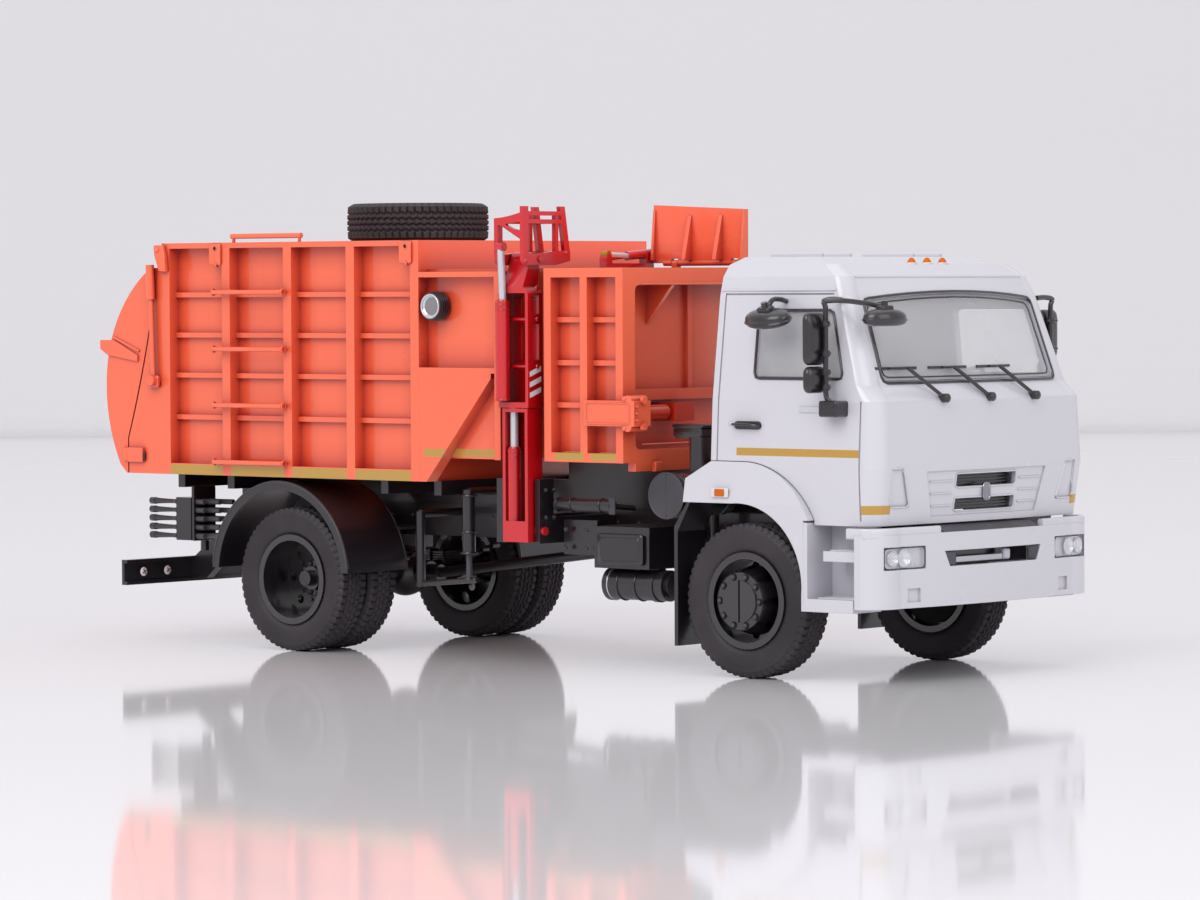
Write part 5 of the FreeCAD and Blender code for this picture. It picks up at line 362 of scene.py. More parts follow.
def blank_material(name: str) -> tuple[bpy.types.Material, Tree, bpy.types.Node]:
    """Starts a material.

    Args:
        name: the material's name.

    Returns:
        The material, its tree and its Principled shader.
    """
    material = bpy.data.materials.new(name)
    material.use_nodes = True
    build = Tree(material.node_tree)
    shader = material.node_tree.nodes["Principled BSDF"]
    return material, build, shader


@dataclass(frozen=True)
class Stripe:
    """A painted line along the truck, in millimetres from the front axle."""

    low: float
    high: float
    rear: float
    front: float
    pitch: float = 1000.0
    gap: float = 0.0
    across: float = 0.0
    tint: Tint = Tint.GOLD


@dataclass(frozen=True)
class Paint:
    """Glossy sprayed enamel, with any stripes that run over it."""

    name: str
    tint: Tint
    # deep: the painted shade colour for corners and recesses, also the end of the faint random mottle.
    deep: Tint
    roughness: float = 0.26
    coat: float = 0.9
    ripple: float = 0.04
    edge: float = 0.16
    # corner: how strongly painted shade darkens corners and recesses.
    corner: float = 1.25
    stripes: tuple[Stripe, ...] = ()

    def build(self, effects: Effects) -> bpy.types.Material:
        """Makes the material.

        Args:
            effects: the shared node groups.

        Returns:
            The paint's material.
        """
        material, build, shader = blank_material(self.name)
        skin = group_node(build, effects.skin, Color=opaque(self.tint.value),
                          Deep_Color=opaque(self.deep.value), Ripple=self.ripple, Edge=self.edge * MM,
                          Roughness=self.roughness,
                          Corner=self.corner)
        colour = skin.outputs["Color"]
        for stripe in self.stripes:
            band = group_node(build, effects.band, Low=stripe.low * MM, High=stripe.high * MM,
                              Rear=(stripe.rear + FRONT_AXLE_X) * MM, Front=(stripe.front + FRONT_AXLE_X) * MM,
                              Pitch=stripe.pitch * MM, Break=stripe.gap * MM, Across=stripe.across * MM)
            colour = build.mix(band.outputs["Mask"], colour, opaque(stripe.tint.value))
        build.link(colour, shader.inputs["Base Color"])
        build.link(skin.outputs["Roughness"], shader.inputs["Roughness"])
        build.link(skin.outputs["Normal"], shader.inputs["Normal"])
        shader.inputs["Coat Weight"].default_value = self.coat
        shader.inputs["Coat Roughness"].default_value = 0.12
        return material


@dataclass(frozen=True)
class Moulding:
    """Moulded plastic or rubber with a fine grain and a little dust."""

    name: str
    tint: Tint
    worn: Tint
    roughness: float = 0.45
    grain: float = 0.15
    scale: float = 2500.0
    edge: float = 0.1
    dust: float = 0.08
    metallic: float = 0.0
    coat: float = 0.0

    def build(self, effects: Effects) -> bpy.types.Material:
        """Makes the material.

        Args:
            effects: the shared node groups.

        Returns:
            The moulding's material.
        """
        material, build, shader = blank_material(self.name)
        grain = group_node(build, effects.grain, Scale=self.scale, Depth=self.grain, Edge=self.edge * MM,
                           Roughness=self.roughness)
        tone = build.mix(grain.outputs["Mask"], opaque(self.tint.value), opaque(self.worn.value))
        bloom = group_node(build, effects.dust, Color=tone, Amount=self.dust)
        build.link(bloom.outputs["Color"], shader.inputs["Base Color"])
        build.link(grain.outputs["Roughness"], shader.inputs["Roughness"])
        build.link(grain.outputs["Normal"], shader.inputs["Normal"])
        shader.inputs["Metallic"].default_value = self.metallic
        shader.inputs["Coat Weight"].default_value = self.coat
        shader.inputs["Coat Roughness"].default_value = 0.14
        return material


@dataclass(frozen=True)
class Clear:
    """Clear or tinted plastic that light goes through."""

    name: str
    tint: Tint
    roughness: float = 0.03
    transmission: float = 1.0
    grain: float = 0.02
    alpha: float = 1.0

    def build(self, effects: Effects) -> bpy.types.Material:
        """Makes the material.

        Args:
            effects: the shared node groups.

        Returns:
            The clear material.
        """
        material, build, shader = blank_material(self.name)
        grain = group_node(build, effects.grain, Scale=300.0, Depth=self.grain, Edge=0.05 * MM,
                           Roughness=self.roughness)
        tone = build.mix(grain.outputs["Mask"], opaque(self.tint.value),
                         opaque(tuple(part * 0.94 for part in self.tint.value)))
        build.link(tone, shader.inputs["Base Color"])
        build.link(grain.outputs["Normal"], shader.inputs["Normal"])
        shader.inputs["Roughness"].default_value = self.roughness
        shader.inputs["Transmission Weight"].default_value = self.transmission
        shader.inputs["Alpha"].default_value = self.alpha
        shader.inputs["IOR"].default_value = 1.3
        return material


class Finish(Enum):
    """Every finish on the model."""

    # Each Paint darkens its corners and recesses with painted shade.
    BODY = Paint("orange_enamel", Tint.ORANGE, Tint.ORANGE_SHADE_MOTTLE, stripes=(
        Stripe(29.3, 31.2, -127.6, -67.6, pitch=14.625, gap=1.9, across=27.0),
        Stripe(33.6, 34.9, -66.2, -50.6, across=26.0),
        Stripe(33.6, 34.9, -39.0, -24.6, pitch=7.6, gap=1.5, across=26.0)))
    PLAIN_ORANGE = Paint("orange_enamel_plain", Tint.ORANGE, Tint.ORANGE_SHADE_MOTTLE)
    # Painted shade: a shaded copy of the orange paint, for the hopper ram and the step ends.
    SHADED_ORANGE = Paint("orange_enamel_painted_shade", Tint.ORANGE_SHADE, Tint.ORANGE_SHADE_MOTTLE)
    CAB = Paint("white_enamel", Tint.WHITE, Tint.WHITE_SHADE_MOTTLE, roughness=0.26, coat=0.6, corner=0.6, stripes=(
        Stripe(35.0, 36.2, -0.9, 23.2),
        Stripe(26.3, 27.7, 23.3, 26.55, across=23.6)))
    ARM = Paint("red_enamel", Tint.RED, Tint.RED_SHADE_MOTTLE, roughness=0.28)
    TYRE = Moulding("tyre_rubber", Tint.RUBBER, Tint.DARK, roughness=0.62, grain=0.3, dust=0.1)
    RIM = Paint("black_enamel", Tint.BLACK, Tint.DARK, roughness=0.3, coat=1.0, edge=0.08)
    CHASSIS = Moulding("chassis_black", Tint.BLACK, Tint.DARK, roughness=0.34, grain=0.1, dust=0.05, coat=0.7)
    PLASTIC = Moulding("black_plastic", Tint.BLACK, Tint.DARK, roughness=0.32, grain=0.08, dust=0.05, coat=0.7)
    # Painted shadow: a matte near-black for discs and rings set where holes and recesses lie in shade.
    SHADOW = Moulding("painted_shadow_black", Tint.DARK, Tint.DARK, roughness=0.8, grain=0.1, dust=0.0)
    GREY = Moulding("grey_plastic", Tint.GREY, Tint.BLACK, roughness=0.5, grain=0.2)
    SEAT = Moulding("cabin_plastic", Tint.SEAT, Tint.GREY, roughness=0.55, grain=0.3)
    STEEL = Moulding("polished_steel", Tint.STEEL, Tint.GREY, roughness=0.2, grain=0.04, dust=0.0, metallic=1.0)
    # Painted reflection: the pale colour at part opacity stands in for the haze of reflections on the windows.
    GLASS = Clear("window_glazing_painted_reflection", Tint.CLEAR, transmission=0.0, alpha=0.28)
    LENS = Clear("lamp_lens", Tint.CLEAR, roughness=0.06, transmission=0.0, grain=0.2, alpha=0.24)
    AMBER = Clear("amber_lens", Tint.AMBER, roughness=0.15, transmission=0.35)
    LAMP_RED = Clear("red_lens", Tint.LAMP_RED, roughness=0.15, transmission=0.3)
    SILVER = Moulding("bright_metal", Tint.SILVER, Tint.STEEL, roughness=0.16, grain=0.03, dust=0.0,
                      metallic=0.5)
    BRASS = Moulding("brass", Tint.BRASS, Tint.GOLD, roughness=0.3, grain=0.05, dust=0.0, metallic=0.8)
    MARK = Moulding("white_marking", Tint.MARK, Tint.WHITE, roughness=0.4, grain=0.05, dust=0.0)


class Palette:
    """The materials, each built once."""

    def __init__(self) -> None:
        """Builds the shared groups and every finish."""
        effects = Effects()
        self.made = {finish: finish.value.build(effects) for finish in Finish}

    def __getitem__(self, finish: Finish) -> bpy.types.Material:
        """Gives the material of a finish."""
        return self.made[finish]


# Meshes from whole arrays

def smooth_line(points: Sequence[Sequence[float]], count: int) -> np.ndarray:
    """Carries a Catmull-Rom curve through points.

    Each stretch is (2b + (c - a)t + (2a - 5b + 4c - d)t^2 + (3b - a - 3c + d)t^3) / 2 between b and c.

    Args:
        points: the points that the curve goes through.
        count: how many points it gets.

    Returns:
        The curve, one row a point.
    """
    given = np.asarray(points, float)
    padded = np.vstack((2 * given[0] - given[1], given, 2 * given[-1] - given[-2]))
    run = np.linspace(0, len(given) - 1, count)
    first = np.minimum(run.astype(int), len(given) - 2)
    t = (run - first)[:, None]
    a, b, c, d = (padded[first + step] for step in range(4))
    return (2 * b + (c - a) * t + (2 * a - 5 * b + 4 * c - d) * t ** 2 + (3 * b - a - 3 * c + d) * t ** 3) / 2


def spun(profile: np.ndarray, sides: int) -> np.ndarray:
    """Spins a profile round local Z: (r cos u, r sin u, h).

    Args:
        profile: rows of radius and height.
        sides: steps round the axis.

    Returns:
        Points on a grid, turn by profile.
    """
    turn = np.linspace(0, 2 * math.pi, sides + 1)[:, None]
    radius = profile[None, :, 0]
    height = np.broadcast_to(profile[None, :, 1], (sides + 1, len(profile)))
    return np.stack((radius * np.cos(turn), radius * np.sin(turn), height), axis=-1)


def swept(path: np.ndarray, section: np.ndarray, up: Triple = (0.0, 0.0, 1.0)) -> np.ndarray:
    """Carries a section along a path: path + s (t x up) + v (t x (t x up)), with its ends closed.

    Args:
        path: points along the middle.
        section: rows of sideways and upward offsets, with the first repeated last if closed.
        up: a direction that the path never follows.

    Returns:
        Points on a grid, path by section.
    """
    run = np.gradient(path, axis=0)
    run /= np.linalg.norm(run, axis=1, keepdims=True)
    across = np.cross(run, up)
    across /= np.linalg.norm(across, axis=1, keepdims=True)
    rise = np.cross(across, run)
    body = (path[:, None] + section[None, :, 0, None] * across[:, None]
            + section[None, :, 1, None] * rise[:, None])
    ends = [np.broadcast_to(path[index], (1, len(section), 3)) for index in (0, -1)]
    return np.concatenate((ends[0], body, ends[1]))


def ellipse(half_long: float, half_wide: float, sides: int = 28) -> np.ndarray:
    """A closed oval outline: (a cos u, b sin u)."""
    return circle(1.0, sides) * (half_long, half_wide)


def circle(radius: float, sides: int = 12) -> np.ndarray:
    """A closed round section: (r cos u, r sin u)."""
    turn = np.linspace(0, 2 * math.pi, sides + 1)
    return np.stack((radius * np.cos(turn), radius * np.sin(turn)), axis=-1)


def prism(outline: np.ndarray, height: float, round_off: float = 0.0) -> np.ndarray:
    """Raises an outline that can be seen whole from its middle, with softened edges.

    Rows go from the middle at height 0, out over the drawn-in and full outline, and back to the middle
    at full height. Drawn in is outline (1 - round_off / size).

    Args:
        outline: rows of x and y, first repeated last.
        height: how far it is raised.
        round_off: the width of the chamfer.

    Returns:
        Points on a grid, level by outline.
    """
    middle = outline[:-1].mean(axis=0)
    size = np.abs(outline - middle).max()
    small = middle + (outline - middle) * (1 - round_off / size)
    flat = np.broadcast_to(middle, outline.shape)
    levels = ((flat, 0.0), (small, 0.0), (outline, min(round_off, height / 2)),
              (outline, height - min(round_off, height / 2)), (small, height), (flat, height))
    return np.stack([np.column_stack((plan, np.full(len(plan), z))) for plan, z in levels])


def rounded_box(width: float, depth: float, corner: float, steps: int = 4) -> np.ndarray:
    """A rectangle with round corners: each corner is its centre + r (cos u, sin u).

    Args:
        width: size along the first axis.
        depth: size along the second axis.
        corner: radius of the corners.
        steps: points on each corner.

    Returns:
        Rows of x and y, first repeated last.
    """
    turn = np.linspace(0, math.pi / 2, steps)
    quarter = np.stack((np.cos(turn), np.sin(turn)), axis=-1) * corner
    inner = np.array((width / 2 - corner, depth / 2 - corner))
    parts = []
    for index, signs in enumerate(((1, 1), (-1, 1), (-1, -1), (1, -1))):
        arc = quarter * signs
        parts.append((arc if index % 2 == 0 else arc[::-1]) + inner * signs)
    parts.append(parts[0][:1])
    return np.vstack(parts)


def resampled(path: np.ndarray, step: float) -> np.ndarray:
    """Spreads points evenly along straight stretches between the given ones.

    Args:
        path: the corner points.
        step: the distance between points, in millimetres.

    Returns:
        The path with a point about every step.
    """
    lengths = np.linalg.norm(np.diff(path, axis=0), axis=1)
    total = np.concatenate(((0.0,), np.cumsum(lengths)))
    run = np.linspace(0, total[-1], max(3, int(total[-1] / step) + 1))
    return np.stack([np.interp(run, total, path[:, axis]) for axis in range(path.shape[1])], axis=-1)


def rounded_loop(corners: Sequence[Sequence[float]], radius: float, steps: int = 5) -> np.ndarray:
    """A closed outline with blended corners.

    Each corner c between a and b on its two edges is (1 - t)^2 a + 2 t (1 - t) c + t^2 b.

    Args:
        corners: the outline's corners in order.
        radius: how far from a corner its blend starts.
        steps: points on each blend.

    Returns:
        Rows of two coordinates, first repeated last.
    """
    c = np.asarray(corners, float)
    before, after = np.roll(c, 1, axis=0) - c, np.roll(c, -1, axis=0) - c
    a = c + before / np.linalg.norm(before, axis=1, keepdims=True) * radius
    b = c + after / np.linalg.norm(after, axis=1, keepdims=True) * radius
    t = np.linspace(0, 1, steps)[None, :, None]
    blend = (1 - t) ** 2 * a[:, None] + 2 * t * (1 - t) * c[:, None] + t ** 2 * b[:, None]
    flat = blend.reshape(-1, 2)
    return np.vstack((flat, flat[:1]))


def looped(path: np.ndarray, section: np.ndarray, up: Triple) -> np.ndarray:
    """Carries a section round a closed path, with the same frame as an open sweep.

    Args:
        path: points round the loop, first repeated last.
        section: rows of sideways and upward offsets, first repeated last.
        up: a direction that the path never follows.

    Returns:
        Points on a grid, path by section.
    """
    ring = path[:-1]
    run = np.roll(ring, -1, axis=0) - np.roll(ring, 1, axis=0)
    run /= np.linalg.norm(run, axis=1, keepdims=True)
    across = np.cross(run, up)
    across /= np.linalg.norm(across, axis=1, keepdims=True)
    rise = np.cross(across, run)
    body = (ring[:, None] + section[None, :, 0, None] * across[:, None]
            + section[None, :, 1, None] * rise[:, None])
    return np.concatenate((body, body[:1]))


def domed(outline: np.ndarray, height: float, power: float = 2.2, rows: int = 8) -> np.ndarray:
    """Raises an outline into a dome, scale (1 - h^power)^(1 / power) at height h, closed underneath.

    Args:
        outline: rows of x and y about the middle, first repeated last.
        height: the dome's height.
        power: 2 for round, more for a boxy shell.
        rows: steps from the rim to the top.

    Returns:
        Points on a grid, level by outline.
    """
    level = np.sin(np.linspace(0, math.pi / 2, rows))
    scale = np.concatenate(((0.0,), (1 - level ** power).clip(0) ** (1 / power)))
    rise = np.concatenate(((0.0,), level * height))
    flat = outline[None] * scale[:, None, None]
    return np.concatenate((flat, np.broadcast_to(rise[:, None, None], flat.shape[:2] + (1,))), axis=-1)


def rod(start: Triple, end: Triple, radius: float, sides: int = 14) -> np.ndarray:
    """A straight round bar with closed ends, from start to end."""
    path = np.linspace(start, end, 2)
    run = path[1] - path[0]
    up = (0.0, 0.0, 1.0) if abs(run[2]) < 0.9 * np.linalg.norm(run) else (1.0, 0.0, 0.0)
    return swept(path, circle(radius, sides), up)


def pipe(points: Sequence[Triple], radius: float, count: int = 24, sides: int = 8) -> np.ndarray:
    """A pipe along a smooth curve through points."""
    return swept(smooth_line(points, count), circle(radius, sides), (0.13, 0.21, 0.97))


def ring(radius: float, thick: float, sides: int = 32) -> np.ndarray:
    """A round bead about local Z: radius + thick cos v, thick sin v."""
    return spun(circle(thick, 8) + (radius, 0.0), sides)


def hexagon(size: float) -> np.ndarray:
    """The outline of a hex head, (r cos u, r sin u) at six turns."""
    return circle(size, 6)


@dataclass(frozen=True)
class Seat:
    """A place on the truck with three local axes."""

    spot: Triple
    across: Triple = (1.0, 0.0, 0.0)
    up: Triple = (0.0, 1.0, 0.0)
    out: Triple = (0.0, 0.0, 1.0)

    def carry(self, points: np.ndarray) -> np.ndarray:
        """Moves local points to the truck: spot + a across + b up + c out."""
        axes = np.array((self.across, self.up, self.out))
        return np.asarray(points) @ axes + np.asarray(self.spot)


def facing_side(x: float, y: float, z: float) -> Seat:
    """A seat on a flank, looking out along the sign of y."""
    sign = 1.0 if y > 0 else -1.0
    return Seat((x, y, z), (-sign, 0.0, 0.0), (0.0, 0.0, 1.0), (0.0, sign, 0.0))


def facing_front(x: float, y: float, z: float, sign: float = 1.0) -> Seat:
    """A seat on a face that looks forward, or back with a sign of -1."""
    return Seat((x, y, z), (0.0, sign, 0.0), (0.0, 0.0, 1.0), (sign, 0.0, 0.0))


class Piece:
    """One shown piece, gathered from grids of points and made into a single mesh."""

    def __init__(self, name: str) -> None:
        """Starts an empty piece."""
        self.name = name
        self.points: list[np.ndarray] = []
        self.faces: list[np.ndarray] = []
        self.count = 0

    def add(self, grid: np.ndarray) -> "Piece":
        """Adds a grid of points as a sheet of four-sided faces.

        Args:
            grid: points in millimetres from the front axle, rows by columns.

        Returns:
            The piece itself.
        """
        rows, columns = grid.shape[:2]
        index = np.arange(rows * columns).reshape(rows, columns) + self.count
        quads = np.stack((index[:-1, :-1], index[1:, :-1], index[1:, 1:], index[:-1, 1:]), axis=-1)
        self.points.append(grid.reshape(-1, 3))
        self.faces.append(quads.reshape(-1, 4))
        self.count += rows * columns
        return self

    def make(self, material: bpy.types.Material, body: str, slot: str, replaces: Iterable[str] = (),
             sharp: float = 35.0) -> bpy.types.Object:
        """Turns the gathered grids into a mesh that rides a body.

        Args:
            material: its finish.
            body: the CAD body that it moves with.
            slot: the record's material slot; not used.
            replaces: CAD nodes that it stands for.
            sharp: the angle in degrees past which an edge stays sharp.

        Returns:
            The new object.
        """
        points = (np.vstack(self.points) + (FRONT_AXLE_X, 0, 0)) * MM
        mesh = bpy.data.meshes.new(self.name)
        mesh.from_pydata(points, [], np.vstack(self.faces).tolist())
        work = bmesh.new()
        work.from_mesh(mesh)
        bmesh.ops.remove_doubles(work, verts=work.verts, dist=0.002 * MM)
        bmesh.ops.recalc_face_normals(work, faces=work.faces)
        work.to_mesh(mesh)
        work.free()
        mesh.shade_smooth()
        mesh.set_sharp_from_angle(angle=math.radians(sharp))
        mesh.materials.append(material)
        made = bpy.data.objects.new(self.name, mesh)
        bpy.context.scene.collection.objects.link(made)
        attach(made, body)
        for node in replaces:
            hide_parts(node)
        log.info("%s: %d faces on %s", self.name, len(mesh.polygons), body)
        return made


class Skin:
    """The outer surface of CAD nodes, to lay trim on."""

    def __init__(self, *nodes: str) -> None:
        """Reads the triangles of the nodes, in millimetres from the front axle."""
        found = []
        for node in nodes:
            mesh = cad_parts[node].data
            mesh.calc_loop_triangles()
            points = np.empty(len(mesh.vertices) * 3)
            mesh.vertices.foreach_get("co", points)
            index = np.empty(len(mesh.loop_triangles) * 3, dtype=np.int64)
            mesh.loop_triangles.foreach_get("vertices", index)
            turn = np.array(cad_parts[node].matrix_world)
            placed = points.reshape(-1, 3) @ turn[:3, :3].T + turn[:3, 3]
            found.append((placed / MM - (FRONT_AXLE_X, 0, 0))[index].reshape(-1, 3, 3))
        self.corners = np.concatenate(found)

    def reach(self, flat: np.ndarray, axis: int, sign: float) -> np.ndarray:
        """Finds the outermost surface above points, from the barycentric weights in every triangle.

        Args:
            flat: rows of the two coordinates that aren't the axis.
            axis: 0, 1 or 2 for the direction looked along.
            sign: 1 for the surface furthest along the axis, -1 for the other side.

        Returns:
            Each point's coordinate on the axis.
        """
        keep = [index for index in range(3) if index != axis]
        a, b, c = (self.corners[:, step][:, keep] for step in range(3))
        size = (b - a)[:, 0] * (c - a)[:, 1] - (b - a)[:, 1] * (c - a)[:, 0]
        size = np.where(np.abs(size) < 1e-9, np.nan, size)
        p = flat[:, None] - a[None]
        second = (p[..., 0] * (c - a)[:, 1] - p[..., 1] * (c - a)[:, 0]) / size
        third = ((b - a)[:, 0] * p[..., 1] - (b - a)[:, 1] * p[..., 0]) / size
        inside = (second >= -1e-6) & (third >= -1e-6) & (second + third <= 1 + 1e-6)
        depth = self.corners[..., axis]
        value = depth[:, 0] + second * (depth[:, 1] - depth[:, 0]) + third * (depth[:, 2] - depth[:, 0])
        best = np.where(inside, value * sign, -np.inf).max(axis=1)
        known = np.isfinite(best)
        places = np.arange(len(best))
        return np.interp(places, places[known], best[known]) * sign

    def front(self, flat: np.ndarray, lift: float = 0.0) -> np.ndarray:
        """Lays rows of y and z on the forward face, lifted off it."""
        return np.column_stack((self.reach(flat, 0, 1.0) + lift, flat))

    def flank(self, flat: np.ndarray, sign: float, lift: float = 0.0) -> np.ndarray:
        """Lays rows of x and z on a flank, lifted off it."""
        return np.column_stack((flat[:, 0], self.reach(flat, 1, sign) + sign * lift, flat[:, 1]))


# Tyres and wheels

@dataclass
class Tyre:
    """A truck tyre with zigzag ribs, sipes, shoulder lugs and ringed flanks."""

    width: float = 6.48
    bead_radius: float = 7.2
    tread_half: float = 2.5
    groove_depth: float = 0.42
    groove_width: float = 0.3
    groove_places: tuple[float, ...] = (-1.45, -0.48, 0.48, 1.45)
    zigzag: float = 0.13
    pitches: int = 58
    per_pitch: int = 6

    def section(self, radius: float) -> np.ndarray:
        """The tyre's outline from one bead over the tread to the other.

        Args:
            radius: the tread's radius.

        Returns:
            Rows of radius and distance from the middle.
        """
        half = self.width / 2
        flank = smooth_line(((self.bead_radius, half - 0.79), (7.75, half - 0.72), (8.3, half - 0.24),
                             (9.4, half - 0.04), (10.6, half), (11.4, half - 0.14),
                             (radius - 0.1, half - 0.6)), 22)
        middle = np.linspace(self.tread_half, -self.tread_half, 35)
        crown = np.column_stack((radius - 0.02 * middle ** 2, middle))
        return np.vstack((flank, crown, flank[::-1] * (1, -1)))

    def surface(self, radius: float) -> np.ndarray:
        """Works the tread and the rings into the outline.

        The tread is radius - depth where the distance to a zigzag groove, y = place + zigzag sin(pitch u),
        is less than half its width, or where the turn is inside a sipe.

        Args:
            radius: the tread's radius.

        Returns:
            Grid of x, y and z round the tyre's middle, turn by outline.
        """
        outline = self.section(radius)
        steps = self.pitches * self.per_pitch
        turn = np.linspace(0, 2 * math.pi, steps + 1)[:, None]
        r = np.broadcast_to(outline[:, 0], (steps + 1, len(outline))).copy()
        y = np.broadcast_to(outline[:, 1], r.shape)
        phase = turn * self.pitches
        wave = self.zigzag * np.sin(phase)
        depth = np.zeros_like(r)
        for place in self.groove_places:
            away = np.abs(y - place - wave * np.sign(place))
            depth = np.maximum(depth, self.groove_depth * np.clip(1.6 - 2 * away / self.groove_width, 0, 1))
        row = np.searchsorted(self.groove_places, y)
        sipe = np.clip(1.8 * np.cos(phase + row * math.pi) - 0.75, 0, 1)
        on_tread = np.abs(y) < self.tread_half + 0.12
        edge = np.abs(y) > abs(self.groove_places[0])
        depth = np.where(on_tread, np.maximum(depth, sipe * np.where(edge, 0.4, 0.22)), 0.0)
        lug = (r > 11.35) & ~on_tread
        depth = np.where(lug, np.clip(1.8 * np.cos(phase) - 0.5, 0, 1) * 0.28, depth)
        bead = 0.08 * np.exp(-((r - 7.95) / 0.1) ** 2) + 0.07 * np.exp(-((r - 11.1) / 0.09) ** 2)
        y = y + np.sign(y) * bead * (r < 11.35)
        r = r - depth
        return np.stack((r * np.cos(turn), y, r * np.sin(turn)), axis=-1)


@dataclass
class Wheels:
    """The road wheels and the spare: tyres with tread and wheel nuts."""

    palette: Palette
    tyre: Tyre = field(default_factory=Tyre)
    nut_size: float = 0.4
    nut_rise: float = 0.36
    nut_count: int = 10
    front_nuts: tuple[float, float] = (3.95, 28.15)
    rear_nuts: tuple[float, float] = (2.45, 22.7)
    # lip: radii of the grey bead on the rim's lip, a painted highlight, and of its dark ring, a painted shadow.
    lip: tuple[float, float] = (6.62, 7.18)
    # drum: a matte black ring behind the front rim's hand holes, painted shadow.
    drum: tuple[float, float] = (2.6, 6.1)
    drum_set: float = 5.3
    drum_depth: float = 1.5

    def build(self) -> None:
        """Makes every tyre and the nuts of every wheel."""
        for label, side in (("left", Side.LEFT), ("right", Side.RIGHT)):
            self._tyres(f"tyre_front_{label}", f"wheel_front_{label}", 1)
            self._tyres(f"tyres_rear_{label}", f"wheels_rear_{label}", 2)
            self._nuts(label, side)
        self._spare()

    def _tyres(self, node: str, body: str, count: int) -> None:
        """Replaces one node's tyres.

        Args:
            node: the CAD node.
            body: its body.
            count: one tyre, or two beside each other.
        """
        low, high = (np.array(corner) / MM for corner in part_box(node))
        centre = (low + high) / 2
        radius = (high[2] - low[2]) / 2
        surface = self.tyre.surface(radius)
        piece = Piece(node.replace("tyre", "tread"))
        reach = (high[1] - low[1] - self.tyre.width) / 2
        for step in (-1, 1)[:count]:
            shift = centre - (FRONT_AXLE_X, 0, 0) + (0, step * reach if count == 2 else 0, 0)
            piece.add(surface + shift)
        piece.make(self.palette[Finish.TYRE], body, "tyre", (node,))

    def _nuts(self, label: str, side: Side) -> None:
        """Sets a ring of nuts in their sockets on both hubs of a side. The sockets, a ring over each rim's lip
        and a disc behind the front hand holes are painted shadow in matte black, and a grey bead on the lip's
        inner edge is a painted highlight.

        Args:
            label: the side's name in the bodies.
            side: the side.
        """
        s = side.value
        for body, x, (reach, face), lip in ((f"wheel_front_{label}", 0.0, self.front_nuts, 26.7),
                                            (f"wheels_rear_{label}", REAR_AXLE, self.rear_nuts, 28.3)):
            nuts, sockets = Piece(f"nuts_{body}"), Piece(f"sockets_{body}")
            middle = facing_side(x, s * face, 12.21)
            for turn in (np.arange(self.nut_count) + 0.5) * 2 * math.pi / self.nut_count:
                spot = (reach * math.sin(turn), reach * math.cos(turn), 0.0)
                nuts.add(middle.carry(prism(hexagon(self.nut_size), self.nut_rise, 0.1) + spot))
                nuts.add(middle.carry(domed(circle(0.22, 10), 0.2) + spot + (0, 0, self.nut_rise - 0.02)))
                # Painted shadow: a matte black disc under each nut.
                floor = ((0.0, 0.03), (self.nut_size + 0.2, 0.03), (self.nut_size + 0.24, -0.1))
                sockets.add(middle.carry(spun(np.array(floor), 16) + spot))
            edge = facing_side(x, s * lip, 12.21)
            inner, outer = self.lip
            # Painted highlight: a grey bead on the inner edge of the rim's lip, carried by the nuts piece.
            nuts.add(edge.carry(ring(inner, 0.08, 60)))
            # Painted shadow: a matte black ring over the rim's lip.
            shade = Piece(f"rim_shade_{body}")
            slope = ((inner + 0.02, 0.03), (outer, 0.04), (outer + 0.1, -0.3))
            shade.add(edge.carry(spun(np.array(slope), 60)))
            # Painted shadow: a matte black ring behind the front rim's hand holes.
            drum = facing_side(x, s * (face - self.drum_set), 12.21)
            if reach > 3:
                hole, rim = self.drum
                low = -self.drum_depth
                outline = ((hole, low), (hole, 0.0), (rim, 0.0), (rim, low), (hole, low))
                shade.add(drum.carry(spun(np.array(outline), 40)))
            shade.make(self.palette[Finish.SHADOW], body, "rim_black")
            # Painted shadow: a thin dark ring round the nuts.
            sockets.add(middle.carry(ring(reach + 0.6, 0.06, 40)))
            nuts.make(self.palette[Finish.GREY], body, "grey_plastic")
            sockets.make(self.palette[Finish.SHADOW], body, "rim_black")

    def _spare(self) -> None:
        """Replaces the spare tyre, which lies flat."""
        low, high = (np.array(corner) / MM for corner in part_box("spare_tyre"))
        centre = (low + high) / 2 - (FRONT_AXLE_X, 0, 0)
        surface = self.tyre.surface((high[0] - low[0]) / 2)[..., [0, 2, 1]]
        Piece("spare_tread").add(surface + centre).make(
            self.palette[Finish.TYRE], "truck", "tyre", ("spare_tyre",))


# Cab

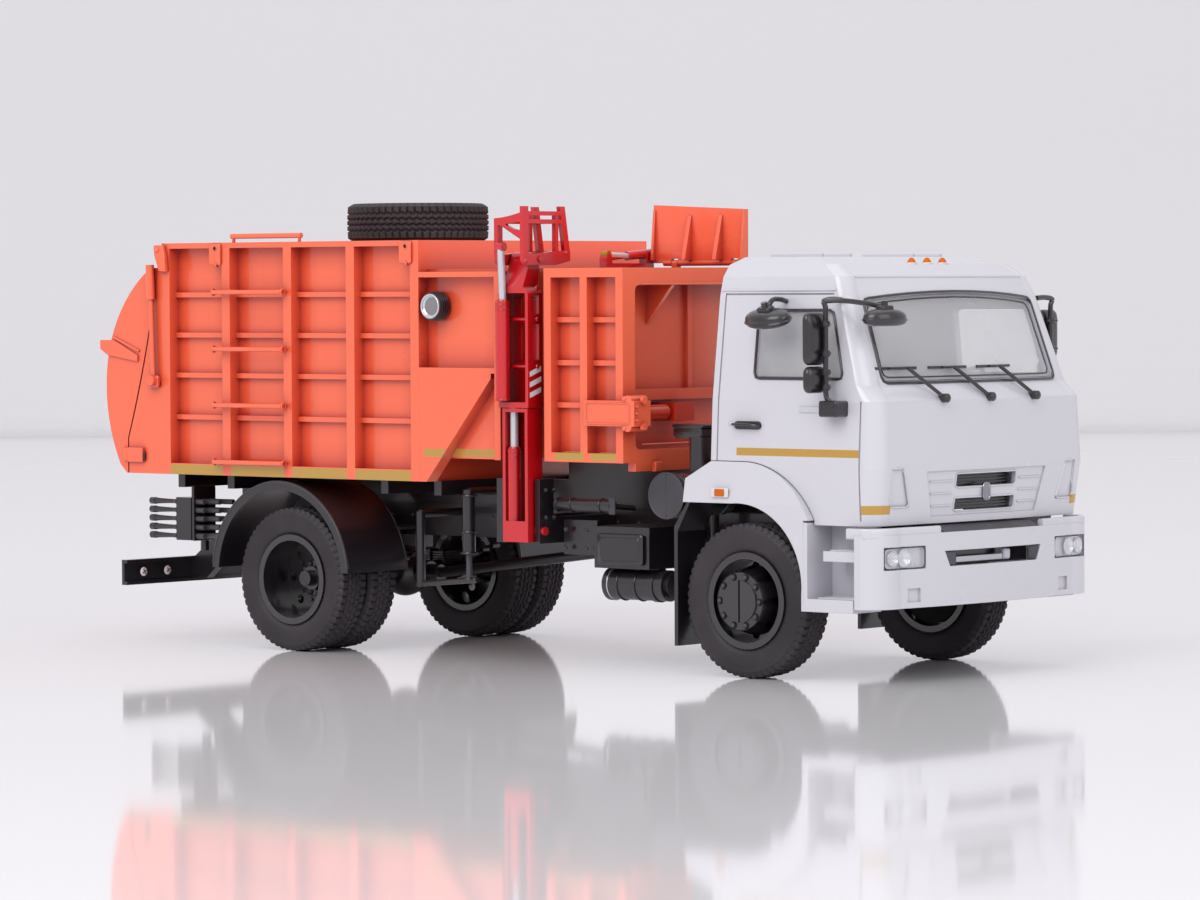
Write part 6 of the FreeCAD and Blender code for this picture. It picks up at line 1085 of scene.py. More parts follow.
@dataclass
class CabTrim:
    """Seals, frames, mirrors, wipers, handles, treads and marker lamps of the cab."""

    palette: Palette
    screen_half: tuple[float, float] = (22.3, 21.6)
    screen_height: tuple[float, float] = (46.6, 59.0)
    screen_crown: float = 1.1
    window: tuple[tuple[float, float], ...] = ((2.3, 47.2), (19.3, 47.2), (16.6, 57.4), (2.3, 57.4))
    seal: float = 0.25
    nose_mid: float = 29.1
    mirror_out: float = 29.5
    mirror_x: float = 18.2

    def build(self) -> None:
        """Lays each group of trim on the cab."""
        self.shell = Skin("cab_shell")
        self.glass = Skin("cab_glass")
        self._seals()
        self._nose()
        self._roof()
        self._mirrors()
        self._wipers()
        self._handles()
        self._lamps()
        self._treads()

    def _screen(self, grow: float) -> np.ndarray:
        """The windscreen's outline as y and z, moved out by grow, with its crowned top."""
        low, high = self.screen_height[0] - grow, self.screen_height[1] + grow
        half_low, half_high = (half + grow for half in self.screen_half)
        across = np.linspace(half_high, -half_high, 9)
        top = np.column_stack((across, high + self.screen_crown * (1 - (across / half_high) ** 2)))
        return resampled(rounded_loop([(-half_low, low), (half_low, low), *top], 1.1), 0.8)

    def _seals(self) -> None:
        """Black rubber round the screen and the side windows, laid on the shell."""
        piece = Piece("window_seals")
        outer = self.shell.front(self._screen(0.28))
        piece.add(looped(outer, circle(self.seal, 8), (1.0, 0.0, 0.0)))
        inner = self.glass.front(self._screen(-0.6), 0.02)
        piece.add(looped(inner, circle(0.13, 6), (1.0, 0.0, 0.0)))
        for side in Side:
            grown = np.array(self.window) + ((-0.2, -0.2), (0.3, -0.2), (0.2, 0.2), (-0.2, 0.2))
            edge = self.shell.flank(resampled(rounded_loop(grown, 0.9), 0.8), side.value)
            piece.add(looped(edge, circle(0.24, 8), (0.0, 1.0, 0.0)))
        piece.make(self.palette[Finish.PLASTIC], "truck", "plastic_black")

    def _nose(self) -> None:
        """Ribs beside the grilles, frames round the openings and the corner panels, and a plain boss."""
        piece = Piece("nose_frames")
        bar = rounded_box(0.34, 0.3, 0.12, 3)
        for z in (27.2, self.nose_mid, 31.0):
            for sign in (-1, 1):
                y = np.linspace(sign * 8.7, sign * (13.7 + (z - 27.2) * 0.2), 14)
                line = self.shell.front(np.column_stack((y, np.full_like(y, z))), 0.03)
                piece.add(swept(line, bar))
        for low, high in ((26.2, 28.3), (29.9, 32.1)):
            loop = resampled(rounded_loop(((-7.95, low), (7.95, low), (7.95, high), (-7.95, high)), 0.3), 0.9)
            piece.add(looped(self.shell.front(loop, 0.02), circle(0.16, 6), (1.0, 0.0, 0.0)))
        for sign in (-1, 1):
            panel = ((19.2, 27.3), (24.0, 27.3), (24.0, 33.3), (21.3, 33.3))
            loop = rounded_loop([(sign * y, z) for y, z in panel], 0.5)
            piece.add(looped(self.shell.front(resampled(loop, 0.8), 0.02), circle(0.17, 6), (1.0, 0.0, 0.0)))
        piece.make(self.palette[Finish.CAB], "truck", "cab_white")
        self._mouth()
        nose = float(self.shell.front(np.array(((0.0, self.nose_mid),)))[0, 0])
        seat = facing_front(nose - 0.15, 0.0, self.nose_mid)
        boss = Piece("nose_boss")
        boss.add(seat.carry(prism(rounded_box(1.7, 2.7, 0.6), 0.45, 0.1)))
        boss.add(seat.carry(looped(np.column_stack((rounded_box(1.7, 2.7, 0.6), np.full(17, 0.45))),
                                   circle(0.14, 6), (0.0, 0.0, 1.0))))
        boss.make(self.palette[Finish.STEEL], "truck", "chrome_rod")

    def _mouth(self) -> None:
        """The bumper's rolled top edge, grey pads at both ends of its mouth, and a bar across the opening."""
        face = Skin("bumper")
        pads, bar, lip = Piece("mouth_pads"), Piece("mouth_bar"), Piece("bumper_lip")
        for sign in (-1, 1):
            x = float(face.front(np.array(((sign * 13.6, 20.9),)))[0, 0])
            corners_at = ((9.6, 17.95), (11.5, 17.95), (12.5, 20.2), (9.6, 20.2))
            pad = rounded_loop([(sign * y, z) for y, z in corners_at], 0.5)
            pads.add(Seat((x - 0.5, 0.0, 0.0), (0.0, 1.0, 0.0), (0.0, 0.0, 1.0), (1.0, 0.0, 0.0)).carry(
                prism(pad, 0.6, 0.25)))
            y = sign * np.linspace(13.4, 27.8, 20)
            front = face.front(np.column_stack((y, np.full_like(y, 22.6))), -0.55)
            flank = np.column_stack((np.linspace(front[-1, 0] - 0.8, 21.6, 6), np.full(6, sign * 28.5),
                                     np.full(6, 22.6)))
            lip.add(swept(np.vstack((front, flank)) + (0, 0, 0.8), rounded_box(1.0, 1.7, 0.35, 4)))
        bar.add(facing_front(x - 1.7, -2.4, 18.75).carry(prism(rounded_box(12.4, 0.85, 0.2), 0.8, 0.15)))
        bar.add(facing_front(x - 1.7, 4.9, 19.1).carry(prism(rounded_box(1.8, 1.7, 0.3), 0.9, 0.2)))
        lip.make(self.palette[Finish.CAB], "truck", "cab_white")
        pads.make(self.palette[Finish.GREY], "truck", "grey_plastic")
        bar.make(self.palette[Finish.CAB], "truck", "cab_white")

    def _roof(self) -> None:
        """The gutters over the doors, the brow line and two shallow ribs pressed in the roof."""
        piece = Piece("roof_lines")
        for side in Side:
            x = np.linspace(-5.6, 16.9, 26)
            piece.add(swept(self.shell.flank(np.column_stack((x, np.full_like(x, 60.7))), side.value, 0.02),
                            circle(0.2, 8)))
            for y in (8.2, 15.4):
                run = np.linspace(-3.6, 6.6, 20)
                flat = np.column_stack((run, np.full_like(run, side.value * y)))
                top = np.column_stack((flat, self.shell.reach(flat, 2, 1.0) - 0.12))
                piece.add(swept(top, rounded_box(1.3, 0.5, 0.2, 3), (0.0, 1.0, 0.0)))
        y = np.linspace(-21.6, 21.6, 40)
        piece.add(swept(self.shell.front(np.column_stack((y, np.full_like(y, 62.7))), -0.05),
                        circle(0.22, 8)))
        piece.make(self.palette[Finish.CAB], "truck", "cab_white")

    def _mirrors(self) -> None:
        """Mirror arms, ribbed shells with their glasses, and the two round mirrors of the right side."""
        piece = Piece("mirror_set")
        faces = Piece("mirror_glasses")
        x, out, shell_out = self.mirror_x, self.mirror_out, 30.5
        for side in Side:
            s = side.value
            arm = ((x, s * 25.6, 59.2), (x, s * 27.8, 59.3), (x, s * 29.9, 59.0), (x, s * out, 58.0),
                   (x, s * out, 56.0), (x, s * out, 51.0), (x, s * out, 46.5), (x, s * (out - 0.1), 44.4),
                   (x + 0.5, s * (out - 0.5), 43.4))
            piece.add(pipe(arm, 0.42, 48, 10))
            for z, height, width in ((53.25, 8.1, 4.8), (46.95, 4.1, 4.6)):
                seat = facing_front(x - 1.5, s * shell_out, z)
                shell = rounded_box(width, height, 1.1, 6)
                piece.add(seat.carry(domed(shell, 1.05, 2.6)))
                piece.add(seat.carry(domed(shell, 0.7, 3.5) * (1, 1, -1)))
                glass = facing_front(x - 2.15, s * shell_out, z, -1.0)
                faces.add(glass.carry(prism(rounded_box(width - 1.1, height - 1.1, 0.7), 0.12, 0.03)))
                for shift in (-0.28, 0.28):
                    mid = z + shift * height
                    piece.add(rod((x, s * out, mid - 0.45), (x, s * out, mid + 0.45), 0.68))
                    piece.add(rod((x, s * (out - 1.0), mid), (x + 0.55, s * (out + 1.0), mid), 0.24, 8))
            base = Seat((x + 0.9, s * 26.9, 42.5), (1.0, 0.0, 0.0), (0.0, 0.0, 1.0), (0.0, s, 0.0))
            piece.add(base.carry(prism(rounded_box(3.6, 2.5, 0.4), 3.5, 0.25)))
            piece.add(base.carry(prism(rounded_box(2.6, 0.5, 0.2), 3.7, 0.1) + (0, 0.5, 0)))
        plate = ellipse(4.1, 2.5)
        kerb = Seat((7.3, -30.0, 56.1), (1.0, 0.0, 0.0), (0.0, 0.94, 0.34), (0.0, -0.34, 0.94))
        front = Seat((25.6, -24.3, 56.1), (0.25, 0.97, 0.0), (-0.97, 0.25, 0.0), (0.0, 0.0, 1.0))
        for seat, outline in ((kerb, plate), (front, plate * (0.95, 0.9))):
            piece.add(seat.carry(domed(outline, 1.7, 2.8)))
            piece.add(seat.carry(domed(outline, 1.0, 3.0) * (1, 1, -1)))
            loop = np.column_stack((outline, np.zeros(len(outline))))
            piece.add(seat.carry(looped(loop, circle(0.2, 6), (0.0, 0.0, 1.0))))
            piece.add(seat.carry(rod((0.0, 0.0, 1.2), (0.0, 0.0, 2.9), 0.55, 12)))
            piece.add(seat.carry(prism(rounded_box(2.6, 1.7, 0.4), 0.9, 0.2) + (0, 0, 1.3)))
            faces.add(seat.carry(domed(outline * 0.86, 1.08, 3.0) * (1, 1, -1)))
        kerb_arm = ((7.3, -30.0, 58.1), (7.4, -29.0, 59.2), (7.4, -27.2, 59.3), (7.4, -25.6, 59.0))
        front_arm = ((x, -30.0, 59.0), (20.5, -28.6, 59.1), (23.6, -25.9, 58.6), (25.6, -24.3, 58.0))
        piece.add(pipe(kerb_arm, 0.4, 20)).add(pipe(front_arm, 0.4, 24))
        piece.make(self.palette[Finish.PLASTIC], "truck", "plastic_black", ("mirrors",))
        faces.make(self.palette[Finish.SILVER], "truck", "chrome_rod")

    def _wipers(self) -> None:
        """Three wipers: capped pivots, arms and blades that follow the glass."""
        piece = Piece("wiper_set")
        for y in (12.5, 0.6, -11.3):
            tip_y, tip_z = y - 7.6, 48.6
            path = np.column_stack((np.linspace(y, tip_y, 10), np.linspace(43.9, tip_z, 10)))
            lane = np.column_stack((np.linspace(27.3, 26.0, 10), path))
            piece.add(swept(lane, rounded_box(0.5, 0.62, 0.18, 3), (1.0, 0.0, 0.0)))
            piece.add(rod((26.2, y, 43.9), (27.9, y, 43.9), 0.72))
            piece.add(facing_front(27.8, y, 43.9).carry(domed(circle(0.72, 14), 0.4)))
            across = np.linspace(tip_y - 4.6, tip_y + 4.6, 16)
            blade = self.glass.front(np.column_stack((across, np.full_like(across, tip_z))), 0.22)
            piece.add(swept(blade, rounded_box(0.26, 0.46, 0.1, 3)))
            bridge = blade[5:11] + (0.32, 0, 0)
            piece.add(swept(bridge, rounded_box(0.34, 0.34, 0.1, 3)))
        piece.make(self.palette[Finish.PLASTIC], "truck", "plastic_black", ("wipers",))

    def _handles(self) -> None:
        """Door handles in shallow dishes, with a lock each, and the plain strip on each door."""
        piece = Piece("handle_set")
        bright = Piece("door_brightwork")
        for side in Side:
            s = side.value
            skin = float(self.shell.flank(np.array(((1.3, 39.7),)), s)[0, 1])
            seat = facing_side(1.3, skin, 39.7)
            piece.add(seat.carry(prism(rounded_box(5.4, 1.3, 0.6), 0.16, 0.06)))
            grip = np.array(((-2.7, 0.1, 0.15), (-2.3, 0.15, 0.75), (-1.2, 0.15, 0.9), (0.6, 0.1, 0.9),
                             (1.7, 0.0, 0.8), (2.5, -0.1, 0.2)))
            bar = swept(smooth_line(grip, 18), rounded_box(0.75, 0.42, 0.15, 3), (0.0, 1.0, 0.0))
            piece.add(seat.carry(bar))
            bright.add(seat.carry(prism(circle(0.34, 14), 0.14, 0.04) + (s * 3.6, 0.2, 0)))
            strip = facing_side(13.9, float(self.shell.flank(np.array(((13.9, 42.3),)), s)[0, 1]), 42.3)
            bright.add(strip.carry(prism(rounded_box(5.0, 0.95, 0.2), 0.2, 0.06)))
        piece.make(self.palette[Finish.PLASTIC], "truck", "plastic_black", ("door_handles",))
        bright.make(self.palette[Finish.SILVER], "truck", "chrome_rod")

    def _lamps(self) -> None:
        """Three domed roof lamps and a two-part marker on each front arch."""
        domes = Piece("marker_domes")
        bases = Piece("marker_bases")
        for y in (-4.02, 0.0, 4.02):
            top = float(self.shell.reach(np.array(((15.4, y),)), 2, 1.0)[0])
            seat = Seat((15.4, y, top - 0.15))
            domes.add(seat.carry(domed(circle(0.74, 16), 1.05, 1.8)))
            bases.add(seat.carry(ring(0.8, 0.13, 20) + (0, 0, 0.12)))
        for side in Side:
            seat = facing_side(-3.2, side.value * 29.05, 29.15)
            bases.add(seat.carry(prism(rounded_box(3.4, 1.5, 0.25), 0.22, 0.08)))
            domes.add(seat.carry(prism(rounded_box(2.0, 1.16, 0.2), 0.36, 0.1)))
        domes.make(self.palette[Finish.AMBER], "truck", "lens_amber", ("marker_lamps",))
        bases.make(self.palette[Finish.MARK], "truck", "lens_clear")

    def _treads(self) -> None:
        """Raised grip bars on both entry steps of each side."""
        piece = Piece("step_treads")
        for side in Side:
            s = side.value
            for z, rear in ((20.6, 17.0), (13.2, 14.6)):
                for out in (24.0, 25.4, 26.8):
                    piece.add(swept(np.linspace((rear, s * out, z), (22.4, s * out, z), 2),
                                    rounded_box(0.5, 0.4, 0.15, 3)))
        piece.make(self.palette[Finish.CAB], "truck", "cab_white")


# Lamps

@dataclass
class Lamps:
    """Headlamp bowls and ribbed lenses, the work lamp, and the screws of the rear bar."""

    palette: Palette
    head_middle: tuple[float, float] = (21.65, 19.55)
    head_size: tuple[float, float] = (9.2, 3.3)
    bowls: tuple[tuple[float, float], ...] = ((24.4, 1.15), (21.7, 1.35))
    depth: float = 0.5
    work_spot: Triple = (-64.3, -29.07, 58.3)
    work_radius: float = 1.9
    screw_y: tuple[float, ...] = (-22.3, -16.5)

    def build(self) -> None:
        """Makes every lamp."""
        self.face = Skin("headlamps")
        rims, chrome, lenses = Piece("lamp_rims"), Piece("lamp_bowls"), Piece("lamp_lenses")
        for side in Side:
            self._head(side.value, rims, chrome, lenses)
        chrome.make(self.palette[Finish.SILVER], "truck", "chrome_rod", sharp=60)
        lenses.make(self.palette[Finish.LENS], "truck", "lens_clear", ("headlamps",), sharp=60)
        self._work(rims)
        rims.make(self.palette[Finish.PLASTIC], "truck", "plastic_black")
        self._rear()

    def _sheet(self, outline: np.ndarray, middle: tuple[float, float], rows: int) -> np.ndarray:
        """Fills an outline with rings of y and z about its middle, scale from 0 to 1."""
        return outline[None] * np.linspace(0, 1, rows)[:, None, None] + middle

    def _on_face(self, flat: np.ndarray, lift) -> np.ndarray:
        """Lays a grid of y and z on the lamp's face, lifted by a number or an array."""
        placed = self.face.front(flat.reshape(-1, 2)).reshape(flat.shape[:2] + (3,))
        return placed + np.stack(np.broadcast_arrays(lift, 0.0, np.zeros(flat.shape[:2])), axis=-1)

    def _head(self, s: float, rims: Piece, chrome: Piece, lenses: Piece) -> None:
        """One headlamp: two hollow bowls, r^2 deep, an inner ribbed field and a rippled lens.

        Args:
            s: the side's sign.
            rims: the black rims.
            chrome: the bright housings.
            lenses: the clear lenses.
        """
        middle = (s * self.head_middle[0], self.head_middle[1])
        outline = resampled(rounded_box(*self.head_size, 0.7, 5), 0.5)
        field = self._sheet(outline * 0.96, middle, 14)
        ribs = 0.1 * np.cos(field[..., 0] * 9.0) * (np.abs(field[..., 0]) < 20.2)
        chrome.add(self._on_face(field, ribs - self.depth))
        for y, radius in self.bowls:
            cup = self._sheet(circle(radius, 24), (s * y, self.head_middle[1]), 8)
            run = np.linspace(0, 1, 8)[:, None]
            chrome.add(self._on_face(cup, self.depth * (run ** 2 - 1) + 0.02 - 0.12 * (run < 0.3)))
            edge = cup[-1:, :]
            chrome.add(looped(self._on_face(edge, -0.05)[0], circle(0.12, 6), (1.0, 0.0, 0.0)))
        field = self._sheet(outline, middle, 16)
        lenses.add(self._on_face(field, 0.02 + 0.03 * np.cos(field[..., 0] * 12.0)))
        rims.add(looped(self._on_face(outline[None] + middle, 0.0)[0], circle(0.13, 6), (1.0, 0.0, 0.0)))

    def _work(self, rims: Piece) -> None:
        """The round work lamp: finned black rim, deep bowl and a domed lens with a ribbed face.

        The lens rises as 0.34 (1 - run^2), with ribs of 0.035 cos(11 x) cos(11 y) on it.

        Args:
            rims: the piece that gathers the lamps' black rims.
        """
        seat = facing_side(*self.work_spot)
        radius = self.work_radius
        run = np.linspace(0, 1, 9)
        bowl = spun(np.column_stack((run * radius, 0.9 * run ** 2 - 0.55)), 28)
        Piece("work_bowl").add(seat.carry(bowl)).add(seat.carry(ring(radius, 0.16) + (0, 0, 0.34))).add(
            seat.carry(ring(0.6, 0.12, 16) + (0, 0, -0.3))).make(
            self.palette[Finish.SILVER], "truck", "chrome_rod", sharp=60)
        dome = spun(np.column_stack((run * (radius - 0.1), 0.34 * (1 - run ** 2) + 0.02)), 28)
        dome[..., 2] += 0.035 * np.cos(dome[..., 0] * 11.0) * np.cos(dome[..., 1] * 11.0)
        Piece("work_glass").add(seat.carry(dome)).make(
            self.palette[Finish.LENS], "truck", "lens_clear", ("work_lamp_lens",), sharp=60)
        for depth in (-0.25, -0.75, -1.25, -1.75):
            rims.add(seat.carry(ring(2.3, 0.13) + (0, 0, depth)))
        rims.add(seat.carry(ring(radius + 0.22, 0.2) + (0, 0, 0.1)))

    def _rear(self) -> None:
        """Cross-slotted screw heads on the rear bar's front face and rings round the rear lamps."""
        heads, slots, rings = Piece("bar_screws"), Piece("screw_slots"), Piece("rear_lamp_rings")
        for y in self.screw_y + tuple(-y for y in self.screw_y):
            seat = facing_front(-139.7, y, 11.8)
            heads.add(seat.carry(domed(circle(0.8, 20), 0.3)))
            for turn in (0.5, 2.07):
                bar = np.array((math.cos(turn), math.sin(turn), 0.0)) * 0.52
                slots.add(seat.carry(swept(np.stack((-bar, bar)) + (0, 0, 0.28), circle(0.09, 6))))
            rear = facing_front(-141.2, y, 11.8, -1.0)
            rings.add(rear.carry(ring(1.08, 0.12, 24)))
        heads.make(self.palette[Finish.MARK], "truck", "lens_clear")
        slots.make(self.palette[Finish.CHASSIS], "truck", "chassis_black")
        rings.make(self.palette[Finish.PLASTIC], "truck", "plastic_black")


def bolt(seat: Seat, size: float, rise: float) -> list[np.ndarray]:
    """A hex head with a washer and a crowned top on a seat."""
    return [seat.carry(prism(circle(size * 1.35, 16), rise * 0.3, 0.04)),
            seat.carry(prism(hexagon(size), rise, 0.08)),
            seat.carry(domed(circle(size * 0.6, 10), rise * 0.35) + (0, 0, rise * 0.9))]


# Side arm

@dataclass
class ArmTrim:
    """Markings, glands, bolts and pin heads of the side arm and its guides."""

    palette: Palette
    mark_x: float = -41.88
    mark_z: tuple[float, ...] = (44.3, 46.0, 47.7)
    lift_ram: tuple[float, float] = (-46.0, -29.3)
    tilt_ram: tuple[float, float] = (-46.9, -31.0)

    def build(self) -> None:
        """Makes the arm's trim on the arm and on the guides."""
        rods, eye = Piece("ram_rods"), Piece("tilt_eye")
        x, y = self.lift_ram
        rods.add(rod((x, y, 34.0), (x, y, 41.9), 0.66, 20))
        x, y = self.tilt_ram
        rods.add(rod((x, y + 0.1, 58.0), (x, y - 0.35, 67.6), 0.6, 20))
        rods.make(self.palette[Finish.SILVER], "arm", "chrome_rod", ("arm_rods",))
        eye.add(rod((x - 0.7, y - 0.35, 67.9), (x + 0.7, y - 0.35, 67.9), 0.75, 18))
        eye.make(self.palette[Finish.ARM], "arm", "arm_red")
        marks = Piece("hazard_marks")
        bar = np.array(((-1.35, -0.8), (1.35, 0.1), (1.35, 0.95), (-1.35, 0.05), (-1.35, -0.8)))
        for z in self.mark_z:
            marks.add(facing_front(self.mark_x, -28.75, z).carry(prism(bar, 0.06)))
        marks.make(self.palette[Finish.MARK], "arm", "cab_white")
        glands = Piece("ram_glands")
        for (x, y), base, top, radius in ((self.lift_ram, 23.2, 35.3, 1.12), (self.tilt_ram, 43.2, 59.1, 1.17)):
            for z in (base, top - 1.4, top - 0.5):
                glands.add(ring(radius, 0.1, 22) + (x, y, z))
            glands.add(spun(np.array(((0.0, 0.0), (radius * 0.92, 0.0), (radius * 0.8, 0.35), (0.0, 0.35))), 18)
                       + (x, y, top - 0.05))
        for x in (-48.35, -41.85):
            for z, size in ((48.6, 0.42), (56.2, 0.42), (61.2, 0.5)):
                end = facing_front(x, -28.3, z, math.copysign(1.0, x + 45))
                glands.add(end.carry(domed(circle(size, 14), 0.3)))
        for z in (37.6, 40.9, 49.0, 56.2, 59.6):
            weld = np.linspace((-47.4, -27.52, z), (-42.3, -27.52, z), 2)
            glands.add(swept(weld, circle(0.13, 6)))
        glands.make(self.palette[Finish.ARM], "arm", "arm_red")
        bright = Piece("arm_bolts")
        for z in (32.7, 30.9):
            for grid in bolt(facing_side(-43.9, -27.5, z), 0.42, 0.4):
                bright.add(grid)
        bright.make(self.palette[Finish.SILVER], "arm", "chrome_rod")
        bolts = Piece("guide_bolts")
        for x, sign in ((-50.1, -1.0), (-40.8, 1.0)):
            for y in (-27.6, -25.6):
                for z in (24.2, 28.6):
                    for grid in bolt(facing_front(x, y, z, sign), 0.34, 0.35):
                        bolts.add(grid)
        bolts.make(self.palette[Finish.CHASSIS], "truck", "chassis_black")
        head = Piece("arm_pin_head")
        head.add(facing_front(-40.75, -28.2, 22.0).carry(domed(circle(0.7, 16), 0.35)))
        head.make(self.palette[Finish.ARM], "truck", "arm_red")
        grab = Piece("gripper_welds")
        for x in (-48.2, -42.0):
            for y, z in ((-30.9, 65.6), (-21.0, 66.9), (-27.4, 65.9)):
                grab.add(facing_front(x, y, z, math.copysign(1.0, x + 45)).carry(domed(circle(0.4, 12), 0.28)))
        grab.make(self.palette[Finish.ARM], "grab", "arm_red")


# Body

@dataclass
class BodyTrim:
    """Lugs, latches, sockets and small fittings on the orange body, hopper, lid and rear door."""

    palette: Palette
    face_y: float = 29.07
    lug_x: tuple[float, float] = (-114.3, -69.9)
    bar_z: tuple[float, ...] = (31.8, 41.5, 51.07, 60.75)

    def build(self) -> None:
        """Makes the fittings body by body."""
        self._lugs()
        self._door()
        self._steps()
        self._hopper()
        self._lid()

    def _lugs(self) -> None:
        """Lifting lugs: a plate with an eye, and a lip turned out at its foot."""
        # Each lug's eye is filled with a matte black disc as painted shadow.
        piece, eye_shadows = Piece("lifting_lugs"), Piece("lug_eye_shadows")
        for side in Side:
            for x in self.lug_x:
                s = side.value
                seat = facing_side(x, s * (self.face_y - 0.05), 67.2)
                piece.add(seat.carry(prism(rounded_box(2.7, 3.6, 0.35), 0.45, 0.1)))
                hook = np.array(((0.0, -1.5, 0.3), (0.0, -1.9, 0.4), (0.0, -2.1, 0.0), (0.0, -1.9, -0.3)))
                line = hook * (1, 1, 0.6) + (0.3, 0, 0.2)
                piece.add(seat.carry(swept(line, circle(0.26, 8), (1.0, 0.0, 0.0))))
                piece.add(seat.carry(ring(0.42, 0.1, 16) + (0.1, 1.0, 0.45)))
                eye_shadows.add(seat.carry(prism(circle(0.36, 14), 0.02) + (0.1, 1.0, 0.45)))
        piece.make(self.palette[Finish.PLAIN_ORANGE], "truck", "body_orange")
        eye_shadows.make(self.palette[Finish.SHADOW], "truck", "chassis_black")

    def _door(self) -> None:
        """The rear door's stiffening bead, latch hooks and pin heads."""
        piece, blocks = Piece("door_fittings"), Piece("latch_blocks")
        for side in Side:
            s = side.value
            out = s * (self.face_y + 0.05)
            piece.add(swept(np.array(((-139.6, out, 53.0), (-136.4, out, 51.8), (-133.2, out, 50.6))),
                            circle(0.24, 8)))
            seat = facing_side(-134.7, s * self.face_y, 32.7)
            piece.add(seat.carry(prism(rounded_box(5.2, 2.3, 0.5), 0.35, 0.1)))
            piece.add(swept(np.array(((-137.2, out, 33.6), (-134.5, s * 29.3, 33.7), (-132.2, s * 29.3, 32.9))),
                            circle(0.22, 8)))
            latch = facing_side(-132.2, s * self.face_y, 32.4)
            blocks.add(latch.carry(prism(rounded_box(0.9, 1.5, 0.2), 0.5, 0.1)))
        for z in (36.0, 42.0, 48.0):
            piece.add(swept(np.linspace((-137.0 - (z - 36) * 0.2, -25, z), (-137.0 - (z - 36) * 0.2, 25, z), 2),
                            circle(0.3, 8)))
        piece.make(self.palette[Finish.PLAIN_ORANGE], "rear_door", "body_orange")
        plates = Piece("ram_brackets")
        upper = rounded_loop(((1.7, 3.0), (-0.3, 3.0), (-0.1, 1.2), (1.0, -1.6), (2.6, -1.6), (2.4, 1.0)), 0.3)
        for s in (-1.0, 1.0):
            seat = facing_side(-128.4, s * 29.1, 65.9)
            plates.add(seat.carry(prism(upper * (-s, 1), 0.9, 0.15)))
            plates.add(seat.carry(domed(circle(0.5, 14), 0.4) + (-s * 0.6, 2.2, 0.85)))
            plates.add(facing_side(-129.2, s * 29.3, 45.4).carry(prism(rounded_box(2.6, 2.1, 0.4), 0.7, 0.15)))
            plates.add(rod((-129.2, s * 29.2, 45.4), (-129.2, s * 30.8, 45.4), 0.55))
        plates.make(self.palette[Finish.PLAIN_ORANGE], "truck", "body_orange")
        blocks.make(self.palette[Finish.CHASSIS], "rear_door", "chassis_black")

    def _steps(self) -> None:
        """Sockets and six-sided end caps of the four step tubes."""
        sockets, ends = Piece("step_sockets"), Piece("step_ends")
        for z in self.bar_z:
            for x, sign in ((-97.5, 1.0), (-114.05, -1.0)):
                seat = facing_front(x, -30.0, z, sign)
                sockets.add(seat.carry(ring(0.5, 0.16, 18)))
                ends.add(seat.carry(prism(hexagon(0.6), 0.1)))
        sockets.make(self.palette[Finish.PLAIN_ORANGE], "truck", "body_orange")
        # The end caps take the shaded orange: painted shade.
        ends.make(self.palette[Finish.SHADED_ORANGE], "truck", "body_orange")

    def _hopper(self) -> None:
        """The side cover's raised frame with its hinge knobs, and welds along the portal."""
        piece = Piece("hopper_fittings")
        loop = rounded_loop(((-29.9, 39.6), (-20.9, 39.6), (-20.9, 42.9), (-29.9, 42.9)), 0.35)
        path = np.column_stack((loop[:, 0], np.full(len(loop), -30.05), loop[:, 1]))
        piece.add(looped(path, circle(0.16, 6), (0.0, 1.0, 0.0)))
        for z in (38.9, 43.6):
            piece.add(facing_side(-22.0, -29.9, z).carry(prism(circle(0.42, 16), 0.4, 0.18)))
        for z in (40.2, 41.3, 42.4):
            piece.add(rod((-20.9, -29.6, z), (-19.4, -29.6, z), 0.22))
        for z in (36.2, 61.8):
            piece.add(swept(np.linspace((-23.1, -24.5, z), (-23.1, 24.5, z), 2), circle(0.16, 6)))
        piece.add(facing_front(-23.3, -21.0, 32.6).carry(prism(rounded_box(1.9, 1.6, 0.2), 1.0, 0.12)))
        piece.make(self.palette[Finish.PLAIN_ORANGE], "truck", "body_orange")

    def _lid(self) -> None:
        """The lid ram's bright rod and brass eye."""
        bright, brass = Piece("lid_rod"), Piece("lid_eye")
        bright.add(rod((-41.75, -10.9, 66.55), (-41.75, -6.1, 66.4), 0.52))
        bright.make(self.palette[Finish.SILVER], "truck", "chrome_rod")
        brass.add(rod((-42.4, -11.3, 66.55), (-41.1, -11.3, 66.55), 0.72, 18))
        brass.make(self.palette[Finish.BRASS], "truck", "chrome_rod")


# Chassis

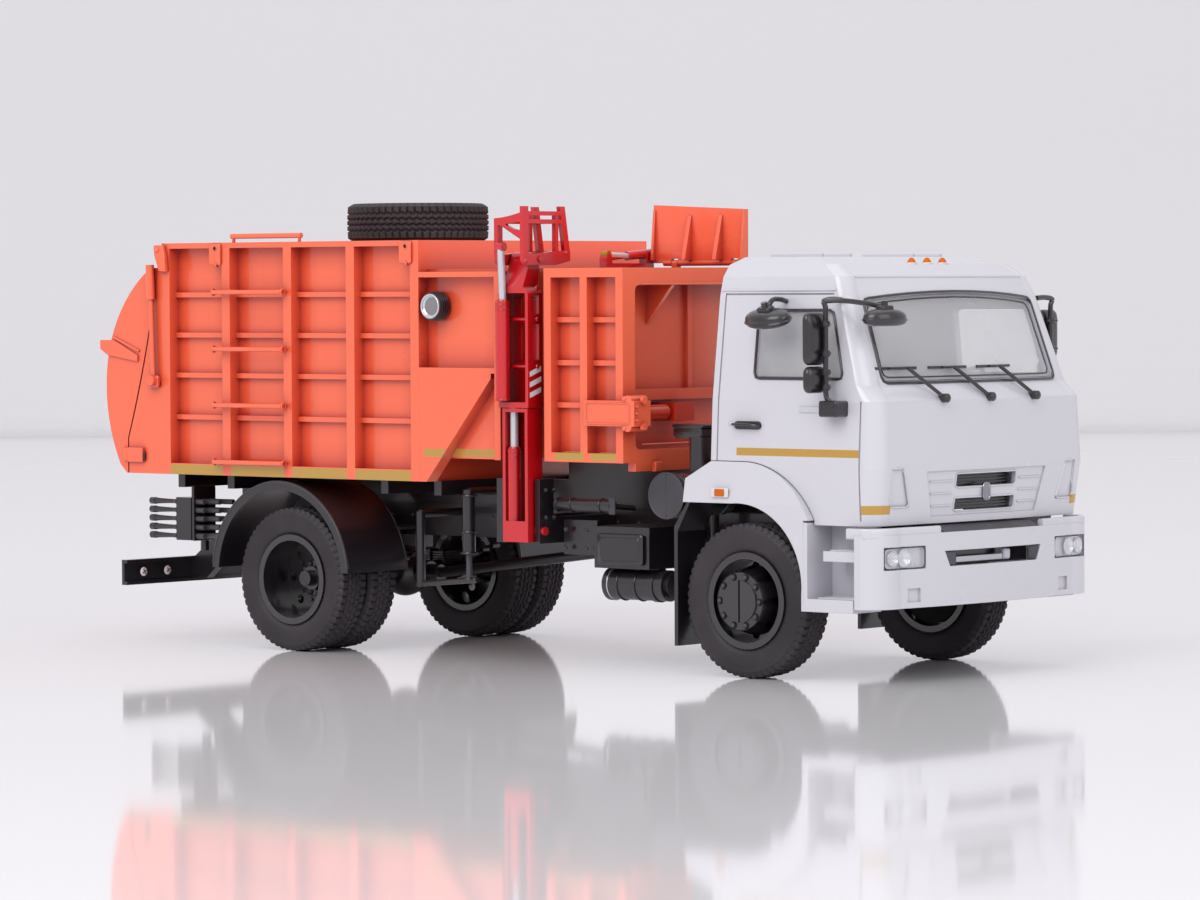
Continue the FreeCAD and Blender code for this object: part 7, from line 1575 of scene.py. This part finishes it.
@dataclass
class ChassisTrim:
    """Leaf stacks, plates, straps, spools and bolts of the chassis."""

    palette: Palette
    leaf_count: int = 4
    leaf_thick: float = 0.42
    leaf_half: float = 13.0
    guard: tuple[float, float, float] = (-99.7, 12.8, 15.9)

    def build(self) -> None:
        """Makes each group of chassis fittings."""
        self.black = Piece("chassis_fittings")
        self.grey = Piece("chassis_brackets")
        self._springs()
        self._boxes()
        self._cleaner()
        self._valves()
        self._guards()
        self.black.make(self.palette[Finish.CHASSIS], "truck", "chassis_black")
        self.grey.make(self.palette[Finish.GREY], "truck", "grey_plastic")

    def _springs(self) -> None:
        """Leaf stacks: leaf k lies at z = 16.85 - 1.6 (1 - (x / L)^2) - pitch k, over a shorter run each."""
        piece = Piece("leaf_stacks")
        for axle in (0.0, REAR_AXLE):
            for side in Side:
                for leaf in range(self.leaf_count):
                    x = np.linspace(-1, 1, 15) * self.leaf_half * (1 - 0.17 * leaf)
                    z = 16.83 - 1.6 * (1 - (x / self.leaf_half) ** 2) - (self.leaf_thick + 0.02) * leaf
                    path = np.column_stack((x + axle, np.full_like(x, side.value * 9.0), z))
                    piece.add(swept(path, rounded_box(1.7, self.leaf_thick, 0.12, 3)))
                for reach in (-1.5, 1.5):
                    loop = rounded_loop(((-1.05, 13.6), (1.05, 13.6), (1.05, 15.6), (-1.05, 15.6)), 0.3)
                    path = np.column_stack((np.full(len(loop), axle + reach), side.value * 9.0 + loop[:, 0],
                                            loop[:, 1]))
                    piece.add(looped(path, circle(0.2, 8), (1.0, 0.0, 0.0)))
                for x in (-self.leaf_half + 0.3, self.leaf_half - 0.3):
                    piece.add(rod((axle + x, side.value * 8.1, 16.7), (axle + x, side.value * 9.9, 16.7), 0.5))
        piece.make(self.palette[Finish.CHASSIS], "truck", "chassis_black", ("leaf_springs",))

    def _boxes(self) -> None:
        """Battery cover panel, bolted plate, tank straps and bright tank end, cross tube and damper."""
        side = facing_side(-26.3, -26.0, 19.4)
        self.black.add(side.carry(prism(rounded_box(9.6, 5.0, 0.7, 5), 0.35, 0.25)))
        self.black.add(side.carry(prism(rounded_box(8.2, 3.8, 0.5, 5), 0.5, 0.2)))
        for x in (-33.4, -37.9):
            for z in (19.4, 22.3):
                for grid in bolt(facing_side(x, -26.0, z), 0.3, 0.35):
                    self.black.add(grid)
        for x in (-28.6, -24.9, -21.2):
            self.black.add(ring(2.55, 0.16, 28)[..., [2, 0, 1]] + (x, -21.9, 13.6))
        run = np.linspace(0, 1, 8)
        cap = spun(np.column_stack((2.52 * run, -1.0 * np.sqrt(1 - run ** 2))), 28)[..., [2, 0, 1]]
        Piece("tank_end").add(cap + (-30.75, -21.9, 13.6)).add(
            ring(2.5, 0.14, 28)[..., [2, 0, 1]] + (-30.7, -21.9, 13.6)).make(
            self.palette[Finish.SILVER], "truck", "chrome_rod", sharp=60)
        self.black.add(rod((-39.8, -26.0, 26.3), (-27.9, -26.0, 26.3), 1.05, 18))
        self.black.add(rod((-38.0, -26.0, 26.3), (-38.0, -19.0, 25.6), 0.5))
        self.black.add(rod((-29.5, -26.0, 26.3), (-29.5, -19.0, 25.6), 0.5))
        for x in (-39.3, -36.2, -30.0):
            self.black.add(ring(1.12, 0.12, 20)[..., [2, 0, 1]] + (x, -26.0, 26.3))
        self.grey.add(facing_side(-27.4, -26.6, 26.3).carry(prism(rounded_box(1.3, 2.7, 0.15), 0.3, 0.08)))
        self.grey.add(rod((-62.7, -22.0, 13.0), (-62.7, -22.0, 17.8), 0.5))
        self.black.add(rod((-62.7, -22.0, 17.4), (-62.7, -22.0, 28.0), 1.1, 18))
        for z, radius in ((17.5, 1.25), (21.0, 1.15), (27.0, 1.3), (13.2, 0.8)):
            self.black.add(ring(radius, 0.2, 20) + (-62.7, -22.0, z))
        self.black.add(rod((-60.9, -21.9, 13.1), (-75.2, -20.6, 11.9), 0.5))
        self.black.add(rod((-75.0, -20.5, 11.4), (-75.0, -20.5, 24.0), 0.8))
        self.black.add(rod((-75.0, -20.5, 23.6), (-75.0, -10.0, 23.6), 0.7))
        self.black.add(rod((-62.7, -22.0, 27.6), (-62.7, -11.0, 27.6), 0.7))
        for s in (-1.0, 1.0):
            for x in np.arange(-121.0, 15.0, 4.6):
                self.black.add(facing_side(x, s * 10.1, 19.0).carry(domed(circle(0.3, 8), 0.22, rows=4)))
                self.black.add(facing_side(x + 2.3, s * 10.1, 22.8).carry(domed(circle(0.3, 8), 0.22, rows=4)))

    def _cleaner(self) -> None:
        """The air cleaner: a ribbed drum, a narrow stem, and a wide flat inlet with a lip."""
        piece, cover = Piece("air_inlet"), Piece("cleaner_cover")
        piece.add(rod((-16.9, -25.7, 28.2), (-16.9, -12.0, 28.2), 3.5, 32))
        for y in (-24.4, -21.0, -17.5, -14.0):
            piece.add(ring(3.52, 0.16)[..., [0, 2, 1]] + (-16.9, y, 28.2))
        stem = rounded_box(2.9, 3.4, 0.7)
        piece.add(prism(stem, 10.2, 0.1) + (-13.6, -21.0, 27.6))
        piece.add(prism(rounded_box(6.2, 3.6, 0.6), 2.0, 0.5) + (-15.1, -21.0, 37.2))
        piece.add(prism(rounded_box(6.7, 3.6, 0.5), 0.6, 0.15) + (-15.1, -21.0, 38.9))
        piece.add(rod((-16.9, -14.0, 21.0), (-16.9, -14.0, 25.0), 0.9))
        piece.make(self.palette[Finish.PLASTIC], "truck", "plastic_black", ("air_cleaner",))
        face = facing_side(-16.9, -25.7, 28.2)
        run = np.linspace(0, 1, 10)
        cover.add(face.carry(spun(np.column_stack((3.6 * run, 0.18 + 0.1 * (1 - run ** 4))), 36)))
        cover.add(face.carry(ring(3.6, 0.15, 36) + (0, 0, 0.12)))
        cover.add(face.carry(swept(np.linspace((0.0, -3.4, 0.27), (0.0, 3.4, 0.27), 2), circle(0.07, 6))))
        cover.make(self.palette[Finish.GREY], "truck", "grey_plastic")

    def _valves(self) -> None:
        """The valve bank: knobbed levers and two columns of round spools in front of the case."""
        piece, spools = Piece("valve_bank"), Piece("valve_spools")
        for index in range(5):
            z = 18.64 + 1.48 * index
            piece.add(spun(smooth_line(((0.0, 0.0), (0.5, 0.1), (0.56, 0.8), (0.46, 3.0), (0.38, 5.6),
                                        (0.5, 6.4), (0.0, 6.6)), 26), 14)[..., [2, 0, 1]]
                      + (-134.3, -25.4, z))
            for x, y in ((-121.6, -25.0), (-119.2, -23.6), (-117.8, -21.8)):
                spools.add(rod((-124.0, y, z), (x, y, z), 0.46))
        piece.add(facing_front(-124.0, -23.2, 22.6).carry(prism(rounded_box(5.4, 9.6, 0.3), 0.6, 0.15)))
        piece.add(rod((-124.6, -22.0, 16.0), (-124.6, -22.0, 18.2), 0.8))
        piece.make(self.palette[Finish.PLASTIC], "truck", "plastic_black")
        spools.make(self.palette[Finish.GREY], "truck", "grey_plastic")

    def _guards(self) -> None:
        """A rolled edge round each rear mudguard: centre + r (cos u, sin u)."""
        turn = np.linspace(math.radians(6), math.radians(174), 40)
        x, z, radius = self.guard
        for side in Side:
            for out in (28.95, 14.5):
                path = np.column_stack((x + radius * np.cos(turn), np.full_like(turn, side.value * out),
                                        z + radius * np.sin(turn)))
                self.black.add(swept(path, circle(0.24, 8), (0.0, 1.0, 0.0)))


# Finishes of the CAD nodes

NODE_FINISH = {
    Finish.RIM: ("rim_front_left", "rim_front_right", "rims_rear_left", "rims_rear_right", "spare_rim"),
    Finish.TYRE: ("tyre_front_left", "tyre_front_right", "tyres_rear_left", "tyres_rear_right", "spare_tyre"),
    Finish.CHASSIS: ("frame_rails", "cross_members", "bearers", "front_axle", "rear_axle", "leaf_springs",
                     "engine", "prop_shaft", "air_tank", "fuel_tank", "rear_bar", "valve_levers",
                     "arm_guides"),
    Finish.PLASTIC: ("battery_box", "air_cleaner", "rear_mudguards", "grilles", "mudflaps", "door_handles",
                     "wipers", "mirrors", "work_lamp"),
    Finish.CAB: ("cab_shell", "bumper", "front_arches", "entry_steps"),
    Finish.BODY: ("load_body", "front_bay", "hopper"),
    Finish.PLAIN_ORANGE: ("hopper_lid", "lid_hinges", "side_cover", "step_bars", "tailgate",
                          "tailgate_rams"),
    # The hopper ram takes the shaded orange: painted shade.
    Finish.SHADED_ORANGE: ("hopper_ram",),
    Finish.ARM: ("arm_column", "upper_arm", "gripper", "lid_ram"),
    Finish.SILVER: ("arm_rods",),
    Finish.GREY: ("nose_shelf",),
    Finish.SEAT: ("cab_inside",),
    Finish.GLASS: ("cab_glass",),
    Finish.LENS: ("headlamps", "work_lamp_lens"),
    Finish.AMBER: ("marker_lamps",),
    Finish.LAMP_RED: ("rear_lamps",),
}


def dress_nodes(palette: Palette) -> None:
    """Gives every CAD node its finish.

    Args:
        palette: the built materials.
    """
    for finish, names in NODE_FINISH.items():
        for name in names:
            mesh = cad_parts[name].data
            mesh.materials.clear()
            mesh.materials.append(palette[finish])
    left = set(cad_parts) - {name for names in NODE_FINISH.values() for name in names}
    if left:
        raise ValueError(f"nodes without a finish: {sorted(left)}")


# Stage, light and camera

@dataclass
class Studio:
    """A pale sweep under the truck with soft light from above."""

    width: float = 3.2
    front: float = 1.6
    back: float = 1.7
    bend: float = 0.5
    height: float = 1.4
    floor_tint: Triple = (0.89, 0.885, 0.90)

    def build(self) -> None:
        """Makes the sweep, the lamps and the world."""
        self._sweep()
        self._lamp("key_light", (0.25, -1.05, 0.85), 0.9, 8.0)
        self._lamp("top_light", (-0.1, 0.1, 1.3), 1.3, 2.6)
        self._lamp("front_light", (1.2, -0.15, 0.6), 0.8, 2.8)
        world = bpy.data.worlds.new("studio_air")
        world.use_nodes = True
        world.node_tree.nodes["Background"].inputs["Color"].default_value = (0.95, 0.93, 0.97, 1)
        world.node_tree.nodes["Background"].inputs["Strength"].default_value = 0.75
        bpy.context.scene.world = world

    def _sweep(self) -> None:
        """The floor that curves up into the backdrop: straight, quarter circle, straight."""
        turn = np.linspace(0, math.pi / 2, 24)
        curve = self.back - self.bend + self.bend * np.sin(turn)
        run = np.concatenate(((-self.front, 0.0), curve, (self.back,)))
        rise = np.concatenate(((0.0, 0.0), self.bend * (1 - np.cos(turn)), (self.height,)))
        heading = np.array((-math.sin(math.radians(40.8)), math.cos(math.radians(40.8))))
        side = np.array((heading[1], -heading[0]))
        across = np.linspace(-self.width, self.width, 9)
        plan = run[:, None, None] * heading + across[None, :, None] * side
        grid = np.concatenate((plan, np.broadcast_to(rise[:, None, None], plan.shape[:2] + (1,))), axis=-1)
        rows, columns = grid.shape[:2]
        index = np.arange(rows * columns).reshape(rows, columns)
        quads = np.stack((index[:-1, :-1], index[:-1, 1:], index[1:, 1:], index[1:, :-1]), axis=-1)
        mesh = bpy.data.meshes.new("sweep")
        mesh.from_pydata(grid.reshape(-1, 3), [], quads.reshape(-1, 4).tolist())
        mesh.shade_smooth()
        material, _, shader = blank_material("pale_sweep")
        shader.inputs["Base Color"].default_value = opaque(self.floor_tint)
        shader.inputs["Roughness"].default_value = 0.06
        shader.inputs["Specular IOR Level"].default_value = 0.3
        mesh.materials.append(material)
        sweep = bpy.data.objects.new("sweep", mesh)
        bpy.context.scene.collection.objects.link(sweep)
        sweep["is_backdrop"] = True

    @staticmethod
    def _lamp(name: str, spot: Triple, size: float, power: float) -> None:
        """Adds a square soft lamp that looks at the truck.

        Args:
            name: the lamp's name.
            spot: its place in metres.
            size: its side in metres.
            power: its power in watts.
        """
        data = bpy.data.lights.new(name, "AREA")
        data.size = size
        data.energy = power
        lamp = bpy.data.objects.new(name, data)
        lamp.location = spot
        lamp.rotation_mode = "QUATERNION"
        lamp.rotation_quaternion = (Vector((0, 0, 0.03)) - Vector(spot)).to_track_quat("-Z", "Y")
        bpy.context.scene.collection.objects.link(lamp)


@dataclass
class PhotoCamera:
    """The camera that took the photograph, from its measured place and angles."""

    spot: Triple = (481.61, -619.50, 61.56)
    azimuth: float = 40.793
    elevation: float = 1.924
    roll: float = -0.287
    lens: float = 146.85

    def build(self) -> None:
        """Makes the camera and hands it to the scene."""
        data = bpy.data.cameras.new("photo_camera")
        data.lens = self.lens
        data.sensor_width = 36.0
        camera = bpy.data.objects.new("photo_camera", data)
        a, e, r = (math.radians(angle) for angle in (self.azimuth, self.elevation, self.roll))
        back = Vector((math.sin(a) * math.cos(e), -math.cos(a) * math.cos(e), math.sin(e)))
        right = (-back).cross(Vector((0, 0, 1))).normalized()
        up = right.cross(-back)
        across = right * math.cos(r) + up * math.sin(r)
        rise = up * math.cos(r) - right * math.sin(r)
        turn = Matrix((across, rise, back)).transposed().to_4x4()
        spot = Vector(self.spot) + Vector((FRONT_AXLE_X, 0, 0))
        camera.matrix_world = Matrix.Translation(spot * MM) @ turn
        bpy.context.scene.collection.objects.link(camera)
        bpy.context.scene.camera = camera


def corners() -> list[list[float]]:
    """The shown object's two corners as plain numbers."""
    return [[round(value, 6) for value in corner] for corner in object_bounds()]


def main() -> None:
    """Builds the sub-assemblies in order."""
    logging.basicConfig(level=logging.INFO, format="%(name)s %(message)s")
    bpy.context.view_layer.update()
    palette = Palette()
    dress_nodes(palette)
    Wheels(palette).build()
    CabTrim(palette).build()
    Lamps(palette).build()
    ArmTrim(palette).build()
    BodyTrim(palette).build()
    ChassisTrim(palette).build()
    Studio().build()
    PhotoCamera().build()
    bpy.context.scene.view_settings.view_transform = "Standard"


if __name__ == "__main__":
    main()
